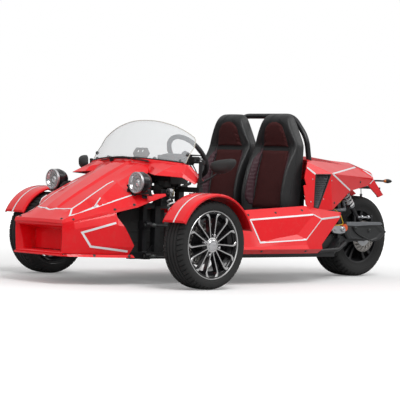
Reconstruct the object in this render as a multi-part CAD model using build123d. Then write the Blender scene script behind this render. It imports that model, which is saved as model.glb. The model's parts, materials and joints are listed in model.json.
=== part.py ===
from build123d import *
import math
import os

# Layout. Lengths are millimetres. The vehicle is drawn from the front axle's line,
# +X forwards, +Y to its left, +Z up from the ground, and moved once at the end so
# that the origin is at the bottom centre of its box.
FRONT_OVERHANG = 640.0
WHEELBASE = 2020.0
TRACK = 1440.0
FULL_TURN = 360.0
SIDES = {"left": 1, "right": -1}

# Clearances shared by all pieces.
SEAT_GAP = 0.3
PIVOT_GAP = 0.05
MOVING_GAP = 6.0
OVERRUN = 20.0

# Front wheel.
FRONT_TYRE_R = 255.0
FRONT_TYRE_WIDTH = 165.0
FRONT_SEAT_R = 178.0
FRONT_FLANGE_R = 196.0
FRONT_RIM_WIDTH = 152.0
FRONT_PAIRS = 7
FRONT_HUB_R = 62.0
FRONT_DISC_R = 120.0
FRONT_RIB_WIDTH = 13.0
FRONT_RIB_DEPTH = 24.0
FRONT_PAIR_SPREAD_SHARE = 0.25

# Rear wheel.
REAR_TYRE_R = 272.0
REAR_TYRE_WIDTH = 215.0
REAR_SEAT_R = 153.0
REAR_FLANGE_R = 170.0
REAR_RIM_WIDTH = 186.0
REAR_PAIRS = 5
REAR_HUB_R = 48.0
REAR_DISC_R = 105.0
REAR_RIB_WIDTH = 20.0
REAR_RIB_DEPTH = 30.0
REAR_PAIR_SPREAD_SHARE = 0.25
REAR_DISC_Y = 128.0

# What both kinds of wheel share.
TYRE_WALL = 12.0
RIM_WALL = 6.0
RIM_LIP = 6.0
RIM_DROP = 18.0
DISC_THICK = 6.0
DISC_HAT_R = 46.0
CAP_R = 32.0
CAP_PROUD = 8.0

# Upright, spindle and steering arm.
KINGPIN_OFFSET = 110.0
KINGPIN_Y = TRACK / 2 - KINGPIN_OFFSET
KINGPIN_R = 8.0
UPRIGHT_LENGTH_X = 50.0
UPRIGHT_WIDTH_Y = 36.0
UPRIGHT_LOW_Z = 185.0
UPRIGHT_HIGH_Z = 335.0
SPINDLE_R = 17.0
SPINDLE_TIP = 10.0
ARM_REACH = 95.0
ARM_THICK = 12.0
ARM_WIDTH = 30.0
ARM_Z = 240.0
CALIPER_LENGTH = 46.0
CALIPER_WIDTH = 40.0
CALIPER_HEIGHT = 60.0
CALIPER_OUT_R = 138.0
DISC_OFFSET = 40.0

# Fender.
FENDER_INNER_OFFSET = 80.0
FENDER_OUTER_OFFSET = 112.0
FENDER_INNER_Y = TRACK / 2 - FENDER_INNER_OFFSET
FENDER_OUTER_Y = TRACK / 2 + FENDER_OUTER_OFFSET
FENDER_R = 295.0
FENDER_EDGE_DROP = 12.0
FENDER_EDGE_RUN = 20.0
FENDER_WALL = 5.0
FENDER_FRONT_ANGLE = 25.0
FENDER_REAR_ANGLE = 164.0
STAY_THICK = 14.0
STAY_WIDTH = 30.0

# Suspension arms and shocks.
ARM_TUBE_R = 12.0
ARM_EYE_R = 20.0
ARM_EYE_HEIGHT = 18.0
ARM_SPREAD_X = 125.0
SHOCK_FOOT_OFFSET = 105.0
SHOCK_FOOT_Y = KINGPIN_Y - SHOCK_FOOT_OFFSET
SHOCK_FOOT_Z = 188.0
SHOCK_TOP_Y = 412.0
SHOCK_TOP_Z = 548.0
SHOCK_BODY_R = 14.0
SHOCK_COIL_R = 27.0
SHOCK_COILS = 7
SHOCK_COIL_THICK = 9.0
SHOCK_COIL_START_SHARE = 0.36
SHOCK_COIL_END_SHARE = 0.85

# Steering gear.
RACK_R = 13.0
RACK_HALF_LENGTH = 250.0
RACK_HOUSING_R = 24.0
RACK_HOUSING_HALF = 150.0
TIE_ROD_R = 9.0
TIE_EYE_R = 15.0
TIE_EYE_HEIGHT = 16.0
TIE_DROP = 24.0

# Frame.
TUBE = 40.0
SMALL_TUBE = 30.0
RAIL_Y = 330.0
RAIL_Z = 172.0
FRAME_FRONT_X = 230.0
FRAME_NOSE_X = 470.0
NOSE_TUBE = 22.0
FRAME_NOSE_Y = 165.0
POST_FRONT_X = 30.0
POST_REAR_X = -150.0
POST_TOP_Z = 480.0
COWL_BAR_Z = 560.0
FLOOR_HALF_WIDTH = 520.0
OUTRIGGER_INSET = 20.0
OUTRIGGER_Y = FLOOR_HALF_WIDTH - OUTRIGGER_INSET
FLOOR_END_X = -1180.0
FRAME_END_X = -1500.0
SEAT_HOOP_Z = 640.0
REAR_TUBE_Z = 440.0
REAR_TUBE_END_X = -1700.0
REAR_TUBE_END_Y = 185.0
TAIL_TUBE_END_X = -1960.0
TAIL_TUBE_END_Y = 70.0
TAIL_TUBE_Z = 630.0
CROSS_X = [-560.0, -860.0]

# Floor and footbox.
FLOOR_THICK = 5.0
FOOTBOX_FRONT_X = 330.0
FOOTBOX_REAR_X = -60.0
FOOTBOX_HALF_WIDTH = 305.0
FOOTBOX_HEIGHT = 245.0
FOOTBOX_WALL = 4.0
FOOTBOX_NOSE_R = 118.0

# Body panels.
PANEL_WALL = 5.0
BONNET_LENGTH = 646.0
BONNET_HALF_WIDTH = 400.0
BONNET_LOW_Z = 345.0
BONNET_RISE = 390.0
# Each row: x share back from the nose, then y and z shares of centre, ridge, crease, edge.
BONNET_FRONT_SHARES = [
    (0.006, [(0.00, 0.070), (0.36, 0.070), (0.48, 0.060), (0.55, 0.020)]),
    (0.125, [(0.00, 0.175), (0.38, 0.170), (0.48, 0.120), (0.63, 0.060)]),
    (0.187, [(0.00, 0.230), (0.40, 0.215), (0.52, 0.155), (0.68, 0.085)]),
    (0.384, [(0.00, 0.420), (0.42, 0.390), (0.68, 0.285), (0.84, 0.160)]),
    (0.618, [(0.00, 0.645), (0.44, 0.590), (0.87, 0.440), (1.00, 0.280)]),
]
# Same, of centre, ridge and edge, from the lamp notch back to the screen.
BONNET_REAR_SHARES = [
    (0.618, [(0.00, 0.645), (0.44, 0.590), (0.87, 0.440)]),
    (0.701, [(0.00, 0.725), (0.45, 0.665), (0.58, 0.625)]),
    (0.951, [(0.00, 0.962), (0.475, 0.885), (0.62, 0.795)]),
    (1.000, [(0.00, 1.000), (0.475, 0.925), (0.50, 0.920)]),
]
# The blade beside each lamp: x share, then y and z shares of its upper and lower edge.
BLADE_SHARES = [
    (0.618, [(0.87, 0.440), (1.00, 0.280)]),
    (0.929, [(1.045, 0.485), (1.065, 0.455)]),
]

COWL_HALF_WIDTH = 485.0
COWL_DEPTH = 226.0
COWL_FRONT_X = 26.0
COWL_LOW_Z = 590.0
COWL_RISE = 147.0
# Each row: y share, then x share back and z share up of front edge, crest and rear edge.
COWL_SHARES = [
    (0.000, [(0.170, 0.980), (0.250, 1.000), (0.470, 0.985)]),
    (0.400, [(0.170, 0.800), (0.240, 0.860), (0.480, 0.900)]),
    (0.516, [(0.010, 0.430), (0.290, 0.910), (0.520, 0.900)]),
    (0.618, [(0.190, 0.350), (0.350, 0.900), (0.580, 0.880)]),
    (0.880, [(0.480, 0.300), (0.555, 0.830), (0.760, 0.780)]),
    (1.000, [(0.690, 0.010), (0.900, 0.160), (0.990, 0.190)]),
]

NOSE_LENGTH = 390.0
NOSE_HALF_WIDTH = 400.0
NOSE_LOW_Z = 160.0
NOSE_HEIGHT = 300.0
# Each row: x share back from the nose, then y and z shares of top, middle and low edge.
CHEEK_SHARES = [
    (0.020, [(0.548, 0.600), (0.548, 0.450), (0.530, 0.050)]),
    (0.410, [(0.735, 0.745), (0.770, 0.585), (0.725, 0.055)]),
    (0.735, [(0.893, 0.835), (0.957, 0.615), (0.880, 0.060)]),
    (1.000, [(0.985, 0.940), (1.050, 0.640), (0.965, 0.065)]),
]
# The cheek's rear edge: x share back and z share up.
CHEEK_CUT_SHARES = [(0.720, 1.20), (0.735, 0.840), (0.812, 0.613), (0.990, 0.230), (0.930, 0.100), (0.930, -0.2)]
SPLITTER_THICK = 8.0
# Outline of the splitter: x share back and y share out.
SPLITTER_SHARES = [(0.000, 0.380), (0.035, 0.545), (1.020, 1.020), (1.020, 0.860), (0.300, 0.380)]
DUCT_TOP_Z = 308.0
DUCT_LOW_Z = 183.0
DUCT_HALF_WIDTH = 186.0
DUCT_BACK_X = 500.0
DUCT_FRONT_X = 600.0

SIDE_FRONT_X = -390.0
SIDE_LENGTH = 1042.0
SIDE_WIDTH = 150.0
SIDE_INSET = 70.0
SIDE_INNER_Y = FLOOR_HALF_WIDTH - SIDE_INSET
SIDE_LOW_Z = 187.0
SIDE_HEIGHT = 296.0
# Each row: x share back, then y share out and z share up of top, shoulder, crease, sill and lip.
SIDE_SHARES = [
    (0.000, [(0.20, 0.845), (0.60, 0.690), (1.00, 0.230), (0.78, 0.000), (0.44, 0.000)]),
    (0.614, [(0.20, 1.000), (0.60, 0.830), (1.00, 0.255), (0.78, 0.000), (0.44, 0.000)]),
    (0.755, [(0.18, 0.900), (0.54, 0.730), (0.97, 0.260), (0.76, 0.000), (0.44, 0.000)]),
    (1.000, [(0.02, 0.870), (0.05, 0.760), (0.40, 0.260), (0.30, 0.000), (0.10, 0.000)]),
]
# Rear edge of the side panel: x share back and z share up.
SIDE_CUT_SHARES = [(1.010, 0.760), (0.728, 0.180), (0.745, 0.090), (0.710, -0.020), (0.710, -0.20), (1.10, -0.20)]

TAIL_FRONT_X = -1172.0
TAIL_LENGTH = 911.0
TAIL_HALF_WIDTH = 455.0
TAIL_LOW_Z = 450.0
TAIL_HEIGHT = 341.0
# Each row: x share back, then y and z shares of centre, ridge, shoulder and lower edge.
TAIL_SHARES = [
    (0.000, [(0.00, 0.960), (0.22, 0.950), (0.93, 0.690), (1.00, 0.000)]),
    (0.193, [(0.00, 0.995), (0.22, 0.985), (0.99, 0.683), (1.00, 0.012)]),
    (0.338, [(0.00, 1.000), (0.22, 0.990), (0.87, 0.672), (0.875, 0.138)]),
    (0.566, [(0.00, 0.945), (0.22, 0.933), (0.68, 0.651), (0.66, 0.370)]),
    (0.799, [(0.00, 0.925), (0.22, 0.915), (0.50, 0.630), (0.43, 0.416)]),
    (1.000, [(0.00, 0.770), (0.20, 0.762), (0.33, 0.613), (0.29, 0.470)]),
]
FANG_SHARES = [(0.94, 0.50), (1.00, 0.54), (1.07, 0.47), (1.168, 0.296), (1.117, 0.243)]
FANG_Y = 126.0
FANG_THICK = 14.0
VENT_FRONT_X = -1192.0
# The side vent: x back from its front and z up from the tail's low edge, in millimetre sizes.
VENT_TOP_LENGTH = 130.0
VENT_LOW_LENGTH = 36.0
VENT_TOP_Z = 666.0
VENT_LOW_Z = 476.0

# Windshield.
SCREEN_HALF_WIDTH = 425.0
SCREEN_BASE_X = -24.6
SCREEN_BASE_Z = 739.3
SCREEN_HEIGHT = 230.0
SCREEN_RAKE = 147.0
SCREEN_SWEEP = 98.0
SCREEN_DROP = 24.0
SCREEN_WALL = 4.0
# Each row: y share, sweep share, height share, rake share.
SCREEN_SHARES = [
    (0.00, 0.00, 1.000, 1.00),
    (0.24, 0.05, 0.985, 0.99),
    (0.47, 0.22, 0.930, 0.95),
    (0.71, 0.52, 0.830, 0.83),
    (0.94, 0.90, 0.660, 0.66),
    (1.00, 1.00, 0.420, 0.45),
]
STRIP_HEIGHT = 12.0
STRIP_THICK = 6.0
TRIM_ROWS = 3
WIPER_R = 5.0

# Lamps, mirrors, dash.
LAMP_X = 245.0
LAMP_Y = 386.0
LAMP_Z = 593.0
LAMP_R = 62.0
LAMP_LENGTH = 112.0
LAMP_TAIL_R = 34.0
LAMP_STALK_R = 11.0
MIRROR_POST_X = -168.0
MIRROR_POST_Z = 729.0
MIRROR_POST_R = 11.0
MIRROR_Y = 636.0
MIRROR_Z = 703.0
MIRROR_X = -208.0
MIRROR_WIDTH = 162.0
MIRROR_HEIGHT = 92.0
MIRROR_DEPTH = 34.0
MIRROR_FILLET = 14.0
DASH_X = -72.0
DASH_DEPTH = 138.0
DASH_HALF_WIDTH = 335.0
DASH_HEIGHT = 110.0
DASH_TOP_Z = 700.0
POD_WIDTH = 150.0
POD_HEIGHT = 60.0
POD_LENGTH = 90.0

# Steering wheel.
WHEEL_X = -318.0
WHEEL_Y = 210.0
WHEEL_Z = 757.0
WHEEL_R = 158.0
WHEEL_GRIP_R = 13.0
WHEEL_TILT = 36.0
WHEEL_HUB_R = 40.0
WHEEL_HUB_THICK = 30.0
WHEEL_SPOKES = 3
WHEEL_SPOKE_WIDTH = 34.0
WHEEL_SPOKE_THICK = 8.0
COLUMN_R = 19.0
COLUMN_LENGTH = 290.0
SHAFT_R = 10.0
SHAFT_FOOT_Y = 120.0

# Seats.
SEAT_Y = 210.0
SEAT_HALF_WIDTH = 188.0
SEAT_FRONT_X = -520.0
SEAT_BACK_X = -1157.0
SEAT_BASE_Z = 240.0
CUSHION_Z = 365.0
BOLSTER_RISE = 40.0
BOLSTER_WIDTH = 58.0
BACK_FOOT_X = -1010.0
BACK_SHOULDER_X = -1047.0
BACK_WING = 52.0
BACK_WING_SHARE = 0.55
BACK_SHOULDER_Z = 867.0
BACK_TOP_Z = 1044.0
BACK_TOP_X = -1089.0
BACK_TOP_REAR_X = -1132.0
HEAD_X = -1059.0
HEAD_HALF_WIDTH = 105.0
HEAD_SHOULDER_Z = 1010.0
SEAT_FOOT_HALF = 120.0
SEAT_FOOT_LENGTH = 420.0

# Roll bar.
ROLL_R = 17.0
ROLL_TOP_X = -1203.0
ROLL_TOP_Y = 228.0
ROLL_TOP_Z = 1058.0
ROLL_SHOULDER_Y = 350.0
ROLL_SHOULDER_Z = 904.0
ROLL_FOOT_X = -1262.0
ROLL_FOOT_Y = 372.0
ROLL_FOOT_Z = 462.0

# Rear end.
ENGINE_FRONT_X = -1250.0
ENGINE_LENGTH = 350.0
ENGINE_HALF_WIDTH = 190.0
ENGINE_LOW_Z = 200.0
ENGINE_HEIGHT = 330.0
PIVOT_X = -1660.0
PIVOT_Z = 250.0
PIVOT_R = 22.0
SWING_Y = 160.0
SWING_TUBE = 42.0
AXLE_R = 12.0
REAR_CALIPER_LENGTH = 90.0
REAR_CALIPER_HEIGHT = 56.0
REAR_CALIPER_WIDTH = 44.0
GUARD_THICK = 16.0
GUARD_FRONT_X = -1820.0
GUARD_LENGTH = 410.0
GUARD_LOW_Z = 236.0
GUARD_HEIGHT = 134.0
# Outline of the guard beside the swing arm: x share back, z share up.
GUARD_SHARES = [(0.00, 1.00), (0.84, 0.98), (1.00, 0.50), (0.84, 0.04), (0.50, 0.02), (0.02, 0.20)]
REAR_SHOCK_TOP_X = -1770.0
REAR_SHOCK_FOOT_X = -1990.0
REAR_SHOCK_Y = 150.0
MUFFLER_R = 58.0
MUFFLER_LENGTH = 330.0
MUFFLER_X = -1560.0
MUFFLER_Y = -318.0
MUFFLER_Z = 322.0
PIPE_R = 17.0
TAIL_LAMP_WIDTH = 120.0
TAIL_LAMP_HEIGHT = 40.0
TAIL_LAMP_DEPTH = 40.0
PLATE_WIDTH = 200.0
PLATE_HEIGHT = 120.0
PLATE_THICK = 3.0
PLATE_X = -2215.0
PLATE_Z = 545.0
PLATE_HOLE_R = 3.5
PLATE_HOLE_SPACING = 150.0
SIGNAL_X = -2150.0
SIGNAL_Y = 232.0
SIGNAL_Z = 648.0
SIGNAL_R = 16.0
SIGNAL_LENGTH = 62.0
SIGNAL_STALK_R = 6.0


def between(value, target, share):
    """The value that lies a share of the way from one number to another."""
    return value + (target - value) * share


def block(x_range, y_range, z_range):
    """A box from its low and high limits along each axis."""
    spans = [sorted(pair) for pair in (x_range, y_range, z_range)]
    size = [high - low for low, high in spans]
    centre = [(high + low) / 2 for low, high in spans]
    return Pos(*centre) * Box(*size)


def rod(start, end, radius):
    """A round bar between two points."""
    start = Vector(*start)
    end = Vector(*end)
    plane = Plane(origin=start, z_dir=end - start)
    return extrude(plane * Circle(radius), (end - start).length)


def square_tube(start, end, size):
    """A square bar between two points, level side up."""
    start = Vector(*start)
    end = Vector(*end)
    run = end - start
    flat = Vector(0, 0, 1).cross(run)
    if flat.length < size / FULL_TURN:
        flat = Vector(0, 1, 0)
    plane = Plane(origin=start, x_dir=flat, z_dir=run)
    return extrude(plane * Rectangle(size, size), run.length)


def join(solids):
    """All solids fused into one shape."""
    whole = solids[0]
    for solid in solids[1:]:
        whole = whole + solid
    return whole


def mirrored(shape):
    """The shape on the vehicle's other side."""
    return mirror(shape, about=Plane.XZ)


def on_side(shape, side):
    """The left piece itself, or its mirror on the right."""
    if side > 0:
        return shape
    solids = [mirrored(solid) for solid in shape.solids()]
    return solids[0] if len(solids) == 1 else Compound(children=solids)


def offset_line(points, wall):
    """An open line's points, moved by the wall to the right of its course."""
    moved = []
    for index, point in enumerate(points):
        before = points[max(index - 1, 0)]
        after = points[min(index + 1, len(points) - 1)]
        normals = []
        for start, end in ((before, point), (point, after)):
            run = math.dist(start, end)
            if run > 0:
                normals.append(((end[1] - start[1]) / run, (start[0] - end[0]) / run))
        total = [sum(column) for column in zip(*normals)]
        length = math.hypot(*total)
        unit = [value / length for value in total]
        cosine = unit[0] * normals[0][0] + unit[1] * normals[0][1]
        moved.append(tuple(at + value * wall / cosine for at, value in zip(point, unit)))
    return moved


def strip_face(points, wall, plane):
    """A closed band of the wall's thickness along an open line, on a plane."""
    outline = list(points) + offset_line(points, wall)[::-1]
    return make_face(plane * Polyline(*outline, close=True))


def shell_across_x(rows, wall):
    """A panel lofted through bands at rising distances back; rows hold x and (y, z) points."""
    faces = []
    for x, points in rows:
        plane = Plane(origin=(x, 0, 0), x_dir=(0, 1, 0), z_dir=(1, 0, 0))
        faces.append(strip_face(points, wall, plane))
    parts = [loft([first, second], ruled=True) for first, second in zip(faces, faces[1:])]
    return join(parts)


def shell_across_y(rows, wall):
    """A panel lofted through bands side by side; rows hold y and (x, z) points."""
    faces = []
    for y, points in rows:
        plane = Plane(origin=(0, y, 0), x_dir=(1, 0, 0), z_dir=(0, -1, 0))
        faces.append(strip_face(points, wall, plane))
    parts = [loft([first, second], ruled=True) for first, second in zip(faces, faces[1:])]
    return join(parts)


def full_width(half):
    """A line from the right edge over the centre to the left edge."""
    return [(-y, z) for y, z in half[:0:-1]] + list(half)


def prism_xz(points, y_range):
    """A side outline of (x, z) points, thick along Y."""
    low, high = sorted(y_range)
    plane = Plane(origin=(0, high, 0), x_dir=(1, 0, 0), z_dir=(0, -1, 0))
    return extrude(make_face(plane * Polyline(*points, close=True)), high - low)


def prism_xy(points, z_range):
    """A plan outline of (x, y) points, thick along Z."""
    low, high = sorted(z_range)
    plane = Plane(origin=(0, 0, low))
    return extrude(make_face(plane * Polyline(*points, close=True)), high - low)


def prism_yz(points, x_range):
    """A front outline of (y, z) points, thick along X."""
    low, high = sorted(x_range)
    plane = Plane(origin=(low, 0, 0), x_dir=(0, 1, 0), z_dir=(1, 0, 0))
    return extrude(make_face(plane * Polyline(*points, close=True)), high - low)


def ring(outline):
    """A closed outline of (radius, y) points turned about the Y axis."""
    face = make_face(Polyline(*outline, close=True))
    return revolve(face, Axis.Y, FULL_TURN)


def tyre(radius, width, seat_r, rim_width):
    """A tyre about the origin, its axis along Y, hollow between its beads."""
    half = width / 2
    bead = rim_width / 2 - RIM_LIP - SEAT_GAP
    seat = seat_r + SEAT_GAP
    height = radius - seat
    outer = [
        (seat, bead),
        (seat + height * 0.25, bead),
        (seat + height * 0.50, half),
        (seat + height * 0.80, half * 0.97),
        (radius - height * 0.04, half * 0.80),
        (radius, half * 0.45),
    ]
    inner = [
        (radius - TYRE_WALL, half * 0.45),
        (radius - TYRE_WALL * 1.5, half - TYRE_WALL * 1.6),
        (seat + height * 0.50, half - TYRE_WALL),
        (seat + height * 0.25, bead - TYRE_WALL),
        (seat, bead - TYRE_WALL),
    ]
    side = outer + [(radius, 0)]
    hollow = [(radius - TYRE_WALL, 0)] + inner
    upper = side + hollow
    lower = [(r, -y) for r, y in upper]
    return ring(upper) + ring(lower)


def rim(seat_r, flange_r, width, pairs, spread_share, hub_r, rib_width, rib_depth, bore_r):
    """A wheel rim about the origin, its open face towards +Y."""
    lip = width / 2
    bead = lip - RIM_LIP
    well = seat_r - RIM_DROP
    inside = seat_r - RIM_WALL
    half = [
        (well, 0),
        (well, bead * 0.45),
        (seat_r, bead * 0.72),
        (seat_r, bead),
        (flange_r, bead),
        (flange_r, lip),
        (inside, lip),
        (inside, bead * 0.72),
        (well - RIM_WALL, bead * 0.45),
        (well - RIM_WALL, 0),
    ]
    pieces = [ring(half), ring([(r, -y) for r, y in half])]
    rib_y = lip - RIM_LIP - rib_depth / 2
    reach = inside + RIM_WALL / 2
    pitch = FULL_TURN / pairs
    for index in range(pairs):
        for sign in (-1, 1):
            angle = pitch * (index + sign * spread_share)
            rib = Pos(reach / 2, rib_y, 0) * Box(reach, rib_depth, rib_width)
            pieces.append(Rot(0, angle, 0) * rib)
    hub = Rot(90, 0, 0) * Cylinder(hub_r, rib_depth)
    pieces.append(Pos(0, rib_y, 0) * hub)
    cap = Rot(90, 0, 0) * Cylinder(CAP_R, CAP_PROUD)
    pieces.append(Pos(0, rib_y + rib_depth / 2 + CAP_PROUD / 2, 0) * cap)
    whole = join(pieces)
    depth = rib_depth + rib_depth
    bore = Pos(0, rib_y - rib_depth, 0) * (Rot(90, 0, 0) * Cylinder(bore_r, depth))
    return whole - bore


def brake_disc(radius, y, hat_end_y, bore_r):
    """A flat brake disc with a round hat that reaches the hub."""
    plate = Pos(0, y, 0) * (Rot(90, 0, 0) * Cylinder(radius, DISC_THICK))
    hat_length = abs(hat_end_y - y)
    hat = Pos(0, (y + hat_end_y) / 2, 0) * (Rot(90, 0, 0) * Cylinder(DISC_HAT_R, hat_length))
    bore = Rot(90, 0, 0) * Cylinder(bore_r, (hat_length + radius) * 2)
    return plate + hat - bore


def front_rim_face_y():
    """Inner side of the front rim's ribs, from the wheel's centre plane."""
    return FRONT_RIM_WIDTH / 2 - RIM_LIP - FRONT_RIB_DEPTH


def front_wheel():
    """The left front wheel's tyre and rim in place."""
    place = Pos(0, TRACK / 2, FRONT_TYRE_R)
    bore = SPINDLE_R + PIVOT_GAP
    body = rim(FRONT_SEAT_R, FRONT_FLANGE_R, FRONT_RIM_WIDTH, FRONT_PAIRS,
               FRONT_PAIR_SPREAD_SHARE, FRONT_HUB_R, FRONT_RIB_WIDTH, FRONT_RIB_DEPTH, bore)
    disc = brake_disc(FRONT_DISC_R, -DISC_OFFSET, front_rim_face_y(), bore)
    cover = tyre(FRONT_TYRE_R, FRONT_TYRE_WIDTH, FRONT_SEAT_R, FRONT_RIM_WIDTH)
    return place * cover, place * (body + disc)


def rear_wheel():
    """The rear wheel's tyre and rim in place."""
    place = Pos(-WHEELBASE, 0, REAR_TYRE_R)
    bore = AXLE_R + PIVOT_GAP
    body = rim(REAR_SEAT_R, REAR_FLANGE_R, REAR_RIM_WIDTH, REAR_PAIRS,
               REAR_PAIR_SPREAD_SHARE, REAR_HUB_R, REAR_RIB_WIDTH, REAR_RIB_DEPTH, bore)
    disc_start = REAR_RIM_WIDTH / 2 - RIM_LIP
    disc = brake_disc(REAR_DISC_R, REAR_DISC_Y, disc_start, bore)
    through = Rot(90, 0, 0) * Cylinder(bore, REAR_RIM_WIDTH * 2)
    tube = Rot(90, 0, 0) * Cylinder(REAR_HUB_R * 0.6, REAR_RIM_WIDTH)
    cover = tyre(REAR_TYRE_R, REAR_TYRE_WIDTH, REAR_SEAT_R, REAR_RIM_WIDTH)
    return place * cover, place * (body + disc + tube - through)


def upright():
    """The left upright: post, kingpin, spindle, steering arm, brake caliper and fender stay."""
    hub_y = TRACK / 2
    axle_z = FRONT_TYRE_R
    half_x = UPRIGHT_LENGTH_X / 2
    half_y = UPRIGHT_WIDTH_Y / 2
    y_in = KINGPIN_Y - half_y
    y_out = KINGPIN_Y + half_y
    post = block((-half_x, half_x), (y_in, y_out), (UPRIGHT_LOW_Z, UPRIGHT_HIGH_Z))
    pin_reach = ARM_EYE_HEIGHT + MOVING_GAP
    pin = rod((0, KINGPIN_Y, UPRIGHT_LOW_Z - pin_reach),
              (0, KINGPIN_Y, UPRIGHT_HIGH_Z + pin_reach + MOVING_GAP + STAY_THICK), KINGPIN_R)
    tip_y = hub_y + front_rim_face_y() + SPINDLE_TIP
    spindle = rod((0, KINGPIN_Y, axle_z), (0, tip_y, axle_z), SPINDLE_R)
    arm_z = (ARM_Z - ARM_THICK / 2, ARM_Z + ARM_THICK / 2)
    half_arm = ARM_WIDTH / 2
    arm = block((-ARM_REACH, 0), (KINGPIN_Y - half_arm, KINGPIN_Y + half_arm), arm_z)
    arm = arm + rod((-ARM_REACH, KINGPIN_Y, arm_z[0]), (-ARM_REACH, KINGPIN_Y, arm_z[1]), half_arm)
    stud_low = ARM_Z - TIE_DROP - TIE_EYE_HEIGHT / 2
    stud = rod((-ARM_REACH, KINGPIN_Y, stud_low), (-ARM_REACH, KINGPIN_Y, ARM_Z), KINGPIN_R)
    disc_y = hub_y - DISC_OFFSET
    caliper_x = (-CALIPER_OUT_R, CALIPER_LENGTH - CALIPER_OUT_R)
    half_caliper = CALIPER_HEIGHT / 2
    caliper_z = (axle_z - half_caliper, axle_z + half_caliper)
    caliper = block(caliper_x, (disc_y - CALIPER_WIDTH / 2, disc_y + CALIPER_WIDTH / 2), caliper_z)
    slot_half = DISC_THICK / 2 + MOVING_GAP / 3
    slot_x = (-FRONT_DISC_R - MOVING_GAP / 3, OVERRUN)
    slot = block(slot_x, (disc_y - slot_half, disc_y + slot_half), (0, axle_z * 2))
    caliper = caliper - slot
    bracket_y = (y_out - half_y, disc_y - slot_half - MOVING_GAP)
    bracket = block((caliper_x[0], 0), bracket_y, (axle_z - ARM_WIDTH, axle_z + ARM_WIDTH))
    fender_z = axle_z + FENDER_R - FENDER_WALL - SEAT_GAP
    stay_z = UPRIGHT_HIGH_Z + pin_reach + MOVING_GAP
    stay = block((-STAY_WIDTH / 2, STAY_WIDTH / 2), (y_in, y_in + STAY_THICK), (stay_z, fender_z))
    seat_block = block((-STAY_WIDTH / 2, STAY_WIDTH / 2), (y_in, y_out), (stay_z, stay_z + STAY_THICK))
    foot_x = (-STAY_WIDTH / 2, STAY_WIDTH / 2)
    foot_y = FENDER_INNER_Y + FENDER_EDGE_RUN * 3
    foot_z = axle_z + FRONT_TYRE_R + MOVING_GAP
    lip_z = axle_z + FENDER_R - FENDER_EDGE_DROP - FENDER_WALL * 1.5
    foot = block(foot_x, (y_in, foot_y), (foot_z, lip_z))
    foot = foot + block(foot_x, (FENDER_INNER_Y + FENDER_EDGE_RUN * 1.2, foot_y), (foot_z, fender_z))
    trim = ring([
        (FENDER_R * 2, FENDER_INNER_Y - OVERRUN),
        (FENDER_R * 2, FENDER_OUTER_Y),
        (FENDER_R - FENDER_WALL - SEAT_GAP, FENDER_OUTER_Y),
        (FENDER_R - FENDER_WALL - SEAT_GAP, FENDER_INNER_Y + FENDER_EDGE_RUN * 1.2),
        (FENDER_R - FENDER_WALL * 1.5 - FENDER_EDGE_DROP, FENDER_INNER_Y),
        (FENDER_R - FENDER_WALL * 1.5 - FENDER_EDGE_DROP, FENDER_INNER_Y - OVERRUN),
    ])
    foot = foot - Pos(0, 0, axle_z) * trim
    return join([post, pin, spindle, arm, stud, bracket, caliper, stay, seat_block, foot])


def fender():
    """The left fender, an arched shell over the tyre, its edges turned down."""
    outer = [
        (FENDER_R - FENDER_EDGE_DROP, FENDER_OUTER_Y),
        (FENDER_R, FENDER_OUTER_Y - FENDER_EDGE_RUN),
        (FENDER_R, FENDER_INNER_Y + FENDER_EDGE_RUN),
        (FENDER_R - FENDER_EDGE_DROP, FENDER_INNER_Y),
    ]
    face = strip_face(outer, FENDER_WALL, Plane.XY)
    arc = FENDER_REAR_ANGLE - FENDER_FRONT_ANGLE
    arch = revolve(face, Axis.Y, -arc)
    return Pos(0, 0, FRONT_TYRE_R) * (Rot(0, -FENDER_FRONT_ANGLE, 0) * arch)


def front_arms():
    """Upper and lower left wishbones: two tubes each and the kingpin eye."""
    pieces = []
    low_z = UPRIGHT_LOW_Z - MOVING_GAP - ARM_EYE_HEIGHT / 2
    high_z = UPRIGHT_HIGH_Z + MOVING_GAP + ARM_EYE_HEIGHT / 2
    root_y = RAIL_Y + TUBE / 2
    for z in (low_z, high_z):
        eye = rod((0, KINGPIN_Y, z - ARM_EYE_HEIGHT / 2), (0, KINGPIN_Y, z + ARM_EYE_HEIGHT / 2), ARM_EYE_R)
        arms = [eye]
        for x in (-ARM_SPREAD_X, ARM_SPREAD_X):
            arms.append(rod((x, root_y + ARM_EYE_R, z), (0, KINGPIN_Y - ARM_EYE_R / 2, z), ARM_TUBE_R * 0.75))
            arms.append(rod((x - ARM_EYE_R, root_y + ARM_EYE_R, z),
                            (x + ARM_EYE_R, root_y + ARM_EYE_R, z), ARM_EYE_R - SEAT_GAP))
        if z == low_z:
            span = ARM_SPREAD_X * (KINGPIN_Y - SHOCK_FOOT_Y) / (KINGPIN_Y - root_y - ARM_EYE_R)
            plate_z = (z - ARM_TUBE_R * 0.75, SHOCK_FOOT_Z - SHOCK_BODY_R * 1.3 - SEAT_GAP)
            plate_y = (SHOCK_FOOT_Y - SHOCK_BODY_R, SHOCK_FOOT_Y + SHOCK_BODY_R)
            arms.append(block((-span, span), plate_y, plate_z))
        hole = rod((0, KINGPIN_Y, z - ARM_EYE_R), (0, KINGPIN_Y, z + ARM_EYE_R), KINGPIN_R + PIVOT_GAP)
        pieces.append(join(arms) - hole)
    return Compound(children=pieces)


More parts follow.
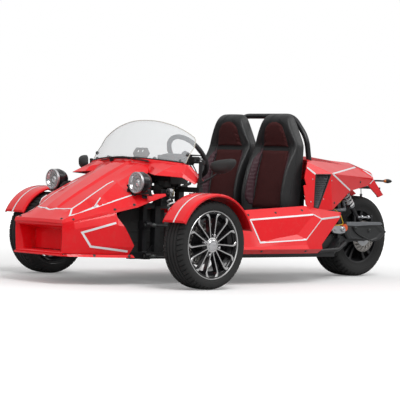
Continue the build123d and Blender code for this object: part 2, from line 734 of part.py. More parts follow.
def coil_over(foot, top):
    """A damper between two points with spring turns about it."""
    foot = Vector(*foot)
    top = Vector(*top)
    run = top - foot
    pieces = [rod(foot, top, SHOCK_BODY_R)]
    for index in range(SHOCK_COILS):
        share = between(SHOCK_COIL_START_SHARE, SHOCK_COIL_END_SHARE, index / (SHOCK_COILS - 1))
        centre = foot + run * share
        half = run.normalized() * (SHOCK_COIL_THICK / 2)
        pieces.append(rod(centre - half, centre + half, SHOCK_COIL_R))
    for end in (foot, top):
        pieces.append(rod(end - Vector(SHOCK_BODY_R, 0, 0), end + Vector(SHOCK_BODY_R, 0, 0), SHOCK_BODY_R * 1.3))
    return join(pieces)


def tube_pair(start, end, size):
    """The same square tube on both sides."""
    left = square_tube(start, end, size)
    return [left, mirrored(left)]


def frame():
    """The welded frame of square tube, from the nose to the tail."""
    rail = (RAIL_Y, RAIL_Z)
    half = TUBE / 2
    inner = RAIL_Y - half
    # Pairs of tubes: start and end points.
    runs = [
        ((FRAME_FRONT_X, *rail), (FRAME_END_X, *rail)),
        ((POST_FRONT_X, RAIL_Y, RAIL_Z), (POST_FRONT_X, RAIL_Y, POST_TOP_Z)),
        ((POST_REAR_X, RAIL_Y, RAIL_Z), (POST_REAR_X, RAIL_Y, COWL_BAR_Z)),
        ((POST_REAR_X, RAIL_Y, POST_TOP_Z - half), (ARM_SPREAD_X, RAIL_Y, POST_TOP_Z - half)),
        ((POST_REAR_X, RAIL_Y - half, COWL_BAR_Z), (POST_REAR_X, OUTRIGGER_Y + SMALL_TUBE / 2, COWL_BAR_Z)),
        ((FLOOR_END_X, RAIL_Y, RAIL_Z), (FLOOR_END_X, RAIL_Y, SEAT_HOOP_Z)),
        ((FLOOR_END_X, RAIL_Y, REAR_TUBE_Z), (REAR_TUBE_END_X, REAR_TUBE_END_Y, REAR_TUBE_Z)),
        ((FRAME_END_X + half, RAIL_Y, RAIL_Z), (PIVOT_X, REAR_TUBE_END_Y + TUBE, PIVOT_Z)),
        ((PIVOT_X, REAR_TUBE_END_Y + TUBE, PIVOT_Z), (PIVOT_X, REAR_TUBE_END_Y + TUBE, REAR_TUBE_Z)),
        ((FLOOR_END_X, RAIL_Y - half, TAIL_TUBE_Z), (TAIL_TUBE_END_X, TAIL_TUBE_END_Y, TAIL_TUBE_Z)),
        ((REAR_TUBE_END_X, REAR_TUBE_END_Y, REAR_TUBE_Z), (REAR_TUBE_END_X, REAR_TUBE_END_Y * 0.8, TAIL_TUBE_Z)),
    ]
    # Tubes from side to side: x, half length, z. The floor's tubes end level with the rails' top.
    floor_z = RAIL_Z + half - SMALL_TUBE / 2
    crosses = [
        (POST_FRONT_X, inner, POST_TOP_Z - half),
        (POST_REAR_X, inner, floor_z),
        (ARM_SPREAD_X, inner, floor_z),
        (POST_REAR_X, inner, COWL_BAR_Z),
        (FLOOR_END_X, inner, floor_z),
        (FLOOR_END_X, inner, SEAT_HOOP_Z),
        (FRAME_END_X, inner, floor_z),
        (REAR_TUBE_END_X, REAR_TUBE_END_Y, TAIL_TUBE_Z),
        (TAIL_TUBE_END_X, TAIL_TUBE_END_Y + half, TAIL_TUBE_Z),
    ]
    crosses += [(x, inner, floor_z) for x in CROSS_X]
    pieces = []
    for start, end in runs:
        pieces += tube_pair(start, end, TUBE if start[2] == RAIL_Z else SMALL_TUBE)
    for x, reach, z in crosses:
        pieces.append(square_tube((x, -reach, z), (x, reach, z), SMALL_TUBE))
    # The nose loop, lying on the splitter.
    nose_z = NOSE_LOW_Z + SPLITTER_THICK + SEAT_GAP + NOSE_TUBE / 2
    pieces += tube_pair((FRAME_FRONT_X - half, RAIL_Y, nose_z), (FRAME_NOSE_X, FRAME_NOSE_Y, nose_z), NOSE_TUBE)
    pieces.append(square_tube((FRAME_NOSE_X, -FRAME_NOSE_Y - half, nose_z),
                              (FRAME_NOSE_X, FRAME_NOSE_Y + half, nose_z), NOSE_TUBE))
    # Shock towers.
    tower_y = (RAIL_Y, SHOCK_TOP_Y - SHOCK_BODY_R * 1.3 - SEAT_GAP)
    tower = block((-half, POST_FRONT_X + half), tower_y, (POST_TOP_Z - half, SHOCK_TOP_Z + half / 2))
    pieces += [tower, mirrored(tower)]
    # Outriggers under the tail body's side edges.
    tail_seat = block((FLOOR_END_X - half, FLOOR_END_X), (RAIL_Y, TAIL_HALF_WIDTH),
                      (TAIL_LOW_Z - SMALL_TUBE, TAIL_LOW_Z - SEAT_GAP))
    pieces += [tail_seat, mirrored(tail_seat)]
    # Lugs that hold the wishbones' inner ends.
    for z in (UPRIGHT_LOW_Z - MOVING_GAP - ARM_EYE_HEIGHT / 2, UPRIGHT_HIGH_Z + MOVING_GAP + ARM_EYE_HEIGHT / 2):
        for x in (-ARM_SPREAD_X, ARM_SPREAD_X):
            lug = block((x - ARM_EYE_R, x + ARM_EYE_R), (inner, RAIL_Y + half), (z - ARM_EYE_R, z + ARM_EYE_R))
            pieces += [lug, mirrored(lug)]
    for x in (-ARM_SPREAD_X, ARM_SPREAD_X):
        pieces += tube_pair((x, RAIL_Y, RAIL_Z), (x, RAIL_Y, POST_TOP_Z - half), SMALL_TUBE)
    return join(pieces)


def floor_top():
    """Height of the floor plate's underside, on the rails."""
    return RAIL_Z + TUBE / 2 + SEAT_GAP


def floor_pan():
    """The floor plate between the footbox and the seat hoop."""
    low = floor_top()
    plate = block((POST_REAR_X - TUBE, FLOOR_END_X + TUBE), (-FLOOR_HALF_WIDTH, FLOOR_HALF_WIDTH),
                  (low, low + FLOOR_THICK))
    start = SIDE_FRONT_X + OVERRUN
    for side in SIDES.values():
        corner = block((start, 0), (side * (RAIL_Y + TUBE), side * FLOOR_HALF_WIDTH * 2), (0, low * 2))
        plate = plate - corner
    return plate


def footbox():
    """The black tub ahead of the pedals, closed in front, open to the cabin."""
    low = floor_top()
    high = low + FOOTBOX_HEIGHT
    rear = FOOTBOX_REAR_X
    profile = block((rear, FOOTBOX_FRONT_X), (-FOOTBOX_HALF_WIDTH, FOOTBOX_HALF_WIDTH), (low, high))
    front_edges = profile.edges().filter_by(Axis.Y).group_by(Axis.X)[-1]
    outer = fillet(front_edges, FOOTBOX_NOSE_R)
    wall = FOOTBOX_WALL
    inside = block((rear - OVERRUN, FOOTBOX_FRONT_X - wall),
                   (-FOOTBOX_HALF_WIDTH + wall, FOOTBOX_HALF_WIDTH - wall), (low + wall, high - wall))
    inner_edges = inside.edges().filter_by(Axis.Y).group_by(Axis.X)[-1]
    inside = fillet(inner_edges, FOOTBOX_NOSE_R - wall)
    return outer - inside


def bonnet_rows(shares):
    """Bonnet stations in place, from a table of shares."""
    rows = []
    for x_share, points in shares:
        x = FRONT_OVERHANG - BONNET_LENGTH * x_share
        line = [(y * BONNET_HALF_WIDTH, BONNET_LOW_Z + z * BONNET_RISE) for y, z in points]
        rows.append((x, line))
    return rows


def bonnet():
    """The bonnet from the nose to the windshield, with a blade beside each lamp."""
    front = [(x, full_width(line)) for x, line in bonnet_rows(BONNET_FRONT_SHARES)]
    rear = [(x, full_width(line)) for x, line in bonnet_rows(BONNET_REAR_SHARES)]
    blade = shell_across_x(bonnet_rows(BLADE_SHARES), PANEL_WALL)
    return join([shell_across_x(front, PANEL_WALL), shell_across_x(rear, PANEL_WALL), blade, mirrored(blade)])


def cowl():
    """The scuttle under the windshield, swept down to a wing at each side."""
    rows = []
    for y_share, points in COWL_SHARES:
        line = [(COWL_FRONT_X - SEAT_GAP * 2 - x * COWL_DEPTH, COWL_LOW_Z + z * COWL_RISE) for x, z in points]
        rear_x, rear_z = line[-1]
        on_dash = rear_z > DASH_TOP_Z
        line.append((rear_x, DASH_TOP_Z + SEAT_GAP if on_dash else rear_z - PANEL_WALL * 2))
        rows.append((y_share * COWL_HALF_WIDTH, line))
    left = shell_across_y(rows, -PANEL_WALL)
    return left + mirrored(left)


def nose_point(x_share, z_share):
    """A point of the nose's side outline from shares."""
    return (FRONT_OVERHANG - NOSE_LENGTH * x_share, NOSE_LOW_Z + NOSE_HEIGHT * z_share)


def nose_mask():
    """The lower nose: a cheek at each side, the air duct, its lip and the splitter."""
    rows = []
    for x_share, points in CHEEK_SHARES:
        x = FRONT_OVERHANG - NOSE_LENGTH * x_share
        line = [(y * NOSE_HALF_WIDTH, NOSE_LOW_Z + z * NOSE_HEIGHT) for y, z in points]
        rows.append((x, line))
    cheek = shell_across_x(rows, PANEL_WALL)
    cut = [nose_point(x, z) for x, z in CHEEK_CUT_SHARES]
    behind = FRONT_OVERHANG - NOSE_LENGTH * 1.2
    cut += [(behind, cut[-1][1]), (behind, cut[0][1])]
    cheek = cheek - prism_xz(cut, (0, NOSE_HALF_WIDTH * 2))
    splitter_line = [(FRONT_OVERHANG - NOSE_LENGTH * x, NOSE_HALF_WIDTH * y) for x, y in SPLITTER_SHARES]
    outline = splitter_line + [(x, -y) for x, y in splitter_line[::-1]]
    splitter = prism_xy(outline, (NOSE_LOW_Z, NOSE_LOW_Z + SPLITTER_THICK))
    wall = PANEL_WALL
    duct_z = (DUCT_LOW_Z, DUCT_TOP_Z)
    duct = block((DUCT_BACK_X, DUCT_FRONT_X), (-DUCT_HALF_WIDTH - wall, DUCT_HALF_WIDTH + wall),
                 (duct_z[0] - wall, duct_z[1] + wall))
    hollow = block((DUCT_BACK_X + wall, DUCT_FRONT_X + OVERRUN), (-DUCT_HALF_WIDTH, DUCT_HALF_WIDTH), duct_z)
    first = rows[0][1]
    lip_half = first[0][0] - wall / 2
    lip_line = [
        (FRONT_OVERHANG - wall, first[0][1]),
        (DUCT_FRONT_X + wall * 2, DUCT_TOP_Z + wall / 2),
        (DUCT_FRONT_X - wall, DUCT_TOP_Z + wall / 2),
    ]
    plane = Plane(origin=(0, lip_half, 0), x_dir=(1, 0, 0), z_dir=(0, -1, 0))
    lip = extrude(strip_face(lip_line, -wall, plane), lip_half * 2)
    pillar_line = [
        (DUCT_FRONT_X - wall, DUCT_HALF_WIDTH),
        (DUCT_FRONT_X, DUCT_HALF_WIDTH),
        (rows[0][0], first[0][0]),
        (rows[0][0] - wall, first[0][0]),
        (DUCT_FRONT_X - wall, DUCT_HALF_WIDTH + wall),
    ]
    pillar = prism_xy(pillar_line, (NOSE_LOW_Z, DUCT_TOP_Z + wall))
    sill_line = [
        (FRONT_OVERHANG - wall, NOSE_LOW_Z + SPLITTER_THICK / 2),
        (DUCT_FRONT_X, duct_z[0]),
        (DUCT_FRONT_X - wall, duct_z[0] - wall),
        (DUCT_FRONT_X - wall, NOSE_LOW_Z + SPLITTER_THICK / 2),
    ]
    sill = prism_xz(sill_line, (-DUCT_HALF_WIDTH, DUCT_HALF_WIDTH))
    return join([duct - hollow, lip, sill, pillar, mirrored(pillar), splitter, cheek, mirrored(cheek)])


def side_panel():
    """The left side panel with its sill, cut slanting at the rear."""
    rows = []
    for x_share, points in SIDE_SHARES:
        line = [(SIDE_INNER_Y + y * SIDE_WIDTH, SIDE_LOW_Z + z * SIDE_HEIGHT) for y, z in points]
        rows.append((SIDE_FRONT_X - SIDE_LENGTH * x_share, line))
    panel = shell_across_x(rows, PANEL_WALL)
    cut = [(SIDE_FRONT_X - SIDE_LENGTH * x, SIDE_LOW_Z + z * SIDE_HEIGHT) for x, z in SIDE_CUT_SHARES]
    return panel - prism_xz(cut, (0, SIDE_INNER_Y * 2))


def tail_cowl():
    """The tail body behind the seats, with the side vents cut and two fangs at its end."""
    rows = []
    for x_share, points in TAIL_SHARES:
        line = [(y * TAIL_HALF_WIDTH, TAIL_LOW_Z + z * TAIL_HEIGHT) for y, z in points]
        rows.append((TAIL_FRONT_X - TAIL_LENGTH * x_share, full_width(line)))
    body = shell_across_x(rows, PANEL_WALL)
    for side in SIDES.values():
        body = body - prism_xz(vent_outline(), (side * TAIL_HALF_WIDTH / 2, side * TAIL_HALF_WIDTH * 2))
        top = (ROLL_TOP_X, side * ROLL_SHOULDER_Y, ROLL_SHOULDER_Z)
        foot = (ROLL_FOOT_X, side * ROLL_FOOT_Y, ROLL_FOOT_Z)
        body = body - rod(top, foot, ROLL_R + MOVING_GAP)
    fang_line = [(TAIL_FRONT_X - TAIL_LENGTH * x, TAIL_LOW_Z + TAIL_HEIGHT * z) for x, z in FANG_SHARES]
    fang = prism_xz(fang_line, (FANG_Y, FANG_Y + FANG_THICK))
    return join([body, fang, mirrored(fang)])


def vent_outline():
    """Side outline of the vent behind each seat."""
    return [
        (VENT_FRONT_X, VENT_TOP_Z),
        (VENT_FRONT_X - VENT_TOP_LENGTH, VENT_TOP_Z),
        (VENT_FRONT_X - VENT_LOW_LENGTH, VENT_LOW_Z),
        (VENT_FRONT_X, VENT_LOW_Z),
    ]


def screen_foot(sweep):
    """X and Z of the windshield's foot, from its share of the sweep."""
    return SCREEN_BASE_X - SCREEN_SWEEP * sweep, SCREEN_BASE_Z - SCREEN_DROP * sweep


def windshield():
    """The curved clear screen, standing behind the bonnet's rear edge."""
    rows = []
    for y_share, sweep, height, rake in SCREEN_SHARES:
        x, z = screen_foot(sweep)
        line = [(x, z), (x - SCREEN_RAKE * rake, z + SCREEN_HEIGHT * height)]
        rows.append((y_share * SCREEN_HALF_WIDTH, line))
    left = shell_across_y(rows, -SCREEN_WALL)
    return left + mirrored(left)


def headlight():
    """The left headlight: a round housing that tapers rearwards, on a stalk."""
    lens = rod((LAMP_X - LAMP_LENGTH / 2, LAMP_Y, LAMP_Z), (LAMP_X, LAMP_Y, LAMP_Z), LAMP_R)
    rear_x = LAMP_X - LAMP_LENGTH
    big = Plane(origin=(LAMP_X - LAMP_LENGTH / 2, LAMP_Y, LAMP_Z), z_dir=(-1, 0, 0)) * Circle(LAMP_R)
    small = Plane(origin=(rear_x, LAMP_Y, LAMP_Z), z_dir=(-1, 0, 0)) * Circle(LAMP_TAIL_R)
    bowl = loft([big, small])
    seat_z = POST_TOP_Z - TUBE / 2 + SMALL_TUBE / 2 + SEAT_GAP
    knee = (ARM_SPREAD_X, RAIL_Y, seat_z + LAMP_STALK_R)
    foot = rod((ARM_SPREAD_X, RAIL_Y, seat_z), (ARM_SPREAD_X, RAIL_Y, seat_z + LAMP_STALK_R * 2), LAMP_STALK_R)
    stalk = rod((LAMP_X - LAMP_LENGTH / 2, LAMP_Y, LAMP_Z), knee, LAMP_STALK_R)
    return join([lens, bowl, stalk, foot])


def mirror_piece():
    """The left mirror: a post on the cowl bar, an arm and the housing."""
    base_z = COWL_BAR_Z + SMALL_TUBE / 2 + SEAT_GAP
    post_y = OUTRIGGER_Y
    post = rod((MIRROR_POST_X + SMALL_TUBE / 2, post_y, base_z),
               (MIRROR_POST_X + SMALL_TUBE / 2, post_y, MIRROR_POST_Z), MIRROR_POST_R)
    arm = rod((MIRROR_POST_X + SMALL_TUBE / 2, post_y, base_z + MIRROR_POST_R),
              (MIRROR_X, MIRROR_Y - MIRROR_WIDTH / 4, MIRROR_Z - MIRROR_HEIGHT / 4), MIRROR_POST_R * 0.6)
    housing = block((MIRROR_X - MIRROR_DEPTH / 2, MIRROR_X + MIRROR_DEPTH / 2),
                    (MIRROR_Y - MIRROR_WIDTH / 2, MIRROR_Y + MIRROR_WIDTH / 2),
                    (MIRROR_Z - MIRROR_HEIGHT / 2, MIRROR_Z + MIRROR_HEIGHT / 2))
    housing = fillet(housing.edges().filter_by(Axis.X), MIRROR_FILLET)
    return join([post, arm, housing])


def column_axis():
    """Unit direction of the steering column, from the dash towards the driver."""
    tilt = math.radians(WHEEL_TILT)
    return Vector(-math.cos(tilt), 0, math.sin(tilt))


def dash():
    """The dash panel, the pod ahead of the steering wheel and the column."""
    panel = block((DASH_X - DASH_DEPTH, DASH_X), (-DASH_HALF_WIDTH, DASH_HALF_WIDTH),
                  (DASH_TOP_Z - DASH_HEIGHT, DASH_TOP_Z))
    legs = []
    for side in SIDES.values():
        leg_z = (COWL_BAR_Z + SMALL_TUBE / 2 + SEAT_GAP, DASH_TOP_Z - DASH_HEIGHT)
        leg_x = (POST_REAR_X - TUBE / 4, POST_REAR_X + TUBE / 4)
        legs.append(block(leg_x, (side * (RAIL_Y - TUBE), side * RAIL_Y), leg_z))
    axis = column_axis()
    hub = Vector(WHEEL_X, WHEEL_Y, WHEEL_Z)
    top = hub - axis * (WHEEL_HUB_THICK + SEAT_GAP)
    low_end = hub - axis * COLUMN_LENGTH
    column = rod(top, low_end, COLUMN_R)
    rack_top = ARM_Z - TIE_DROP + RACK_HOUSING_R
    shaft_foot = Vector(-ARM_REACH, SHAFT_FOOT_Y, rack_top + SHAFT_R)
    shaft = rod(low_end, shaft_foot, SHAFT_R)
    joint = Pos(*low_end) * Sphere(COLUMN_R * 1.2)
    base = rod((-ARM_REACH, SHAFT_FOOT_Y, rack_top + SEAT_GAP), shaft_foot, SHAFT_R * 1.4)
    pod = block((DASH_X - POD_LENGTH, DASH_X - DASH_DEPTH / 2), (WHEEL_Y - POD_WIDTH / 2, WHEEL_Y + POD_WIDTH / 2),
                (DASH_TOP_Z - POD_HEIGHT / 2, DASH_TOP_Z + POD_HEIGHT))
    return join([panel, pod, column, shaft, joint, base] + legs)


def steering_wheel():
    """The steering wheel: grip ring, hub and spokes, facing the driver."""
    axis = column_axis()
    plane = Plane(origin=(WHEEL_X, WHEEL_Y, WHEEL_Z), x_dir=(0, 1, 0), z_dir=axis)
    grip = Torus(WHEEL_R, WHEEL_GRIP_R)
    hub = Pos(0, 0, -WHEEL_HUB_THICK / 2) * Cylinder(WHEEL_HUB_R, WHEEL_HUB_THICK)
    pieces = [grip, hub]
    for index in range(WHEEL_SPOKES):
        spoke = Pos(WHEEL_R / 2, 0, -WHEEL_SPOKE_THICK / 2) * Box(WHEEL_R, WHEEL_SPOKE_WIDTH, WHEEL_SPOKE_THICK)
        pieces.append(Rot(0, 0, FULL_TURN * index / WHEEL_SPOKES - FULL_TURN / 4) * spoke)
    return plane * join(pieces)


def seat():
    """The left bucket seat: cushion, bolsters, leaning back with a built-in head rest, and its foot."""
    half = SEAT_HALF_WIDTH
    y_span = (SEAT_Y - half, SEAT_Y + half)
    side_line = [
        (BACK_FOOT_X, CUSHION_Z),
        (BACK_SHOULDER_X, BACK_SHOULDER_Z),
        (HEAD_X, HEAD_SHOULDER_Z),
        (BACK_TOP_X, BACK_TOP_Z),
        (BACK_TOP_REAR_X, BACK_TOP_Z),
        (SEAT_BACK_X, BACK_SHOULDER_Z),
        (SEAT_BACK_X, SEAT_BASE_Z),
        (BACK_FOOT_X, SEAT_BASE_Z),
    ]
    front_line = [
        (SEAT_Y - half, SEAT_BASE_Z - OVERRUN),
        (SEAT_Y + half, SEAT_BASE_Z - OVERRUN),
        (SEAT_Y + half, BACK_SHOULDER_Z),
        (SEAT_Y + HEAD_HALF_WIDTH, HEAD_SHOULDER_Z),
        (SEAT_Y + HEAD_HALF_WIDTH * 0.8, BACK_TOP_Z + OVERRUN),
        (SEAT_Y - HEAD_HALF_WIDTH * 0.8, BACK_TOP_Z + OVERRUN),
        (SEAT_Y - HEAD_HALF_WIDTH, HEAD_SHOULDER_Z),
        (SEAT_Y - half, BACK_SHOULDER_Z),
    ]
    back = prism_xz(side_line, y_span) & prism_yz(front_line, (SEAT_BACK_X - OVERRUN, BACK_FOOT_X + OVERRUN))
    cushion = block((BACK_FOOT_X - OVERRUN, SEAT_FRONT_X), y_span, (SEAT_BASE_Z, CUSHION_Z))
    wing_rear = SEAT_BACK_X + OVERRUN
    wing_line = [
        (BACK_FOOT_X + BACK_WING / 2, CUSHION_Z - OVERRUN),
        (between(BACK_FOOT_X, BACK_SHOULDER_X, BACK_WING_SHARE) + BACK_WING,
         between(CUSHION_Z, BACK_SHOULDER_Z, BACK_WING_SHARE)),
        (BACK_SHOULDER_X - BACK_WING / 2, BACK_SHOULDER_Z),
        (wing_rear, BACK_SHOULDER_Z),
        (wing_rear, CUSHION_Z - OVERRUN),
    ]
    pieces = [back, cushion]
    for side in SIDES.values():
        edge = SEAT_Y + side * half
        bolster = block((BACK_FOOT_X - OVERRUN, SEAT_FRONT_X - BOLSTER_WIDTH), (edge - side * BOLSTER_WIDTH, edge),
                        (CUSHION_Z - OVERRUN, CUSHION_Z + BOLSTER_RISE))
        pieces.append(bolster)
        pieces.append(prism_xz(wing_line, (edge - side * BOLSTER_WIDTH, edge)))
    foot_low = floor_top() + FLOOR_THICK + SEAT_GAP
    middle = (BACK_FOOT_X + SEAT_FRONT_X) / 2
    foot = block((middle - SEAT_FOOT_LENGTH / 2, middle + SEAT_FOOT_LENGTH / 2),
                 (SEAT_Y - SEAT_FOOT_HALF, SEAT_Y + SEAT_FOOT_HALF), (foot_low, SEAT_BASE_Z + OVERRUN))
    return join(pieces + [foot])


def roll_bar():
    """The hoop behind the seats, one tube with bent shoulders and a foot each side."""
    half = [
        (ROLL_TOP_X, ROLL_TOP_Y, ROLL_TOP_Z - ROLL_R),
        (ROLL_TOP_X, ROLL_SHOULDER_Y, ROLL_SHOULDER_Z),
        (ROLL_FOOT_X, ROLL_FOOT_Y, ROLL_FOOT_Z),
    ]
    pieces = [rod((ROLL_TOP_X, -ROLL_TOP_Y, half[0][2]), half[0], ROLL_R)]
    for start, end in zip(half, half[1:]):
        leg = rod(start, end, ROLL_R)
        knee = Pos(*start) * Sphere(ROLL_R)
        pieces += [leg, mirrored(leg), knee, mirrored(knee)]
    foot = block((ROLL_FOOT_X - TUBE, ROLL_FOOT_X + TUBE), (RAIL_Y - TUBE, ROLL_FOOT_Y + TUBE / 2),
                 (REAR_TUBE_Z + SMALL_TUBE / 2 + SEAT_GAP, ROLL_FOOT_Z))
    return join(pieces + [foot, mirrored(foot)])


def swing_arm():
    """The two-sided rear arm with its pivot tube, axle and brake caliper."""
    axle = (-WHEELBASE, REAR_TYRE_R)
    pieces = [
        rod((PIVOT_X, -REAR_TUBE_END_Y, PIVOT_Z), (PIVOT_X, REAR_TUBE_END_Y, PIVOT_Z), PIVOT_R),
        rod((axle[0], -SWING_Y, axle[1]), (axle[0], SWING_Y, axle[1]), AXLE_R),
    ]
    for side in SIDES.values():
        pieces.append(square_tube((PIVOT_X, side * SWING_Y, PIVOT_Z), (axle[0] - SWING_TUBE, side * SWING_Y, axle[1]),
                                  SWING_TUBE))
    caliper = block((axle[0] + REAR_DISC_R - REAR_CALIPER_LENGTH / 2, axle[0] + REAR_DISC_R + REAR_CALIPER_LENGTH / 2),
                    (REAR_DISC_Y - REAR_CALIPER_WIDTH / 2, REAR_DISC_Y + REAR_CALIPER_WIDTH / 2),
                    (axle[1] - REAR_CALIPER_HEIGHT / 2, axle[1] + REAR_CALIPER_HEIGHT / 2))
    slot_half = DISC_THICK / 2 + MOVING_GAP / 3
    slot = Pos(axle[0], REAR_DISC_Y, axle[1]) * (Rot(90, 0, 0) * Cylinder(REAR_DISC_R + MOVING_GAP / 3, slot_half * 2))
    pieces.append(caliper - slot)
    return join(pieces)


def rear_shock():
    """The left rear damper, from the swing arm up to the tail tube."""
    eye = SHOCK_BODY_R * 1.3 + SEAT_GAP
    share = (REAR_SHOCK_FOOT_X - PIVOT_X) / (-WHEELBASE - SWING_TUBE - PIVOT_X)
    foot_z = between(PIVOT_Z, REAR_TYRE_R, share) + SWING_TUBE / 2 + eye + SEAT_GAP * 3
    top_z = TAIL_TUBE_Z - SMALL_TUBE / 2 - eye
    return coil_over((REAR_SHOCK_FOOT_X, REAR_SHOCK_Y, foot_z), (REAR_SHOCK_TOP_X, REAR_SHOCK_Y, top_z))


def swing_guard():
    """The black guard plate outside the left swing arm."""
    line = [(GUARD_FRONT_X - GUARD_LENGTH * x, GUARD_LOW_Z + GUARD_HEIGHT * z) for x, z in GUARD_SHARES]
    inner = SWING_Y + SWING_TUBE / 2 + SEAT_GAP
    return prism_xz(line, (inner, inner + GUARD_THICK))


def engine():
    """The engine and gearbox as one plain block."""
    low = (ENGINE_FRONT_X - ENGINE_LENGTH, ENGINE_FRONT_X)
    body = block(low, (-ENGINE_HALF_WIDTH, ENGINE_HALF_WIDTH), (ENGINE_LOW_Z, ENGINE_LOW_Z + ENGINE_HEIGHT))
    foot_z = (RAIL_Z + TUBE / 2 + SEAT_GAP, ENGINE_LOW_Z)
    foot = block((FRAME_END_X - SMALL_TUBE / 2, FRAME_END_X + SMALL_TUBE / 2),
                 (-ENGINE_HALF_WIDTH / 2, ENGINE_HALF_WIDTH / 2), foot_z)
    return body + foot


def exhaust():
    """The pipe and muffler on the right."""
    muffler = rod((MUFFLER_X, MUFFLER_Y, MUFFLER_Z), (MUFFLER_X - MUFFLER_LENGTH, MUFFLER_Y, MUFFLER_Z), MUFFLER_R)
    knee = (MUFFLER_X + MUFFLER_R, MUFFLER_Y, MUFFLER_Z)
    out = rod((knee[0], -ENGINE_HALF_WIDTH - SEAT_GAP, MUFFLER_Z), knee, PIPE_R)
    back = rod(knee, (MUFFLER_X - OVERRUN, MUFFLER_Y, MUFFLER_Z), PIPE_R)
    return join([muffler, out, Pos(*knee) * Sphere(PIPE_R), back])


def tail_end_x():
    """X of the tail body's rear edge."""
    return TAIL_FRONT_X - TAIL_LENGTH


def tail_lamp():
    """The red lamp at the tail's end."""
    x = tail_end_x() - SEAT_GAP
    z = TAIL_LOW_Z + TAIL_HEIGHT * TAIL_SHARES[-1][1][0][1] - TAIL_LAMP_HEIGHT / 2
    return block((x - TAIL_LAMP_DEPTH, x), (-TAIL_LAMP_WIDTH / 2, TAIL_LAMP_WIDTH / 2),
                 (z - TAIL_LAMP_HEIGHT / 2, z + TAIL_LAMP_HEIGHT / 2))


def plate_bracket():
    """The number plate's bracket with its holes, and a signal stalk and lamp at each side."""
    beam_z = TAIL_TUBE_Z - SMALL_TUBE / 2 - SEAT_GAP
    beam = block((PLATE_X, TAIL_TUBE_END_X + SMALL_TUBE / 2), (-TUBE / 2, TUBE / 2), (beam_z - PLATE_THICK * 2, beam_z))
    plate = block((PLATE_X - PLATE_THICK, PLATE_X), (-PLATE_WIDTH / 2, PLATE_WIDTH / 2),
                  (PLATE_Z - PLATE_HEIGHT / 2, beam_z))
    for side in SIDES.values():
        y = side * PLATE_HOLE_SPACING / 2
        hole = rod((PLATE_X - OVERRUN, y, PLATE_Z), (PLATE_X + OVERRUN, y, PLATE_Z), PLATE_HOLE_R)
        plate = plate - hole
    pieces = [beam, plate]
    half = SIGNAL_STALK_R * 2
    pieces.append(block((SIGNAL_X - half, SIGNAL_X + half), (-half, half), (beam_z - PLATE_THICK, SIGNAL_Z)))
    for side in SIDES.values():
        pieces.append(rod((SIGNAL_X, 0, SIGNAL_Z), (SIGNAL_X, side * SIGNAL_Y, SIGNAL_Z), SIGNAL_STALK_R))
        pieces.append(rod((SIGNAL_X + SIGNAL_LENGTH / 2, side * SIGNAL_Y, SIGNAL_Z),
                          (SIGNAL_X - SIGNAL_LENGTH / 2, side * SIGNAL_Y, SIGNAL_Z), SIGNAL_R))
    return join(pieces)


def windshield_trim():
    """The black strip along the windshield's foot, bent with it, and the wiper on it."""
    rows = []
    for y_share, sweep, height, rake in SCREEN_SHARES[:TRIM_ROWS]:
        x, z = screen_foot(sweep)
        lean = SCREEN_RAKE * rake / (SCREEN_HEIGHT * height)
        x += (STRIP_THICK + SEAT_GAP * 2) * math.hypot(1, lean)
        rows.append((y_share * SCREEN_HALF_WIDTH, [(x, z), (x - STRIP_HEIGHT * lean, z + STRIP_HEIGHT)]))
    strip = shell_across_y(rows, -STRIP_THICK)
    pieces = [strip, mirrored(strip)]
    for (y_start, start), (y_end, end) in zip(rows, rows[1:]):
        blade = rod((start[1][0], y_start, start[1][1]), (end[1][0], y_end, end[1][1]), WIPER_R)
        pieces += [blade, mirrored(blade)]
    return join(pieces)


def rack_parts():
    """The rack bar with its ends, and the fixed housing around it."""
    z = ARM_Z - TIE_DROP
    bar = rod((-ARM_REACH, -RACK_HALF_LENGTH, z), (-ARM_REACH, RACK_HALF_LENGTH, z), RACK_R)
    housing = rod((-ARM_REACH, -RACK_HOUSING_HALF, z), (-ARM_REACH, RACK_HOUSING_HALF, z), RACK_HOUSING_R)
    hole = rod((-ARM_REACH, -RACK_HALF_LENGTH, z), (-ARM_REACH, RACK_HALF_LENGTH, z), RACK_R + PIVOT_GAP)
    return bar, housing - hole


def tie_rod():
    """The left tie rod from the rack's end to the steering arm's stud."""
    z = ARM_Z - TIE_DROP
    start_y = RACK_HALF_LENGTH + MOVING_GAP
    eye = rod((-ARM_REACH, KINGPIN_Y, z - TIE_EYE_HEIGHT / 2), (-ARM_REACH, KINGPIN_Y, z + TIE_EYE_HEIGHT / 2), TIE_EYE_R)
    bar = rod((-ARM_REACH, start_y, z), (-ARM_REACH, KINGPIN_Y, z), TIE_ROD_R * 0.8)
    hole = rod((-ARM_REACH, KINGPIN_Y, z - TIE_EYE_R), (-ARM_REACH, KINGPIN_Y, z + TIE_EYE_R), KINGPIN_R + PIVOT_GAP)
    return eye + bar - hole


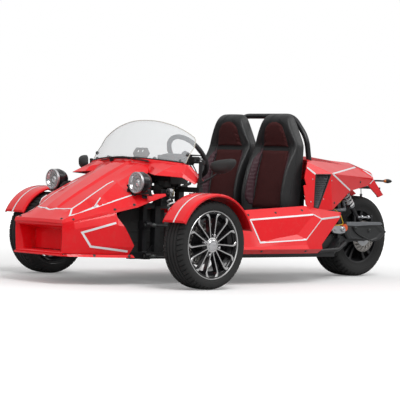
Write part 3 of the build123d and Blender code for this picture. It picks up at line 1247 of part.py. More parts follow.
def build():
    """Every node by name, in the layout's own frame."""
    nodes = {}
    nodes["frame"] = frame()
    nodes["floor_pan"] = floor_pan()
    nodes["footbox"] = footbox()
    nodes["nose_mask"] = nose_mask()
    nodes["bonnet"] = bonnet()
    nodes["cowl"] = cowl()
    nodes["windshield"] = windshield()
    nodes["windshield_trim"] = windshield_trim()
    nodes["dash"] = dash()
    nodes["tail_cowl"] = tail_cowl()
    nodes["roll_bar"] = roll_bar()
    nodes["engine"] = engine()
    nodes["swing_arm"] = swing_arm()
    nodes["swing_guard"] = swing_guard()
    nodes["exhaust"] = exhaust()
    nodes["tail_lamp"] = tail_lamp()
    nodes["plate_bracket"] = plate_bracket()
    nodes["steering_wheel"] = steering_wheel()
    nodes["rack"], nodes["rack_housing"] = rack_parts()
    nodes["tyre_rear"], nodes["rim_rear"] = rear_wheel()
    left_tyre, left_rim = front_wheel()
    shock_foot = (0, SHOCK_FOOT_Y, SHOCK_FOOT_Z)
    shock_top = (0, SHOCK_TOP_Y, SHOCK_TOP_Z)
    pairs = {
        "tyre": left_tyre,
        "rim": left_rim,
        "upright": upright(),
        "fender": fender(),
        "front_arms": front_arms(),
        "front_shock": coil_over(shock_foot, shock_top),
        "tie_rod": tie_rod(),
        "headlight": headlight(),
        "mirror": mirror_piece(),
        "side_panel": side_panel(),
        "seat": seat(),
        "rear_shock": rear_shock(),
    }
    for name, shape in pairs.items():
        for side_name, side in SIDES.items():
            nodes[f"{name}_{side_name}"] = on_side(shape, side)
    return nodes


def main():
    """Write one file per node, the origin at the bottom centre of the whole."""
    os.makedirs("parts", exist_ok=True)
    rear_reach = WHEELBASE + REAR_TYRE_R
    shift = Pos((rear_reach - FRONT_OVERHANG) / 2, 0, 0)
    for name, shape in build().items():
        placed = shift * shape
        export_step(placed, f"parts/{name}.step")


main()
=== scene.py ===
"""A three wheeled roadster: red panels, treaded wheels, seats, lamps and trim on its frame."""

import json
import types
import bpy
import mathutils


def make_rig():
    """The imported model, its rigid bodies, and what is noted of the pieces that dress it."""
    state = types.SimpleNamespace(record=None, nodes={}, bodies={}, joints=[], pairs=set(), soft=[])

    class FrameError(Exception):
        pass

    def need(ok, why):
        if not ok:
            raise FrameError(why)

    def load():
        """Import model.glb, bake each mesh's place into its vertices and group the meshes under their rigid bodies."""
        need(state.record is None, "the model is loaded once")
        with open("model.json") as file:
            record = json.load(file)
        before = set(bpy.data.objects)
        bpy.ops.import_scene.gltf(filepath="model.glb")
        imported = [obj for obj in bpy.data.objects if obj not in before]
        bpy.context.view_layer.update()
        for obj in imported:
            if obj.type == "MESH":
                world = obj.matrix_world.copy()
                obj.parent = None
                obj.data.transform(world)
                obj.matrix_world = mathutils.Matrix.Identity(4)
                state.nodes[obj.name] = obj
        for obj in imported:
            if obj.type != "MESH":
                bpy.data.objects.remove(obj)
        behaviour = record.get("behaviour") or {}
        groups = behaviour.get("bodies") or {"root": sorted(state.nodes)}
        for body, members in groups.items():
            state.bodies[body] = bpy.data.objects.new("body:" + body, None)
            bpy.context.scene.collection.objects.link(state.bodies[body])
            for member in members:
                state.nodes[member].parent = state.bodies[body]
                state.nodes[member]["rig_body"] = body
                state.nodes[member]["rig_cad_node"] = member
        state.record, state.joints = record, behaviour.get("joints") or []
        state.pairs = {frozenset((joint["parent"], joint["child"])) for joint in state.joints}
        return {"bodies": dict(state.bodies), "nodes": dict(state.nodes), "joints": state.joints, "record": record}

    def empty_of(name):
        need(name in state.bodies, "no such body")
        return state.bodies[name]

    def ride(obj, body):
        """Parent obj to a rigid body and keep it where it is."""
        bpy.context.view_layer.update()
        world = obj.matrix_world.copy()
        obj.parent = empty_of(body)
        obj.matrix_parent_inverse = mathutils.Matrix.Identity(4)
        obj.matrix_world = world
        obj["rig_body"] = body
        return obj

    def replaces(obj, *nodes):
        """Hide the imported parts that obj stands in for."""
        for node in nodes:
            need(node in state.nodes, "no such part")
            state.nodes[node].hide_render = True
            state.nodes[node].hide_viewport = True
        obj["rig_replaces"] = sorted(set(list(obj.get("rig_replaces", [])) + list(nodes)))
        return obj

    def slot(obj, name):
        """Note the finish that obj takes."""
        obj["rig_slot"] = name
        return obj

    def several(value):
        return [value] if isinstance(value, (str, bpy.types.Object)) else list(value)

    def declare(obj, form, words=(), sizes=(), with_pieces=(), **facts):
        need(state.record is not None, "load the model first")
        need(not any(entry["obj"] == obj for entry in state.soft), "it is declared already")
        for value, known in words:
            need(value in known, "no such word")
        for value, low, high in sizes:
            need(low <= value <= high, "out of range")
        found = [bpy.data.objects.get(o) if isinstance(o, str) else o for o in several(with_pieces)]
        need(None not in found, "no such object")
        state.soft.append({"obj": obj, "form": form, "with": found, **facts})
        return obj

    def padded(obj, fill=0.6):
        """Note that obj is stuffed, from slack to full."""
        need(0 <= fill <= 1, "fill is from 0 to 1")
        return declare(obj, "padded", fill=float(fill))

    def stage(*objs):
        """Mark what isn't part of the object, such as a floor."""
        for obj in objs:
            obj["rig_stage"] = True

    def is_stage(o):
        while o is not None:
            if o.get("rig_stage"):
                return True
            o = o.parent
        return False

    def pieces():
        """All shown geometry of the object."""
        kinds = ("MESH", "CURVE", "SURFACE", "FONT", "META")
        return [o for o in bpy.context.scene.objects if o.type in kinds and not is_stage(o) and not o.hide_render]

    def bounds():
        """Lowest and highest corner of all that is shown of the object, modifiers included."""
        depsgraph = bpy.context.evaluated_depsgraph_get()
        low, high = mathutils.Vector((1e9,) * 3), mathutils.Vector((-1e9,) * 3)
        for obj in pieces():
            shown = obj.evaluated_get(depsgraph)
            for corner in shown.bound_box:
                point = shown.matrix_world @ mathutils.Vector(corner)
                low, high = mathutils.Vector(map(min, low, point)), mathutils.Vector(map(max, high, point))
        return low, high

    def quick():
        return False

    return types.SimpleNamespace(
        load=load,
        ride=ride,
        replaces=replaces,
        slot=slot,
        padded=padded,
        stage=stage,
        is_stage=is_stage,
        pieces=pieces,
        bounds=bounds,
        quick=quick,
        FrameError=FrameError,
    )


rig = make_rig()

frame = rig.load()

import json
import logging
import math
from collections.abc import Iterable, Sequence
from dataclasses import dataclass, field
from enum import Enum

import bmesh
import bpy
from mathutils import Matrix, Vector, noise
from mathutils.bvhtree import BVHTree

LOG = logging.getLogger("roadster")
Point = tuple[float, float, float]
Flat = tuple[float, float]
Colour = tuple[float, float, float]

ORIGIN_X = 826.0
MM = 0.001
REAR_AXLE_X, REAR_AXLE_Z = -2020, 272
TIE_ROD_X, TIE_ROD_Z = -95, 216
PLATE_X, PLATE_HOLES_Z = -2211, 545
FULL = 2 * math.pi


class Side(Enum):
    """The vehicle's two sides, as the sign of Y."""

    left = 1
    right = -1


def place(point: Iterable[float]) -> Vector:
    """A point of the axle frame, in millimetres, as metres in the model's frame."""
    x, y, z = point
    return Vector(((x + ORIGIN_X) * MM, y * MM, z * MM))


def flipped(points: Iterable[Point], side: Side) -> list[Point]:
    """The points on the given side, from points on the left."""
    return [(x, y * side.value, z) for x, y, z in points]


def across_ring(centre: Point, radius: float, steps: int) -> list[Point]:
    """Points of a circle that stands across the vehicle."""
    x, y, z = centre
    turns = [FULL * step / steps for step in range(steps)]
    return [(x, y + radius * math.cos(turn), z + radius * math.sin(turn)) for turn in turns]


def blend(low: float, high: float, share: float) -> float:
    """The number that lies a share of the way from low to high."""
    return low + (high - low) * share


def along_line(knots: Sequence[Point], x: float) -> Point:
    """The point at x on a line whose knots run towards the rear.

    Args:
        knots: Points in falling order of x.
        x: Where to look.

    Returns:
        The point on the line, or its nearest end.
    """
    if x >= knots[0][0]:
        return (x, knots[0][1], knots[0][2])
    for first, second in zip(knots, knots[1:]):
        if x >= second[0]:
            share = (first[0] - x) / (first[0] - second[0])
            return (x, blend(first[1], second[1], share), blend(first[2], second[2], share))
    return (x, knots[-1][1], knots[-1][2])


class Value:
    """A shader socket that takes part in Python sums."""

    def __init__(self, net: "Net", socket: bpy.types.NodeSocket) -> None:
        """Wraps a socket of a net."""
        self.net = net
        self.socket = socket

    def _maths(self, operation: str, first: "Value | float", second: "Value | float") -> "Value":
        """One Math node on two values."""
        return self.net.node("ShaderNodeMath", {"operation": operation}, {0: first, 1: second})

    def __add__(self, other: "Value | float") -> "Value":
        """self + other."""
        return self._maths("ADD", self, other)

    __radd__ = __add__

    def __mul__(self, other: "Value | float") -> "Value":
        """self * other."""
        return self._maths("MULTIPLY", self, other)

    __rmul__ = __mul__

    def __sub__(self, other: "Value | float") -> "Value":
        """self - other."""
        return self._maths("SUBTRACT", self, other)

    def __rsub__(self, other: "Value | float") -> "Value":
        """other - self."""
        return self._maths("SUBTRACT", other, self)

    def __truediv__(self, other: "Value | float") -> "Value":
        """self / other."""
        return self._maths("DIVIDE", self, other)

    def __rtruediv__(self, other: "Value | float") -> "Value":
        """other / self."""
        return self._maths("DIVIDE", other, self)

    def __pow__(self, other: "Value | float") -> "Value":
        """self to the power of other."""
        return self._maths("POWER", self, other)

    def __gt__(self, other: "Value | float") -> "Value":
        """1 where self is above other."""
        return self._maths("GREATER_THAN", self, other)

    def __abs__(self) -> "Value":
        """The size of self without its sign."""
        return self._maths("ABSOLUTE", self, 0.0)

    def wave(self) -> "Value":
        """The sine of self."""
        return self._maths("SINE", self, 0.0)

    def clamped(self) -> "Value":
        """Self held between 0 and 1."""
        return self.net.node("ShaderNodeClamp", {}, {0: self})


class Net:
    """The node tree of one material or world."""

    def __init__(self, tree: bpy.types.NodeTree) -> None:
        """Empties the tree and keeps it."""
        self.tree = tree
        self.tree.nodes.clear()

    def node(self, kind: str, settings: dict | None = None, inputs: dict | None = None,
             output: int | str = 0) -> Value:
        """Makes a node, sets it and joins it.

        Args:
            kind: The node's Blender type.
            settings: Its own settings, set first; "stops" holds a ramp's positions and colours.
            inputs: Numbers, colours or values for its sockets, by name or place.
            output: Which output to hand back.

        Returns:
            The chosen output as a value.
        """
        made = self.tree.nodes.new(kind)
        for name, setting in (settings or {}).items():
            if name == "stops":
                ramp = made.color_ramp
                while len(ramp.elements) < len(setting):
                    ramp.elements.new(0.5)
                for element, (position, colour) in zip(ramp.elements, setting):
                    element.position = position
                    element.color = (*colour, 1.0)
            else:
                setattr(made, name, setting)
        for key, value in (inputs or {}).items():
            socket = made.inputs[key]
            if isinstance(value, Value):
                self.tree.links.new(value.socket, socket)
            elif socket.type == "RGBA" and len(value) == 3:
                socket.default_value = (*value, 1.0)
            else:
                socket.default_value = value
        return Value(self, made.outputs[output] if len(made.outputs) else None)

    def spot(self) -> Value:
        """The place on the piece, in metres, that moves with it."""
        return self.node("ShaderNodeTexCoord", output="Object")

    def noise(self, scale: float, detail: float = 3.0, roughness: float = 0.5,
              stretch: Point = (1.0, 1.0, 1.0)) -> Value:
        """Cloudy noise from 0 to 1 over the piece."""
        spot = self.node("ShaderNodeMapping", {}, {"Vector": self.spot(), "Scale": stretch})
        return self.node("ShaderNodeTexNoise", {}, {"Vector": spot, "Scale": scale, "Detail": detail,
                                                    "Roughness": roughness})

    def cells(self, scale: float, feature: str = "F1", stretch: Point = (1.0, 1.0, 1.0)) -> Value:
        """Distances in a pattern of cells over the piece."""
        spot = self.node("ShaderNodeMapping", {}, {"Vector": self.spot(), "Scale": stretch})
        return self.node("ShaderNodeTexVoronoi", {"feature": feature}, {"Vector": spot, "Scale": scale})

    def axis(self, name: str) -> Value:
        """One coordinate of the place on the piece."""
        return self.node("ShaderNodeSeparateXYZ", {}, {0: self.spot()}, name)

    def mix(self, factor: "Value | float", first: "Value | Colour", second: "Value | Colour") -> Value:
        """A colour between two colours."""
        inputs = {0: factor, 6: first, 7: second}
        return self.node("ShaderNodeMix", {"data_type": "RGBA"}, inputs, 2)

    def ramp(self, value: Value, low: float, high: float) -> Value:
        """The value, stretched so that low is 0 and high is 1, and held there."""
        inputs = {0: value, 1: low, 2: high, 3: 0.0, 4: 1.0}
        return self.node("ShaderNodeMapRange", {"clamp": True}, inputs)

    def bump(self, height: Value, strength: float, distance: float) -> Value:
        """A normal that follows the height."""
        inputs = {"Strength": strength, "Distance": distance, "Height": height}
        return self.node("ShaderNodeBump", {}, inputs)

    def shade(self, inputs: dict) -> Value:
        """The surface shader from its sockets."""
        return self.node("ShaderNodeBsdfPrincipled", {}, inputs)

    def finish(self, surface: Value) -> None:
        """Joins the surface to the output."""
        self.node("ShaderNodeOutputMaterial", {}, {"Surface": surface})


class Mould:
    """Gathers points and faces in millimetres of the axle frame and makes a piece of them."""

    def __init__(self, name: str) -> None:
        """Starts an empty mould."""
        self.name = name
        self.bm = bmesh.new()

    def grid(self, rows: Sequence[Sequence[Point]], close_rows: bool = False,
             close_ends: bool = False) -> list[list[bmesh.types.BMVert]]:
        """Adds a net of four-sided faces.

        Args:
            rows: Points, as many in each row.
            close_rows: Whether each row's last point joins its first.
            close_ends: Whether the last row joins the first.

        Returns:
            The net's vertices, row by row.
        """
        made = [[self.bm.verts.new(place(point)) for point in row] for row in rows]
        pairs = list(zip(made, made[1:]))
        if close_ends:
            pairs.append((made[-1], made[0]))
        for first, second in pairs:
            count = len(first) if close_rows else len(first) - 1
            for index in range(count):
                after = (index + 1) % len(first)
                corners = [first[index], first[after], second[after], second[index]]
                if len({tuple(v.co) for v in corners}) >= 3:
                    self.face(corners)
        return made

    def face(self, corners: Sequence[bmesh.types.BMVert]) -> None:
        """Adds one face, leaving out repeated corners and faces that exist."""
        kept = []
        for corner in corners:
            if all((corner.co - other.co).length > 1e-7 for other in kept):
                kept.append(corner)
        if len(kept) >= 3:
            try:
                self.bm.faces.new(kept)
            except ValueError:
                LOG.debug("face left out of %s", self.name)

    def plate(self, outline: Sequence[Point]) -> None:
        """Adds one flat face with the given outline."""
        self.bm.faces.new([self.bm.verts.new(place(point)) for point in outline])

    def pierced(self, loops: Sequence[Sequence[Point]]) -> None:
        """Adds a flat sheet between an outline and the loops of its holes."""
        edges = []
        for loop in loops:
            spots = [self.bm.verts.new(place(point)) for point in loop]
            for index, spot in enumerate(spots):
                edges.append(self.bm.edges.new((spot, spots[(index + 1) % len(spots)])))
        bmesh.ops.triangle_fill(self.bm, edges=edges, use_beauty=True, use_dissolve=False)

    def prism(self, outline: Sequence[Point], push: Point) -> None:
        """Adds a solid from a flat outline pushed along a way."""
        shifted = [tuple(a + b for a, b in zip(point, push)) for point in outline]
        low = [self.bm.verts.new(place(point)) for point in outline]
        high = [self.bm.verts.new(place(point)) for point in shifted]
        self.bm.faces.new(low[::-1])
        self.bm.faces.new(high)
        for index in range(len(low)):
            after = (index + 1) % len(low)
            self.bm.faces.new([low[index], low[after], high[after], high[index]])

    def brick(self, low: Point, high: Point) -> None:
        """Adds a box between two corners."""
        x0, y0, z0 = low
        x1, y1, z1 = high
        self.prism([(x0, y0, z0), (x1, y0, z0), (x1, y1, z0), (x0, y1, z0)], (0, 0, z1 - z0))

    def turned(self, profile: Sequence[Flat], centre: Point, axis: Point, steps: int = 48,
               closed: bool = False) -> None:
        """Adds a shape turned about an axis.

        Args:
            profile: Pairs of radius and place along the axis.
            centre: The axis's zero point.
            axis: The axis's direction.
            steps: How many sides the turn has.
            closed: Whether the profile's last point joins its first.
        """
        way = Vector(axis).normalized()
        side = way.orthogonal().normalized()
        other = way.cross(side)
        middle = Vector(centre)
        rows = []
        for step in range(steps):
            angle = FULL * step / steps
            out = side * math.cos(angle) + other * math.sin(angle)
            rows.append([tuple(middle + way * reach + out * radius) for radius, reach in profile])
        self.grid(rows, close_rows=closed, close_ends=True)

    def tube(self, points: Sequence[Point], radius: float, sides: int = 12, square: bool = False,
             ends: bool = True) -> None:
        """Adds a round or square tube along a line of points."""
        line = [Vector(point) for point in points]
        count = 4 if square else sides
        start_angle = math.pi / 4 if square else 0.0
        reach = radius * math.sqrt(2) if square else radius
        normal = None
        rows = []
        for index, at in enumerate(line):
            before = line[max(index - 1, 0)]
            after = line[min(index + 1, len(line) - 1)]
            way = (after - before).normalized()
            if normal is None:
                up = Vector((0, 0, 1)) if abs(way.z) < 0.95 else Vector((1, 0, 0))
                normal = way.cross(up).normalized()
            else:
                normal = (normal - way * normal.dot(way)).normalized()
            other = way.cross(normal)
            row = []
            for step in range(count):
                angle = start_angle + FULL * step / count
                row.append(tuple(at + (normal * math.cos(angle) + other * math.sin(angle)) * reach))
            rows.append(row)
        made = self.grid(rows, close_rows=True)
        if ends:
            self.face(made[0][::-1])
            self.face(made[-1])

    def block(self, centre: Point, half: Point, shoulder: float = 0.86) -> None:
        """Adds a rounded box: full size round its middle, drawn in at both ends of X.

        Args:
            centre: Its centre.
            half: Half its size along X, Y and Z.
            shoulder: How much of Y and Z its two ends keep.
        """
        rows = []
        for reach, share in ((-1.0, shoulder), (-0.82, 1.0), (0.82, 1.0), (1.0, shoulder)):
            corner = [(1, 0.72), (0.72, 1), (-0.72, 1), (-1, 0.72), (-1, -0.72), (-0.72, -1), (0.72, -1),
                      (1, -0.72)]
            rows.append([(centre[0] + half[0] * reach, centre[1] + half[1] * y * share,
                          centre[2] + half[2] * z * share)
                         for y, z in corner])
        net = self.grid(rows, close_rows=True)
        self.face(net[0])
        self.face(net[-1])

    def bolt(self, at: Point, way: Point, radius: float = 7.0) -> None:
        """Adds a domed bolt head with a six-sided socket, standing on a surface."""
        profile = [(radius * 1.25, -1.0), (radius * 1.25, 0.8), (radius, 1.0), (radius * 0.92, radius * 0.35),
                   (radius * 0.62, radius * 0.62), (radius * 0.42, radius * 0.64),
                   (radius * 0.40, radius * 0.25), (0.0, radius * 0.22)]
        self.turned(profile, at, way, steps=12)

    def nut(self, at: Point, way: Point, radius: float, height: float) -> None:
        """Adds a six-sided nut with a domed top."""
        axis = Vector(way).normalized()
        side = axis.orthogonal().normalized()
        other = axis.cross(side)
        rows = []
        for reach, share in ((0.0, 1.0), (height * 0.8, 1.0), (height, 0.8), (height * 1.15, 0.45),
                             (height * 1.2, 0.0)):
            row = []
            for step in range(6):
                angle = FULL * step / 6
                out = side * math.cos(angle) + other * math.sin(angle)
                row.append(tuple(Vector(at) + axis * reach + out * radius * share))
            rows.append(row)
        self.grid(rows, close_rows=True)

    def piece(self, finish: "Finish", body: str, slot: str | None = None, wall: float = 0.0,
              bevel: float = 0.0, bevel_angle: float = 12.0, smooth: float = 35.0, subdivide: int = 0,
              segments: int = 2) -> bpy.types.Object:
        """Makes the piece, dresses it and lets it ride.

        Args:
            finish: What its surface is.
            body: The body that carries it.
            slot: The record's material slot.
            wall: Thickness added behind the faces.
            bevel: Width of the rounding along edges.
            bevel_angle: Smallest bend in degrees that gets rounded.
            smooth: Largest bend in degrees that is shaded smooth.
            subdivide: How often the mesh is subdivided.
            segments: Steps of the rounding.

        Returns:
            The piece.
        """
        bmesh.ops.remove_doubles(self.bm, verts=self.bm.verts, dist=1e-6)
        bmesh.ops.recalc_face_normals(self.bm, faces=self.bm.faces)
        mesh = bpy.data.meshes.new(self.name)
        self.bm.to_mesh(mesh)
        self.bm.free()
        mesh.shade_smooth()
        mesh.set_sharp_from_angle(angle=math.radians(smooth))
        made = bpy.data.objects.new(self.name, mesh)
        bpy.context.scene.collection.objects.link(made)
        if subdivide:
            surface = made.modifiers.new("surface", "SUBSURF")
            surface.levels = surface.render_levels = subdivide
        if wall:
            shell = made.modifiers.new("wall", "SOLIDIFY")
            shell.thickness = abs(wall) * MM
            shell.offset = -1.0 if wall > 0 else 1.0
        if bevel:
            edge = made.modifiers.new("edges", "BEVEL")
            edge.width = bevel * MM
            edge.segments = segments
            edge.limit_method = "ANGLE"
            edge.angle_limit = math.radians(bevel_angle)
            edge.harden_normals = True
        dress(made, finish, slot)
        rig.ride(made, body)
        LOG.info("%s: %d faces on %s", made.name, len(mesh.polygons), body)
        return made


def dress(made: bpy.types.Object, finish: "Finish", slot: str | None = None) -> None:
    """Gives a piece or node its finish and names the record's slot."""
    made.data.materials.clear()
    made.data.materials.append(finish.material())
    if slot:
        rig.slot(made, slot)


def outward(made: bpy.types.Object, centre: Point | None = None, way: Point | None = None) -> None:
    """Turns an open sheet's faces away from a centre, or towards a way."""
    mesh = made.data
    total = 0.0
    for face in mesh.polygons:
        aim = Vector(way) if way else face.center - place(centre)
        total += face.normal.dot(aim) * face.area
    if total < 0:
        mesh.flip_normals()


class Skin:
    """The outer surface of a panel, for stripes and bolts that lie on it."""

    def __init__(self, made: bpy.types.Object, shown: bool = False) -> None:
        """Reads the base mesh of a panel, or with shown its mesh after the modifiers."""
        mesh = made.data
        if shown:
            bpy.context.view_layer.update()
            mesh = made.evaluated_get(bpy.context.evaluated_depsgraph_get()).data
        points = [made.matrix_world @ vertex.co for vertex in mesh.vertices]
        faces = [tuple(face.vertices) for face in mesh.polygons]
        self.tree = BVHTree.FromPolygons(points, faces)

    def hit(self, point: Point, way: Point) -> tuple[Vector, Vector] | None:
        """Where a line through a point meets the skin from outside.

        Args:
            point: A point in millimetres near the skin.
            way: The direction out of the skin.

        Returns:
            The place and its normal in metres, or None.
        """
        out = Vector(way).normalized()
        spot, normal, _, _ = self.tree.ray_cast(place(point) + out * 0.3, -out, 0.9)
        if spot is None:
            return None
        return spot, normal if normal.dot(out) > 0 else -normal

    def near(self, point: Point, way: Point, lift: float = 0.0) -> Point:
        """The place on the skin near a point, in millimetres, lifted off it.

        Args:
            point: A place near the skin.
            way: The direction out of the skin.
            lift: How far off the skin.

        Returns:
            The lifted place, or the point itself where the ray misses.
        """
        found = self.hit(point, way)
        if found is None:
            return point
        spot, normal = found
        spot = (spot + normal * lift * MM) / MM
        return (spot.x - ORIGIN_X, spot.y, spot.z)

    def seam(self, mould: "Mould", line: Sequence[Point], way: Point, radius: float, lift: float = 0.0,
             step: float = 12.0) -> None:
        """Adds a thin round bead to a mould along a line on the skin."""
        course = []
        for first, second in zip(line, line[1:]):
            start, end = Vector(first), Vector(second)
            count = max(1, int((end - start).length / step))
            course += [self.near(tuple(start.lerp(end, index / count)), way, lift) for index in range(count)]
        course.append(self.near(line[-1], way, lift))
        mould.tube(course, radius, sides=8)

    def stripe(self, name: str, lines: Sequence[Sequence[Point]], width: float, way: Point,
               finish: "Finish", body: str, lift: float = 0.5) -> bpy.types.Object:
        """Lays thin tape along lines on the skin.

        Args:
            name: The piece's name.
            lines: Lines of points near the skin.
            width: The tape's width in millimetres.
            way: The direction out of the skin.
            finish: The tape's finish.
            body: The body that carries it.
            lift: How far it stands off the skin.

        Returns:
            The tape.
        """
        tape = Mould(name)
        out = Vector(way).normalized()
        for line in lines:
            spots = [Vector(point) - out * Vector(point).dot(out) for point in line]
            rows = []
            for index, (first, second) in enumerate(zip(line, line[1:])):
                start, end = Vector(first), Vector(second)
                steps = max(2, int((end - start).length / 12.0))
                last = index == len(line) - 2
                for step in range(steps + (1 if last else 0)):
                    share = step / steps
                    at = start.lerp(end, share)
                    corner = step == 0 and index > 0
                    ahead = (spots[index + 1] - spots[index]).normalized()
                    behind = (spots[index] - spots[index - 1]).normalized() if corner else ahead
                    across = (ahead + behind).normalized().cross(out)
                    stretch = 1.0 / max(0.45, across.dot(ahead.cross(out)))
                    rows.append((at, across * stretch))
            net = []
            for at, across in rows:
                row = []
                for share in (-0.5, 0.0, 0.5):
                    found = self.hit(tuple(at + across * (share * width)), way)
                    if found is None:
                        break
                    spot, normal = found
                    spot = (spot + normal * lift * MM) / MM
                    row.append((spot.x - ORIGIN_X, spot.y, spot.z))
                if len(row) == 3:
                    net.append(row)
            if len(net) > 1:
                tape.grid(net)
        made = tape.piece(finish, body, "red_paint")
        outward(made, way=way)
        return made

    def bolts(self, name: str, points: Sequence[Point], way: Point, finish: "Finish", body: str,
              radius: float = 7.0) -> bpy.types.Object:
        """Sets bolt heads on the skin.

        Args:
            name: The piece's name.
            points: Places near the skin.
            way: The direction out of the skin.
            finish: The bolts' finish.
            body: The body that carries them.
            radius: Their radius in millimetres.

        Returns:
            All heads as one piece.
        """
        heads = Mould(name)
        for point in points:
            found = self.hit(point, way)
            if found:
                spot, normal = found
                heads.bolt((spot.x / MM - ORIGIN_X, spot.y / MM, spot.z / MM), tuple(normal), radius)
        return heads.piece(finish, body, "frame_black", smooth=40)


@dataclass(frozen=True)
class Finish:
    """What a surface is made of: one named material with detail at its real scale."""

    name: str
    colour: Colour
    roughness: float = 0.5
    metallic: float = 0.0

    def material(self) -> bpy.types.Material:
        """The finish's material, made once."""
        made = bpy.data.materials.get(self.name)
        if made is None:
            made = bpy.data.materials.new(self.name)
            made.use_nodes = True
            net = Net(made.node_tree)
            net.finish(self.surface(net))
            made.diffuse_color = (*self.colour, 1.0)
        return made

    def surface(self, net: Net) -> Value:
        """The shader of this finish."""
        raise NotImplementedError

    def darker(self, share: float) -> Colour:
        """The finish's colour times a share."""
        return tuple(channel * share for channel in self.colour)


@dataclass(frozen=True)
class GlossPaint(Finish):
    """Clear-coated panel paint with faint orange peel and a little road film."""

    peel: float = 0.05
    film: float = 0.10

    def surface(self, net: Net) -> Value:
        """Paint under a clear coat."""
        cloud = net.ramp(net.noise(5.0, 4.0), 0.35, 0.7)
        grime = net.ramp(net.noise(38.0, 5.0, 0.6), 0.5, 0.8)
        colour = net.mix(cloud * 0.35, self.colour, self.darker(0.84))
        colour = net.mix(grime * self.film, colour, (0.35, 0.20, 0.16))
        rough = 0.07 * cloud + self.roughness + 0.06 * grime
        normal = net.bump(net.noise(260.0, 2.0), self.peel, 0.0006)
        return net.shade({"Base Color": colour, "Roughness": rough, "Normal": normal,
                          "Specular IOR Level": 0.2,
                          "Coat Weight": 0.62 - grime * 0.25, "Coat Roughness": 0.05, "IOR": 1.48})


@dataclass(frozen=True)
class Moulded(Finish):
    """Moulded plastic or powder coat with a fine grain and rubbed high spots."""

    grain: float = 900.0
    depth: float = 0.25
    wear: float = 0.25

    def surface(self, net: Net) -> Value:
        """Grainy, slightly uneven plastic."""
        cloud = net.ramp(net.noise(14.0, 5.0, 0.6), 0.42, 0.72)
        colour = net.mix(cloud * self.wear, self.colour, tuple(c * 1.9 + 0.012 for c in self.colour))
        fine = net.noise(self.grain, 3.0)
        rough = self.roughness - 0.1 * cloud + 0.06 * fine
        return net.shade({"Base Color": colour, "Roughness": rough, "Metallic": self.metallic,
                          "Normal": net.bump(fine, self.depth, 0.0004)})


@dataclass(frozen=True)
class CastMetal(Finish):
    """Cast or blasted alloy with pits and darker hollows."""

    pits: float = 420.0

    def surface(self, net: Net) -> Value:
        """Rough metal."""
        pit = net.ramp(net.cells(self.pits), 0.0, 0.6)
        cloud = net.ramp(net.noise(22.0, 5.0, 0.6), 0.35, 0.7)
        colour = net.mix(cloud * 0.5, self.colour, self.darker(0.55))
        rough = self.roughness + 0.15 * cloud
        return net.shade({"Base Color": colour, "Roughness": rough, "Metallic": self.metallic,
                          "Normal": net.bump(pit + 0.5 * net.noise(900.0), 0.35, 0.0005)})


@dataclass(frozen=True)
class TurnedMetal(Finish):
    """Bright metal with fine turned or brushed lines and faint smears."""

    lines: Point = (60.0, 1.0, 60.0)

    def surface(self, net: Net) -> Value:
        """Brushed metal."""
        lines = net.noise(90.0, 4.0, 0.7, self.lines)
        smear = net.ramp(net.noise(16.0, 4.0), 0.4, 0.75)
        colour = net.mix(smear * 0.35, self.colour, self.darker(0.7))
        rough = self.roughness + 0.12 * lines + 0.08 * smear
        return net.shade({"Base Color": colour, "Roughness": rough, "Metallic": self.metallic,
                          "Normal": net.bump(lines, 0.12, 0.0003)})


@dataclass(frozen=True)
class Rubber(Finish):
    """Tyre rubber: matt, finely grained, with pale dust in its low places."""

    dust: float = 0.3

    def surface(self, net: Net) -> Value:
        """Dusty rubber."""
        cloud = net.ramp(net.noise(9.0, 6.0, 0.65), 0.4, 0.75)
        fine = net.noise(700.0, 3.0)
        colour = net.mix(cloud * self.dust, self.colour, (0.105, 0.092, 0.078))
        rough = self.roughness + 0.12 * cloud
        return net.shade({"Base Color": colour, "Roughness": rough, "Normal": net.bump(fine, 0.3, 0.0005)})


@dataclass(frozen=True)
class Leather(Finish):
    """Seat leatherette: cell grain, soft wrinkles, a shine on rubbed places and painted shade in the grain's creases.
    """

    cell: float = 520.0
    ribs: float = 0.0

    def surface(self, net: Net) -> Value:
        """Grained leatherette, pleated where ribs are given."""
        cell = net.cells(self.cell, "DISTANCE_TO_EDGE")
        grain = net.ramp(cell, 0.0, 0.35)
        fold = net.noise(18.0, 4.0, 0.55)
        height = grain * 0.5 + fold * 1.6
        if self.ribs:
            height = height + abs((net.axis("Z") * self.ribs + fold * 1.5).wave()) * 2.2
        rubbed = net.ramp(net.noise(7.0, 4.0), 0.45, 0.75)
        colour = net.mix(rubbed * 0.45, self.colour, tuple(c * 1.5 + 0.006 for c in self.colour))
        # Darker near the grain's cell edges, where the bump sinks: painted shade in the grain's creases.
        colour = net.mix((1 - grain) * 0.35, colour, self.darker(0.45))
        rough = self.roughness - 0.1 * rubbed + 0.1 * (1 - grain)
        return net.shade({"Base Color": colour, "Roughness": rough, "Normal": net.bump(height, 0.45, 0.0009)})


@dataclass(frozen=True)
class Perforated(Finish):
    """Seat insert cloth: a tight weave with small even holes."""

    pitch: float = 260.0

    def surface(self, net: Net) -> Value:
        """Woven, perforated cover."""
        across = (net.axis("Y") * self.pitch * FULL).wave()
        upward = (net.axis("Z") * self.pitch * FULL + net.axis("X") * self.pitch * FULL).wave()
        hole = net.ramp(across * upward, 0.35, 0.75)
        cloud = net.ramp(net.noise(10.0, 5.0), 0.35, 0.75)
        colour = net.mix(cloud * 0.4, self.colour, self.darker(0.7))
        colour = net.mix(hole * 0.55, colour, self.darker(0.3))
        fold = net.noise(26.0, 3.0)
        return net.shade({"Base Color": colour, "Roughness": self.roughness + 0.1 * cloud,
                          "Specular IOR Level": 0.25,
                          "Normal": net.bump(fold * 2.0 - hole, 0.4, 0.0006)})


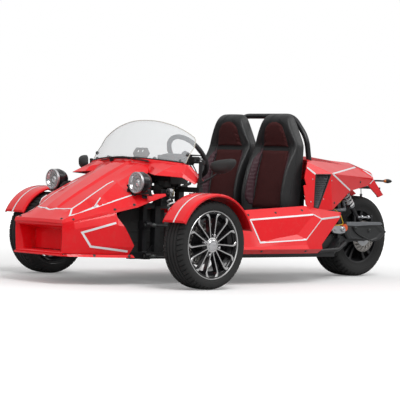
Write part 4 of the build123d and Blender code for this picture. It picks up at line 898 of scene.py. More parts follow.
@dataclass(frozen=True)
class ClearSheet(Finish):
    """Clear polycarbonate: slightly grey, with faint haze and fine scratches."""

    cover: float = 0.3

    def surface(self, net: Net) -> Value:
        """A thin see-through sheet."""
        haze = net.ramp(net.noise(4.0, 5.0), 0.3, 0.8)
        scratch = net.ramp(net.noise(60.0, 2.0, 0.5, (1.0, 14.0, 1.0)), 0.66, 0.8)
        rough = self.roughness + 0.08 * scratch
        return net.shade({"Base Color": self.colour, "Roughness": rough, "IOR": 1.45,
                          "Alpha": haze * 0.04 + self.cover + scratch * 0.03})


@dataclass(frozen=True)
class LampGlass(Finish):
    """Lamp cover: clear or coloured, with the flutes of a moulded lens."""

    cover: float = 0.3
    flutes: float = 0.0

    def surface(self, net: Net) -> Value:
        """Glossy lens."""
        cloud = net.ramp(net.noise(60.0, 3.0), 0.3, 0.8)
        height = net.noise(200.0)
        if self.flutes:
            height = height * 0.2 + abs((net.axis("Y") * self.flutes).wave())
        colour = net.mix(cloud * 0.4, self.colour, self.darker(0.7))
        return net.shade({"Base Color": colour, "Roughness": self.roughness + 0.05 * cloud, "IOR": 1.5,
                          "Coat Weight": 1.0, "Coat Roughness": 0.03, "Alpha": cloud * 0.05 + self.cover,
                          "Normal": net.bump(height, 0.3, 0.001)})


@dataclass(frozen=True)
class StudioWhite(Finish):
    """The floor: white to the camera, grey in gloss, with the object's shadow kept."""

    near: float = 1.6
    far: float = 7.0

    def surface(self, net: Net) -> Value:
        """A pale surface that reads as white further out."""
        camera, glass = (net.node("ShaderNodeLightPath", output=name)
                         for name in ("Is Camera Ray", "Is Transmission Ray"))
        seen = (camera + glass).clamped()
        reach = net.node("ShaderNodeVectorMath", {"operation": "LENGTH"}, {0: net.spot()}, "Value")
        away = net.ramp(reach, self.near, self.far)
        glow = net.mix(away, (0.16, 0.16, 0.16), (0.85, 0.85, 0.85))
        pale = net.shade({"Base Color": self.darker(0.5), "Roughness": self.roughness})
        bright = net.shade({"Base Color": self.colour, "Roughness": self.roughness, "Emission Color": glow,
                            "Emission Strength": 1.0})
        return net.node("ShaderNodeMixShader", {}, {0: seen, 1: pale, 2: bright})


RED = GlossPaint("red_gloss", (0.90, 0.005, 0.012), 0.34)
STRIPE = GlossPaint("white_tape", (0.86, 0.86, 0.88), 0.35, film=0.05)
CREAM = GlossPaint("cream_tape", (0.50, 0.42, 0.20), 0.4, film=0.2)
COAT = Moulded("black_powder_coat", (0.011, 0.0115, 0.013), 0.36, grain=700.0)
PLATE = Moulded("black_floor_plate", (0.022, 0.022, 0.022), 0.6, grain=260.0, depth=0.5)
PLASTIC = Moulded("black_plastic", (0.010, 0.010, 0.011), 0.44, grain=1200.0)
GRILLE = Moulded("grille_wire", (0.075, 0.078, 0.085), 0.42, metallic=0.5, grain=900.0)
GUARD = Moulded("grey_black_plastic", (0.021, 0.022, 0.023), 0.42, grain=1000.0)
GREY = Moulded("grey_powder_coat", (0.15, 0.158, 0.17), 0.4, grain=800.0)
GLOSS_BLACK = GlossPaint("black_gloss", (0.010, 0.010, 0.012), 0.25, film=0.05)
BOLT = CastMetal("dark_bolt", (0.075, 0.08, 0.08), 0.35, 0.6)
CAST = CastMetal("cast_alloy", (0.42, 0.43, 0.44), 0.45, 0.8)
STEEL = TurnedMetal("bright_steel", (0.62, 0.62, 0.64), 0.22, 1.0)
CHROME = TurnedMetal("chrome", (0.80, 0.80, 0.82), 0.08, 1.0)
MACHINED = TurnedMetal("machined_face", (0.78, 0.78, 0.78), 0.24, 1.0)
DISC = TurnedMetal("brake_disc", (0.42, 0.40, 0.38), 0.32, 1.0)
TYRE = Rubber("tyre_rubber", (0.020, 0.019, 0.018), 0.7, dust=0.40)
HOSE = Rubber("rubber_hose", (0.012, 0.012, 0.012), 0.55, dust=0.1)
LEATHER = Leather("black_leatherette", (0.013, 0.0135, 0.0145), 0.36)
PLEAT = Leather("pleated_maroon", (0.060, 0.016, 0.026), 0.5)
INSERT = Perforated("maroon_insert", (0.060, 0.011, 0.011), 0.66)
GRIP = Leather("grip_leather", (0.016, 0.016, 0.018), 0.5, cell=700.0)
SCREEN = ClearSheet("clear_screen", (0.22, 0.235, 0.26), 0.12, cover=0.17)
SCREEN_EDGE = ClearSheet("screen_edge", (0.70, 0.67, 0.58), 0.3, cover=0.75)
LENS = LampGlass("lamp_lens", (0.75, 0.76, 0.78), 0.04, cover=0.28)
RED_LENS = LampGlass("red_lens", (0.55, 0.01, 0.012), 0.12, cover=0.9, flutes=900.0)
AMBER_LENS = LampGlass("amber_lens", (0.70, 0.20, 0.02), 0.12, cover=0.92, flutes=900.0)
MIRROR = TurnedMetal("mirror_glass", (0.86, 0.88, 0.9), 0.02, 1.0, lines=(1.0, 1.0, 1.0))
COIL = GlossPaint("white_coil", (0.72, 0.72, 0.72), 0.35, film=0.25)
ORANGE = Moulded("orange_cap", (0.70, 0.10, 0.02), 0.4)
YELLOW = Moulded("yellow_wire", (0.75, 0.48, 0.02), 0.4)
BROWN_PLATE = Moulded("brown_grey_plate", (0.10, 0.085, 0.068), 0.5, grain=500.0)
EXHAUST = TurnedMetal("brushed_exhaust", (0.50, 0.49, 0.47), 0.3, 1.0)
FLOOR = StudioWhite("studio_floor", (0.86, 0.86, 0.86), 0.9)


@dataclass
class Bonnet:
    """The bonnet: a raised middle between two ridges, recessed sides, flanges and lamp blades."""

    wall: float = 4.0
    edge: float = 3.5
    tape: float = 10.5
    stations: tuple = (639.0, 633.0, 615.0, 594.0, 573.0, 556.0, 538.0, 518.0, 490.0, 466.0, 440.0, 425.0,
                       412.0, 388.0, 362.0, 335.0, 300.0, 260.0, 235.0)
    rear_stations: tuple = (235.0, 210.0, 187.0, 140.0, 80.0, 26.0, -6.0)
    # Lines from nose to screen on the left half, in order from the middle outwards.
    lines: dict = field(default_factory=lambda: {
        "middle": [(639, 0, 352), (633, 0, 370), (556, 0, 419), (538, 0, 436), (487, 0, 472), (388, 0, 531),
                   (187, 0, 642), (26, 0, 722), (-6, 0, 734)],
        "hump": [(639, 44, 352), (633, 44, 370), (556, 44, 420), (538, 44, 438), (487, 46, 474),
                 (388, 50, 532), (187, 58, 641), (26, 64, 719), (-6, 66, 731)],
        "foot": [(639, 58, 352), (633, 58, 370), (556, 60, 420), (538, 60, 430), (487, 63, 463),
                 (388, 70, 521), (187, 82, 630), (26, 90, 709), (-6, 92, 722)],
        "slope": [(639, 100, 352), (633, 100, 370), (556, 104, 419), (538, 106, 424), (487, 108, 457),
                  (388, 116, 516), (187, 128, 622), (26, 138, 703), (-6, 138, 716)],
        "ridge": [(639, 150, 351), (633, 150, 369), (556, 153, 413), (518, 158, 433), (466, 166, 464),
                  (420, 172, 494),
                  (369, 170, 522), (335, 166, 540), (260, 163, 578), (187, 166, 612), (80, 172, 662),
                  (26, 178, 695), (-6, 184, 708)],
        "shoulder": [(639, 219, 350), (633, 219, 368), (573, 206, 392), (518, 218, 408), (466, 236, 432),
                     (434, 250, 443), (425, 254, 463), (412, 257, 478), (362, 240, 514), (260, 211, 572),
                     (230, 206, 588), (80, 190, 656), (26, 190, 692), (-6, 190, 706)],
        "side": [(639, 219.5, 349), (633, 219.5, 367), (573, 207, 390), (434, 252, 438), (412, 262, 447),
                 (362, 286, 468), (235, 350, 519)],
        "flange": [(639, 220, 349), (633, 221, 352), (573, 244, 366), (434, 312, 411), (362, 344, 433),
                   (235, 401, 469)],
        "lip": [(639, 220, 346), (633, 222, 343), (573, 246, 354), (434, 316, 396), (362, 350, 417),
                (235, 406, 452)],
    })
    # Lines of the part behind the recess, from the shoulder outwards.
    rear_lines: dict = field(default_factory=lambda: {
        "recess": [(235, 240, 570), (187, 231, 588), (80, 240, 638), (26, 244, 664), (-6, 200, 702)],
        "under": [(235, 246, 556), (187, 238, 574), (80, 246, 624), (26, 249, 652), (-6, 203, 696)],
    })
    recess_edge: tuple = ((235, 350, 519), (214, 300, 546), (187, 231, 588))
    blade: tuple = (
        ((235, 350, 519), (235, 401, 469), (235, 406, 452)),
        ((150, 385, 526), (150, 413, 493), (150, 416, 484)),
        ((40, 420, 534), (40, 426, 524), (40, 427, 520)),
    )

    def rows(self, names: Sequence[str], stations: Sequence[float], side: Side) -> list[list[Point]]:
        """The net's rows at the stations, from the middle outwards."""
        table = {**self.lines, **self.rear_lines}
        return [flipped([along_line(table[name], x) for name in names], side) for x in stations]

    def build(self) -> None:
        """The bonnet with its tape and bolts."""
        mould = Mould("bonnet_panel")
        for side in Side:
            mould.grid(self.rows(list(self.lines), self.stations, side))
            rear = ["middle", "hump", "foot", "slope", "ridge", "shoulder", "recess", "under"]
            mould.grid(self.rows(rear, self.rear_stations, side))
            mould.grid([flipped(row, side) for row in self.blade])
            step = [along_line(self.lines["shoulder"], 235.0), along_line(self.lines["side"], 235.0)]
            corner = along_line(self.rear_lines["recess"], 187.0)
            mould.grid([flipped([step[0], step[0], along_line(self.lines["shoulder"], 210.0)], side),
                        flipped([step[1], self.recess_edge[1], corner], side)])
        made = mould.piece(RED, "chassis", "red_paint", wall=self.wall, bevel=self.edge, bevel_angle=7.0,
                           smooth=28)
        outward(made, way=(0.3, 0, 1))
        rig.replaces(made, "bonnet")
        skin = Skin(made)
        self.tapes(skin)
        self.heads(skin)

    def tapes(self, skin: Skin) -> None:
        """The white tape along the nose and the ridges, with a short spur at each side."""
        for side in Side:
            nose = [(556, 0, 419), (519, 158, 430), (571, 205, 392), (434, 249, 440), (235, 347, 519)]
            ridge = [(519, 158, 430), (466, 166, 464), (420, 172, 494), (335, 166, 540), (262, 160, 580),
                     (222, 165, 597)]
            outer = [(432, 253, 446), (412, 256, 476), (386, 248, 497)]
            way = (0.45, 0.25 * side.value, 1.0)
            lines = [flipped(line, side) for line in (nose, ridge)]
            skin.stripe(f"bonnet_tape_{side.name}", lines, self.tape, way, STRIPE, "chassis")
            spur = Mould(f"bonnet_spur_{side.name}")
            skin.seam(spur, flipped(outer, side), (0.3, 0.9 * side.value, 0.5), self.tape * 0.4, 0.5)
            spur.piece(STRIPE, "chassis", "red_paint", smooth=60)

    def heads(self, skin: Skin) -> None:
        """The bolts along the flanges and the nose's lip."""
        for side in Side:
            points = flipped([(353, 336, 430), (250, 386, 462), (570, 236, 372)], side)
            skin.bolts(f"flange_bolts_{side.name}", points, (0.3, 1.0 * side.value, 0.8), BOLT, "chassis")
            nose = flipped([(612, 192, 366)], side)
            skin.bolts(f"nose_bolt_{side.name}", nose, (0.6, 0.0, 0.8), BOLT, "chassis")


@dataclass
class NoseMask:
    """The lower nose: cheeks with raised quadrilateral fields, the duct, its sill and the splitter."""

    wall: float = 4.0
    edge: float = 3.0
    tape: float = 12.0
    # Rows from the front corner rearwards: top, brow, middle, low and skirt points.
    cheek: tuple = (
        ((633, 220, 344), (632, 219, 335), (632, 219, 290), (630, 214, 200), (628, 213, 178)),
        ((573, 247, 356), (573, 252, 342), (573, 258, 318), (573, 252, 226), (573, 243, 178)),
        ((480, 292, 382), (480, 300, 366), (480, 309, 338), (480, 302, 232), (480, 290, 178)),
        ((400, 332, 405), (400, 340, 388), (400, 356, 346), (400, 346, 228), (400, 328, 178)),
        ((353, 355, 418), (353, 364, 396), (353, 380, 346), (353, 370, 226), (353, 350, 178)),
    )
    tongue: tuple = (
        ((353, 364, 396), (353, 380, 346), (353, 370, 226), (353, 350, 178)),
        ((323, 376, 350), (318, 394, 340), (320, 384, 224), (320, 364, 178)),
        ((290, 388, 290), (288, 404, 286), (286, 396, 222), (288, 376, 178)),
        ((258, 398, 236), (256, 408, 232), (258, 404, 222), (274, 384, 178)),
    )
    duct_back: float = 503.0
    duct_half: float = 200.0
    mouth_half: float = 214.0

    def build(self) -> None:
        """All of the mask as one red piece, with tape and bolts."""
        mould = Mould("nose_panel")
        for side in Side:
            mould.grid([flipped(row, side) for row in self.cheek])
            mould.grid([flipped(row, side) for row in self.tongue])
            self.wing(mould, side)
            self.pillar(mould, side)
        self.duct(mould)
        self.sill(mould)
        made = mould.piece(RED, "chassis", "red_paint", wall=self.wall, bevel=self.edge, bevel_angle=9.0,
                           smooth=28)
        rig.replaces(made, "nose_mask")
        self.trims(made)

    def wing(self, mould: Mould, side: Side) -> None:
        """The splitter's wing under a cheek."""
        outline = [(636, 226, 172), (610, 236, 176), (480, 306, 178), (353, 362, 178), (262, 400, 180)]
        outer = [(638, 218, 165), (612, 246, 163), (480, 318, 162), (353, 378, 162), (246, 407, 162)]
        inner = [(600, 190, 163), (590, 200, 163), (480, 260, 163), (353, 320, 163), (246, 340, 163)]
        mould.grid([flipped(outline, side), flipped(outer, side), flipped(inner, side)])

    def pillar(self, mould: Mould, side: Side) -> None:
        """The slanted pillar beside the duct's mouth."""
        mouth = self.mouth_half
        front = [(632, mouth, 336), (631, mouth, 250), (629, mouth - 2, 178)]
        mid = [(618, mouth - 12, 330), (608, mouth - 34, 250), (604, mouth - 44, 186)]
        back = [(560, self.duct_half - 8, 318), (556, self.duct_half - 30, 250),
                (552, self.duct_half - 40, 192)]
        mould.grid([flipped(front, side), flipped(mid, side), flipped(back, side)])

    def duct(self, mould: Mould) -> None:
        """The duct's roof, back and the brow above the mouth."""
        half = self.mouth_half
        brow = [(639, 350), (633, 344), (630, 334), (612, 326), (560, 318), (self.duct_back, 306)]
        rows = []
        for x, z in brow:
            reach = half + 4 if x > 628 else blend(self.duct_half - 8, half, max(0.0, (x - 560) / 70))
            rows.append([(x, reach * share, z) for share in (-1.0, -0.5, 0.0, 0.5, 1.0)])
        low = [(self.duct_back + 2, 250), (self.duct_back + 6, 192)]
        for x, z in low:
            rows.append([(x + abs(share) * 10, 176 * share, z) for share in (-1.0, -0.5, 0.0, 0.5, 1.0)])
        mould.grid(rows)
        for side in Side:
            wall = [[(560, 192, 318), (self.duct_back, 192, 306)],
                    [(556, 170, 250), (self.duct_back + 12, 176, 250)],
                    [(552, 160, 192), (self.duct_back + 16, 176, 192)]]
            mould.grid([flipped(row, side) for row in wall])

    def sill(self, mould: Mould) -> None:
        """The duct's floor, its bright lip and the front of the splitter."""
        profile = [(self.duct_back + 10, 190), (600, 192), (622, 188), (630, 180), (626, 174), (636, 172),
                   (639, 166), (634, 162), (560, 162)]
        rows = []
        for x, z in profile:
            half = 214 if x > 615 else 180
            rows.append([(x, half * share, z) for share in (-1.0, -0.6, 0.0, 0.6, 1.0)])
        mould.grid(rows)

    def trims(self, made: bpy.types.Object) -> None:
        """Tape round each cheek's field and the splitter's bolts."""
        skin = Skin(made)
        for side in Side:
            line = flipped([(362, 367, 360), (533, 273, 300), (484, 292, 222), (262, 396, 195)], side)
            way = (0.45, 1.0 * side.value, 0.1)
            skin.stripe(f"nose_tape_{side.name}", [line], self.tape, way, STRIPE, "chassis")
            heads = flipped([(280, 396, 172), (470, 312, 170)], side)
            skin.bolts(f"splitter_bolts_{side.name}", heads, (0.4, 1.0 * side.value, 0.6), BOLT, "chassis")


@dataclass
class Cowl:
    """The scuttle under the screen with a pointed wing at each side."""

    wall: float = 4.0
    edge: float = 3.0
    # Rows side by side: front edge, fold, crest, rear slope and rear edge.
    rows: tuple = (
        ((-8, 0, 733), (-18, 0, 736), (-30, 0, 737), (-58, 0, 735), (-81, 0, 733)),
        ((-8, 190, 706), (-20, 190, 712), (-28, 190, 717), (-58, 190, 721), (-83, 190, 721)),
        ((24, 250, 652), (4, 250, 690), (-36, 250, 722), (-64, 250, 722), (-92, 250, 721)),
        ((58, 300, 648), (20, 300, 680), (-52, 300, 721), (-78, 300, 720), (-106, 300, 718)),
        ((92, 380, 640), (26, 380, 668), (-82, 380, 712), (-106, 380, 712), (-128, 380, 704)),
        ((-74, 432, 630), (-88, 432, 656), (-102, 432, 706), (-124, 432, 704), (-150, 432, 690)),
        ((-130, 484, 592), (-144, 484, 600), (-172, 484, 612), (-186, 484, 616), (-197, 484, 618)),
    )
    wing_rear: tuple = (
        ((-128, 380, 704), (-150, 432, 690), (-197, 484, 618)),
        ((-152, 384, 676), (-172, 434, 656), (-199, 484, 612)),
    )

    def build(self) -> None:
        """The cowl as one panel."""
        mould = Mould("cowl_panel")
        for side in Side:
            mould.grid([flipped(row, side) for row in self.rows])
            mould.grid([flipped(row, side) for row in self.wing_rear])
        made = mould.piece(RED, "chassis", "red_paint", wall=self.wall, bevel=self.edge, bevel_angle=8.0,
                           smooth=28)
        outward(made, way=(0.4, 0, 1))
        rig.replaces(made, "cowl")
        skin = Skin(made)
        for side in Side:
            heads = flipped([(-60, 268, 722), (-84, 352, 714)], side)
            skin.bolts(f"cowl_bolts_{side.name}", heads, (0.2, 0.0, 1.0), BOLT, "chassis", radius=6.0)


@dataclass
class Fender:
    """A front fender: an arch with rolled side lips, tape along its crown and stay bolts."""

    radius: float = 293.0
    axle_z: float = 255.0
    start_angle: float = 25.5
    end_angle: float = 163.5
    wall: float = 3.5
    tape: float = 11.0
    steps: int = 40
    # Across the fender: y and how far inside the largest radius.
    profile: tuple = ((641.5, 18.0), (641.5, 9.0), (650, 2.5), (664, 0.4), (736, 0.0), (806, 0.4), (822, 2.5),
                      (830.5, 9.0), (830.5, 19.0))

    def at(self, degrees: float, y: float, drop: float, side: Side) -> Point:
        """A point of the arch."""
        turn = math.radians(degrees)
        reach = self.radius - drop
        return (reach * math.cos(turn), y * side.value, self.axle_z + reach * math.sin(turn))

    def build(self) -> None:
        """Both fenders."""
        for side in Side:
            mould = Mould(f"fender_arch_{side.name}")
            rows = []
            for step in range(self.steps + 1):
                degrees = blend(self.start_angle, self.end_angle, step / self.steps)
                rows.append([self.at(degrees, y, drop, side) for y, drop in self.profile])
            mould.grid(rows)
            body = f"knuckle_{side.name}"
            made = mould.piece(RED, body, "red_paint", wall=self.wall, bevel=0.0, smooth=45)
            outward(made, centre=(0, 736 * side.value, self.axle_z))
            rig.replaces(made, f"fender_{side.name}")
            self.line(body, side)
            self.bolts(body, side)

    def line(self, body: str, side: Side) -> None:
        """The thin tape along the crown, bent outwards at its upper end."""
        tape = Mould(f"fender_tape_{side.name}")
        half = self.tape / 2
        rows = []
        for step in range(29):
            degrees = blend(self.start_angle, 92.0, step / 28)
            y = 744.0 if degrees < 80.0 else blend(744.0, 766.0, (degrees - 80.0) / 12.0)
            rows.append([self.at(degrees, y + shift, -0.5, side) for shift in (-half, 0.0, half)])
        tape.grid(rows)
        made = tape.piece(STRIPE, body, "red_paint")
        outward(made, centre=(0, 736 * side.value, self.axle_z))

    def bolts(self, body: str, side: Side) -> None:
        """Four stay bolts on the crown's inner edge."""
        heads = Mould(f"fender_bolts_{side.name}")
        for degrees in (84.0, 96.0):
            for y in (656.0, 690.0):
                at = self.at(degrees, y, 0.0, side)
                turn = math.radians(degrees)
                heads.bolt(at, (math.cos(turn), 0, math.sin(turn)), 5.5)
        heads.piece(BOLT, body, "frame_black", smooth=40)


@dataclass
class SidePanel:
    """A side panel: top flange, recessed field inside white tape, sill ledge and slanted rear."""

    wall: float = 4.0
    edge: float = 3.0
    tape: float = 11.0
    # Named corners on the left side.
    corners: dict = field(default_factory=lambda: {
        "lip0": (-391, 472, 424), "lip1": (-1075, 472, 464), "lip2": (-1196, 462, 448),
        "lip3": (-1430, 452, 428),
        "top0": (-391, 478, 437), "top1": (-1075, 478, 479), "top2": (-1196, 470, 463),
        "top3": (-1431, 454, 441),
        "fold0": (-391, 530, 381), "field1": (-548, 532, 391), "field2": (-1096, 532, 427),
        "field3": (-1176, 529, 400),
        "notch": (-1431, 456, 413), "field4": (-999, 570, 275), "field5": (-599, 572, 257),
        "deep1": (-950, 538, 303), "deep2": (-770, 560, 284),
        "crease0": (-391, 581, 229), "crease1": (-599, 582, 232), "crease2": (-1000, 580, 241),
        "crease3": (-1147, 564, 243),
        "ledge0": (-391, 599, 216), "ledge1": (-1000, 598, 216), "ledge2": (-1163, 556, 215),
        "sill0": (-391, 568, 188), "sill1": (-1000, 566, 188), "sill2": (-1129, 546, 188),
        "foot0": (-391, 518, 188), "foot1": (-1000, 518, 188), "foot2": (-1129, 516, 188),
    })
    facets: tuple = (
        ("lip0", "lip1", "top1", "top0"), ("lip1", "lip2", "top2", "top1"), ("lip2", "lip3", "top3", "top2"),
        ("top0", "top1", "field2", "field1", "fold0"), ("top1", "top2", "field3", "field2"),
        ("top2", "top3", "notch", "field3"), ("fold0", "field1", "field5", "crease1", "crease0"),
        ("field5", "field4", "crease2", "crease1"), ("field3", "notch", "crease3", "crease2", "field4"),
        ("field1", "field2", "deep1", "deep2", "field5"), ("field2", "field3", "field4", "deep1"),
        ("deep2", "deep1", "field4", "field5"), ("crease0", "crease1", "crease2", "ledge1", "ledge0"),
        ("crease2", "crease3", "ledge2", "ledge1"), ("ledge0", "ledge1", "sill1", "sill0"),
        ("ledge1", "ledge2", "sill2", "sill1"), ("sill0", "sill1", "foot1", "foot0"),
        ("sill1", "sill2", "foot2", "foot1"),
    )
    heads_top: tuple = ((-556, 505, 419), (-790, 505, 437), (-1022, 505, 455))
    heads_low: tuple = ((-597, 585, 205), (-981, 585, 204))

    def build(self) -> None:
        """Both side panels with tape and bolts."""
        for side in Side:
            mould = Mould(f"side_skin_{side.name}")
            for names in self.facets:
                mould.plate(flipped([self.corners[name] for name in names], side))
            made = mould.piece(RED, "chassis", "red_paint", wall=self.wall, bevel=self.edge, bevel_angle=6.0,
                               smooth=28)
            outward(made, way=(0, side.value, 0.3))
            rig.replaces(made, f"side_panel_{side.name}")
            self.trims(made, side)

    def trims(self, made: bpy.types.Object, side: Side) -> None:
        """Tape round the field and the bolts."""
        skin = Skin(made)
        way = (0.0, 1.0 * side.value, 0.25)
        loop = [self.corners[name] for name in ("field1", "field2", "field3", "field4", "field5", "field1")]
        tail = [self.corners["field3"], (-1425, 457, 414)]
        lines = [flipped(loop, side), flipped(tail, side)]
        skin.stripe(f"side_tape_{side.name}", lines, self.tape, way, STRIPE, "chassis")
        high = flipped(self.heads_top, side)
        skin.bolts(f"side_bolts_{side.name}", high, (0, 0.6 * side.value, 1.0), BOLT, "chassis")
        low = flipped(self.heads_low, side)
        skin.bolts(f"sill_bolts_{side.name}", low, (0, 1.0 * side.value, -0.6), BOLT, "chassis")


@dataclass
class TailBody:
    """The tail: a broad spine, folded flanks round the rear wheel, mesh vents, lamp and two fangs."""

    wall: float = 4.0
    edge: float = 3.0
    tape: float = 11.0
    mesh_pitch: float = 13.0
    mesh_wire: float = 1.7
    corners: dict = field(default_factory=lambda: {
        "mid0": (-1174, 0, 788), "mid1": (-1480, 0, 792), "mid2": (-1698, 0, 776), "mid3": (-1885, 0, 768),
        "mid4": (-2052, 0, 722), "mid5": (-2084, 0, 712),
        "spine0": (-1174, 110, 787), "spine1": (-1480, 104, 791), "spine2": (-1698, 100, 771),
        "spine3": (-1885, 92, 763), "spine4": (-2052, 84, 716), "spine5": (-2084, 80, 706),
        "ridge0": (-1174, 386, 766), "ridge1": (-1300, 344, 762), "ridge2": (-1480, 274, 757),
        "ridge3": (-1780, 182, 739), "ridge4": (-1891, 152, 734), "ridge5": (-2060, 132, 706),
        "ridge6": (-2084, 128, 694),
        "wing0": (-1138, 424, 753), "apex": (-1346, 450, 684), "end": (-2078, 150, 663),
        "wing1": (-1116, 440, 720), "vent_tl": (-1192, 450, 675), "vent_tr": (-1328, 451, 678),
        "vent_bl": (-1182, 454, 468), "vent_br": (-1222, 454, 466),
        "front1": (-1094, 446, 653), "front2": (-1112, 448, 609), "front3": (-1085, 449, 604),
        "front4": (-1108, 453, 486), "front5": (-1150, 454, 454),
        "low1": (-1226, 454, 453), "low2": (-1366, 442, 455), "low3": (-1404, 422, 466),
        "arch1": (-1688, 300, 577), "arch2": (-1924, 202, 604), "heel": (-2030, 150, 615),
        "tip1": (-2212, 128, 553), "tip2": (-2166, 128, 535),
    })
    facets: tuple = (
        ("mid0", "mid1", "spine1", "spine0"), ("mid1", "mid2", "spine2", "spine1"),
        ("mid2", "mid3", "spine3", "spine2"),
        ("mid3", "mid4", "spine4", "spine3"), ("mid4", "mid5", "spine5", "spine4"),
        ("spine0", "spine1", "ridge2", "ridge1", "ridge0"), ("spine1", "spine2", "ridge3", "ridge2"),
        ("spine2", "spine3", "ridge4", "ridge3"), ("spine3", "spine4", "ridge5", "ridge4"),
        ("spine4", "spine5", "ridge6", "ridge5"),
        ("ridge0", "ridge1", "apex", "wing0"), ("ridge1", "ridge2", "apex"),
        ("ridge2", "ridge3", "ridge4", "apex"),
        ("apex", "ridge4", "end"), ("ridge4", "ridge5", "end"), ("ridge5", "ridge6", "end"),
        ("apex", "end", "heel", "arch2", "arch1"), ("apex", "arch1", "low3"),
        ("vent_tr", "apex", "low3", "low2"),
        ("vent_tr", "low2", "low1", "vent_br"), ("wing0", "apex", "vent_tr", "vent_tl", "wing1"),
        ("wing1", "vent_tl", "vent_bl", "front5", "front4", "front3", "front2", "front1"),
        ("vent_bl", "vent_br", "low1", "front5"),
    )
    arch_lip: float = 14.0

    def build(self) -> None:
        """The tail with its vents, tape, bolts, fangs and lamp."""
        mould = Mould("tail_skin")
        for side in Side:
            for names in self.facets:
                mould.plate(flipped([self.corners[name] for name in names], side))
            self.lips(mould, side)
        made = mould.piece(RED, "chassis", "red_paint", wall=self.wall, bevel=self.edge, bevel_angle=6.0,
                           smooth=28)
        outward(made, centre=(-1600, 0, 500))
        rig.replaces(made, "tail_cowl")
        self.trims(made)
        for side in Side:
            self.fang(side)
            self.vent(side)
        self.lamp()

    def lips(self, mould: Mould, side: Side) -> None:
        """The inward turned edges along the arch and the rear end."""
        names = ("low1", "low2", "low3", "arch1", "arch2", "heel")
        outer = flipped([self.corners[name] for name in names], side)
        inner = [(x, y - side.value * self.arch_lip, z + 1.0) for x, y, z in outer]
        mould.grid([outer, inner])
        rear = ("spine5", "ridge6", "end", "heel")
        edge = flipped([self.corners["mid5"]] + [self.corners[name] for name in rear], side)
        back = [(x + 16.0, y * 0.9, z - 4.0) for x, y, z in edge]
        mould.grid([edge, back])

    def trims(self, made: bpy.types.Object) -> None:
        """Tape, bolts and rivets."""
        skin = Skin(made)
        spot = self.corners
        for side in Side:
            way = (0.05, 1.0 * side.value, 0.45)
            fold = flipped([spot["ridge4"], spot["apex"], spot["arch1"]], side)
            start = flipped([(-1120, 439, 717), (-1190, 449, 678)], side)
            end = flipped([(-1965, 146, 727), (-2066, 141, 682), (-2076, 150, 662), (-2031, 150, 618)], side)
            skin.stripe(f"tail_tape_{side.name}", [fold, start, end], self.tape, way, STRIPE, "chassis")
            heads = flipped([(-1846, 240, 636), (-1400, 426, 500)], side)
            skin.bolts(f"tail_bolts_{side.name}", heads, (0, 1.0 * side.value, 0), BOLT, "chassis")
            rivets = flipped([(-1341, 452, 640), (-1166, 452, 645), (-1268, 454, 523), (-1153, 454, 504)],
                             side)
            skin.bolts(f"tail_rivets_{side.name}", rivets, (0, 1.0 * side.value, 0), STEEL, "chassis",
                       radius=3.5)

    def fang(self, side: Side) -> None:
        """The blade that hangs from the tail's rear corner."""
        spot = self.corners
        outline = [spot["end"], spot["tip1"], spot["tip2"], spot["heel"]]
        rows = []
        for reach, shrink in ((0.0, 0.0), (-9.0, 0.0), (-13.0, 0.12)):
            middle = [sum(values) / 4 for values in zip(*outline)]
            row = [tuple(blend(a, b, shrink) for a, b in zip(point, middle)) for point in outline]
            rows.append([(x, y + reach, z) for x, y, z in row])
        mould = Mould(f"tail_fang_{side.name}")
        net = mould.grid([flipped(row, side) for row in rows], close_rows=True)
        mould.face(net[0])
        mould.face(net[-1])
        made = mould.piece(RED, "chassis", "red_paint", bevel=2.5, smooth=28)
        skin = Skin(made)
        line = flipped([(-2084, 149, 656), (-2036, 149, 617)], side)
        skin.stripe(f"fang_tape_{side.name}", [line], self.tape * 0.6, (0, 1.0 * side.value, 0), STRIPE,
                    "chassis")

    def vent(self, side: Side) -> None:
        """The wire mesh behind the opening, with its rim, and a black plate behind the mesh as painted shade."""
        spot = self.corners
        ring = [spot[name] for name in ("vent_tl", "vent_tr", "vent_br", "vent_bl")]
        rim = Mould(f"vent_rim_{side.name}")
        outline = flipped([(x, y - 1.5, z) for x, y, z in ring + ring[:1]], side)
        for first, second in zip(outline, outline[1:]):
            rim.tube([first, second], 4.2, sides=8)
        made = rim.piece(PLASTIC, "chassis", "black_plastic", smooth=50)
        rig.slot(made, "black_plastic")
        top_left, top_right, low_right, low_left = (Vector(point) for point in ring)
        wires = Mould(f"vent_mesh_{side.name}")
        inset = Vector((0, -7.0, 0))
        count = int((top_left - low_left).length / self.mesh_pitch)
        for step in range(1, count):
            share = step / count
            start = low_left.lerp(top_left, share) + inset
            end = low_right.lerp(top_right, share) + inset
            wires.tube(flipped([start, end], side), self.mesh_wire, sides=4)
        for step in range(1, 10):
            share = step / 10
            start = low_left.lerp(low_right, share) + inset
            end = top_left.lerp(top_right, share) + inset
            wires.tube(flipped([start, end], side), self.mesh_wire, sides=4)
        wires.piece(GRILLE, "chassis", "black_plastic")
        # A black plate behind the mesh: painted shade for the dark inside of the tail, seen through the vent.
        back = Mould(f"vent_backing_{side.name}")
        grow = ((8, 10), (-52, 10), (-52, -8), (8, -8))
        corners = flipped([(x + along, y - 24.0, z + up) for (x, y, z), (along, up) in zip(ring, grow)], side)
        back.prism(corners, (0, -3.0 * side.value, 0))
        back.piece(PLASTIC, "chassis", "black_plastic", bevel=1.0)

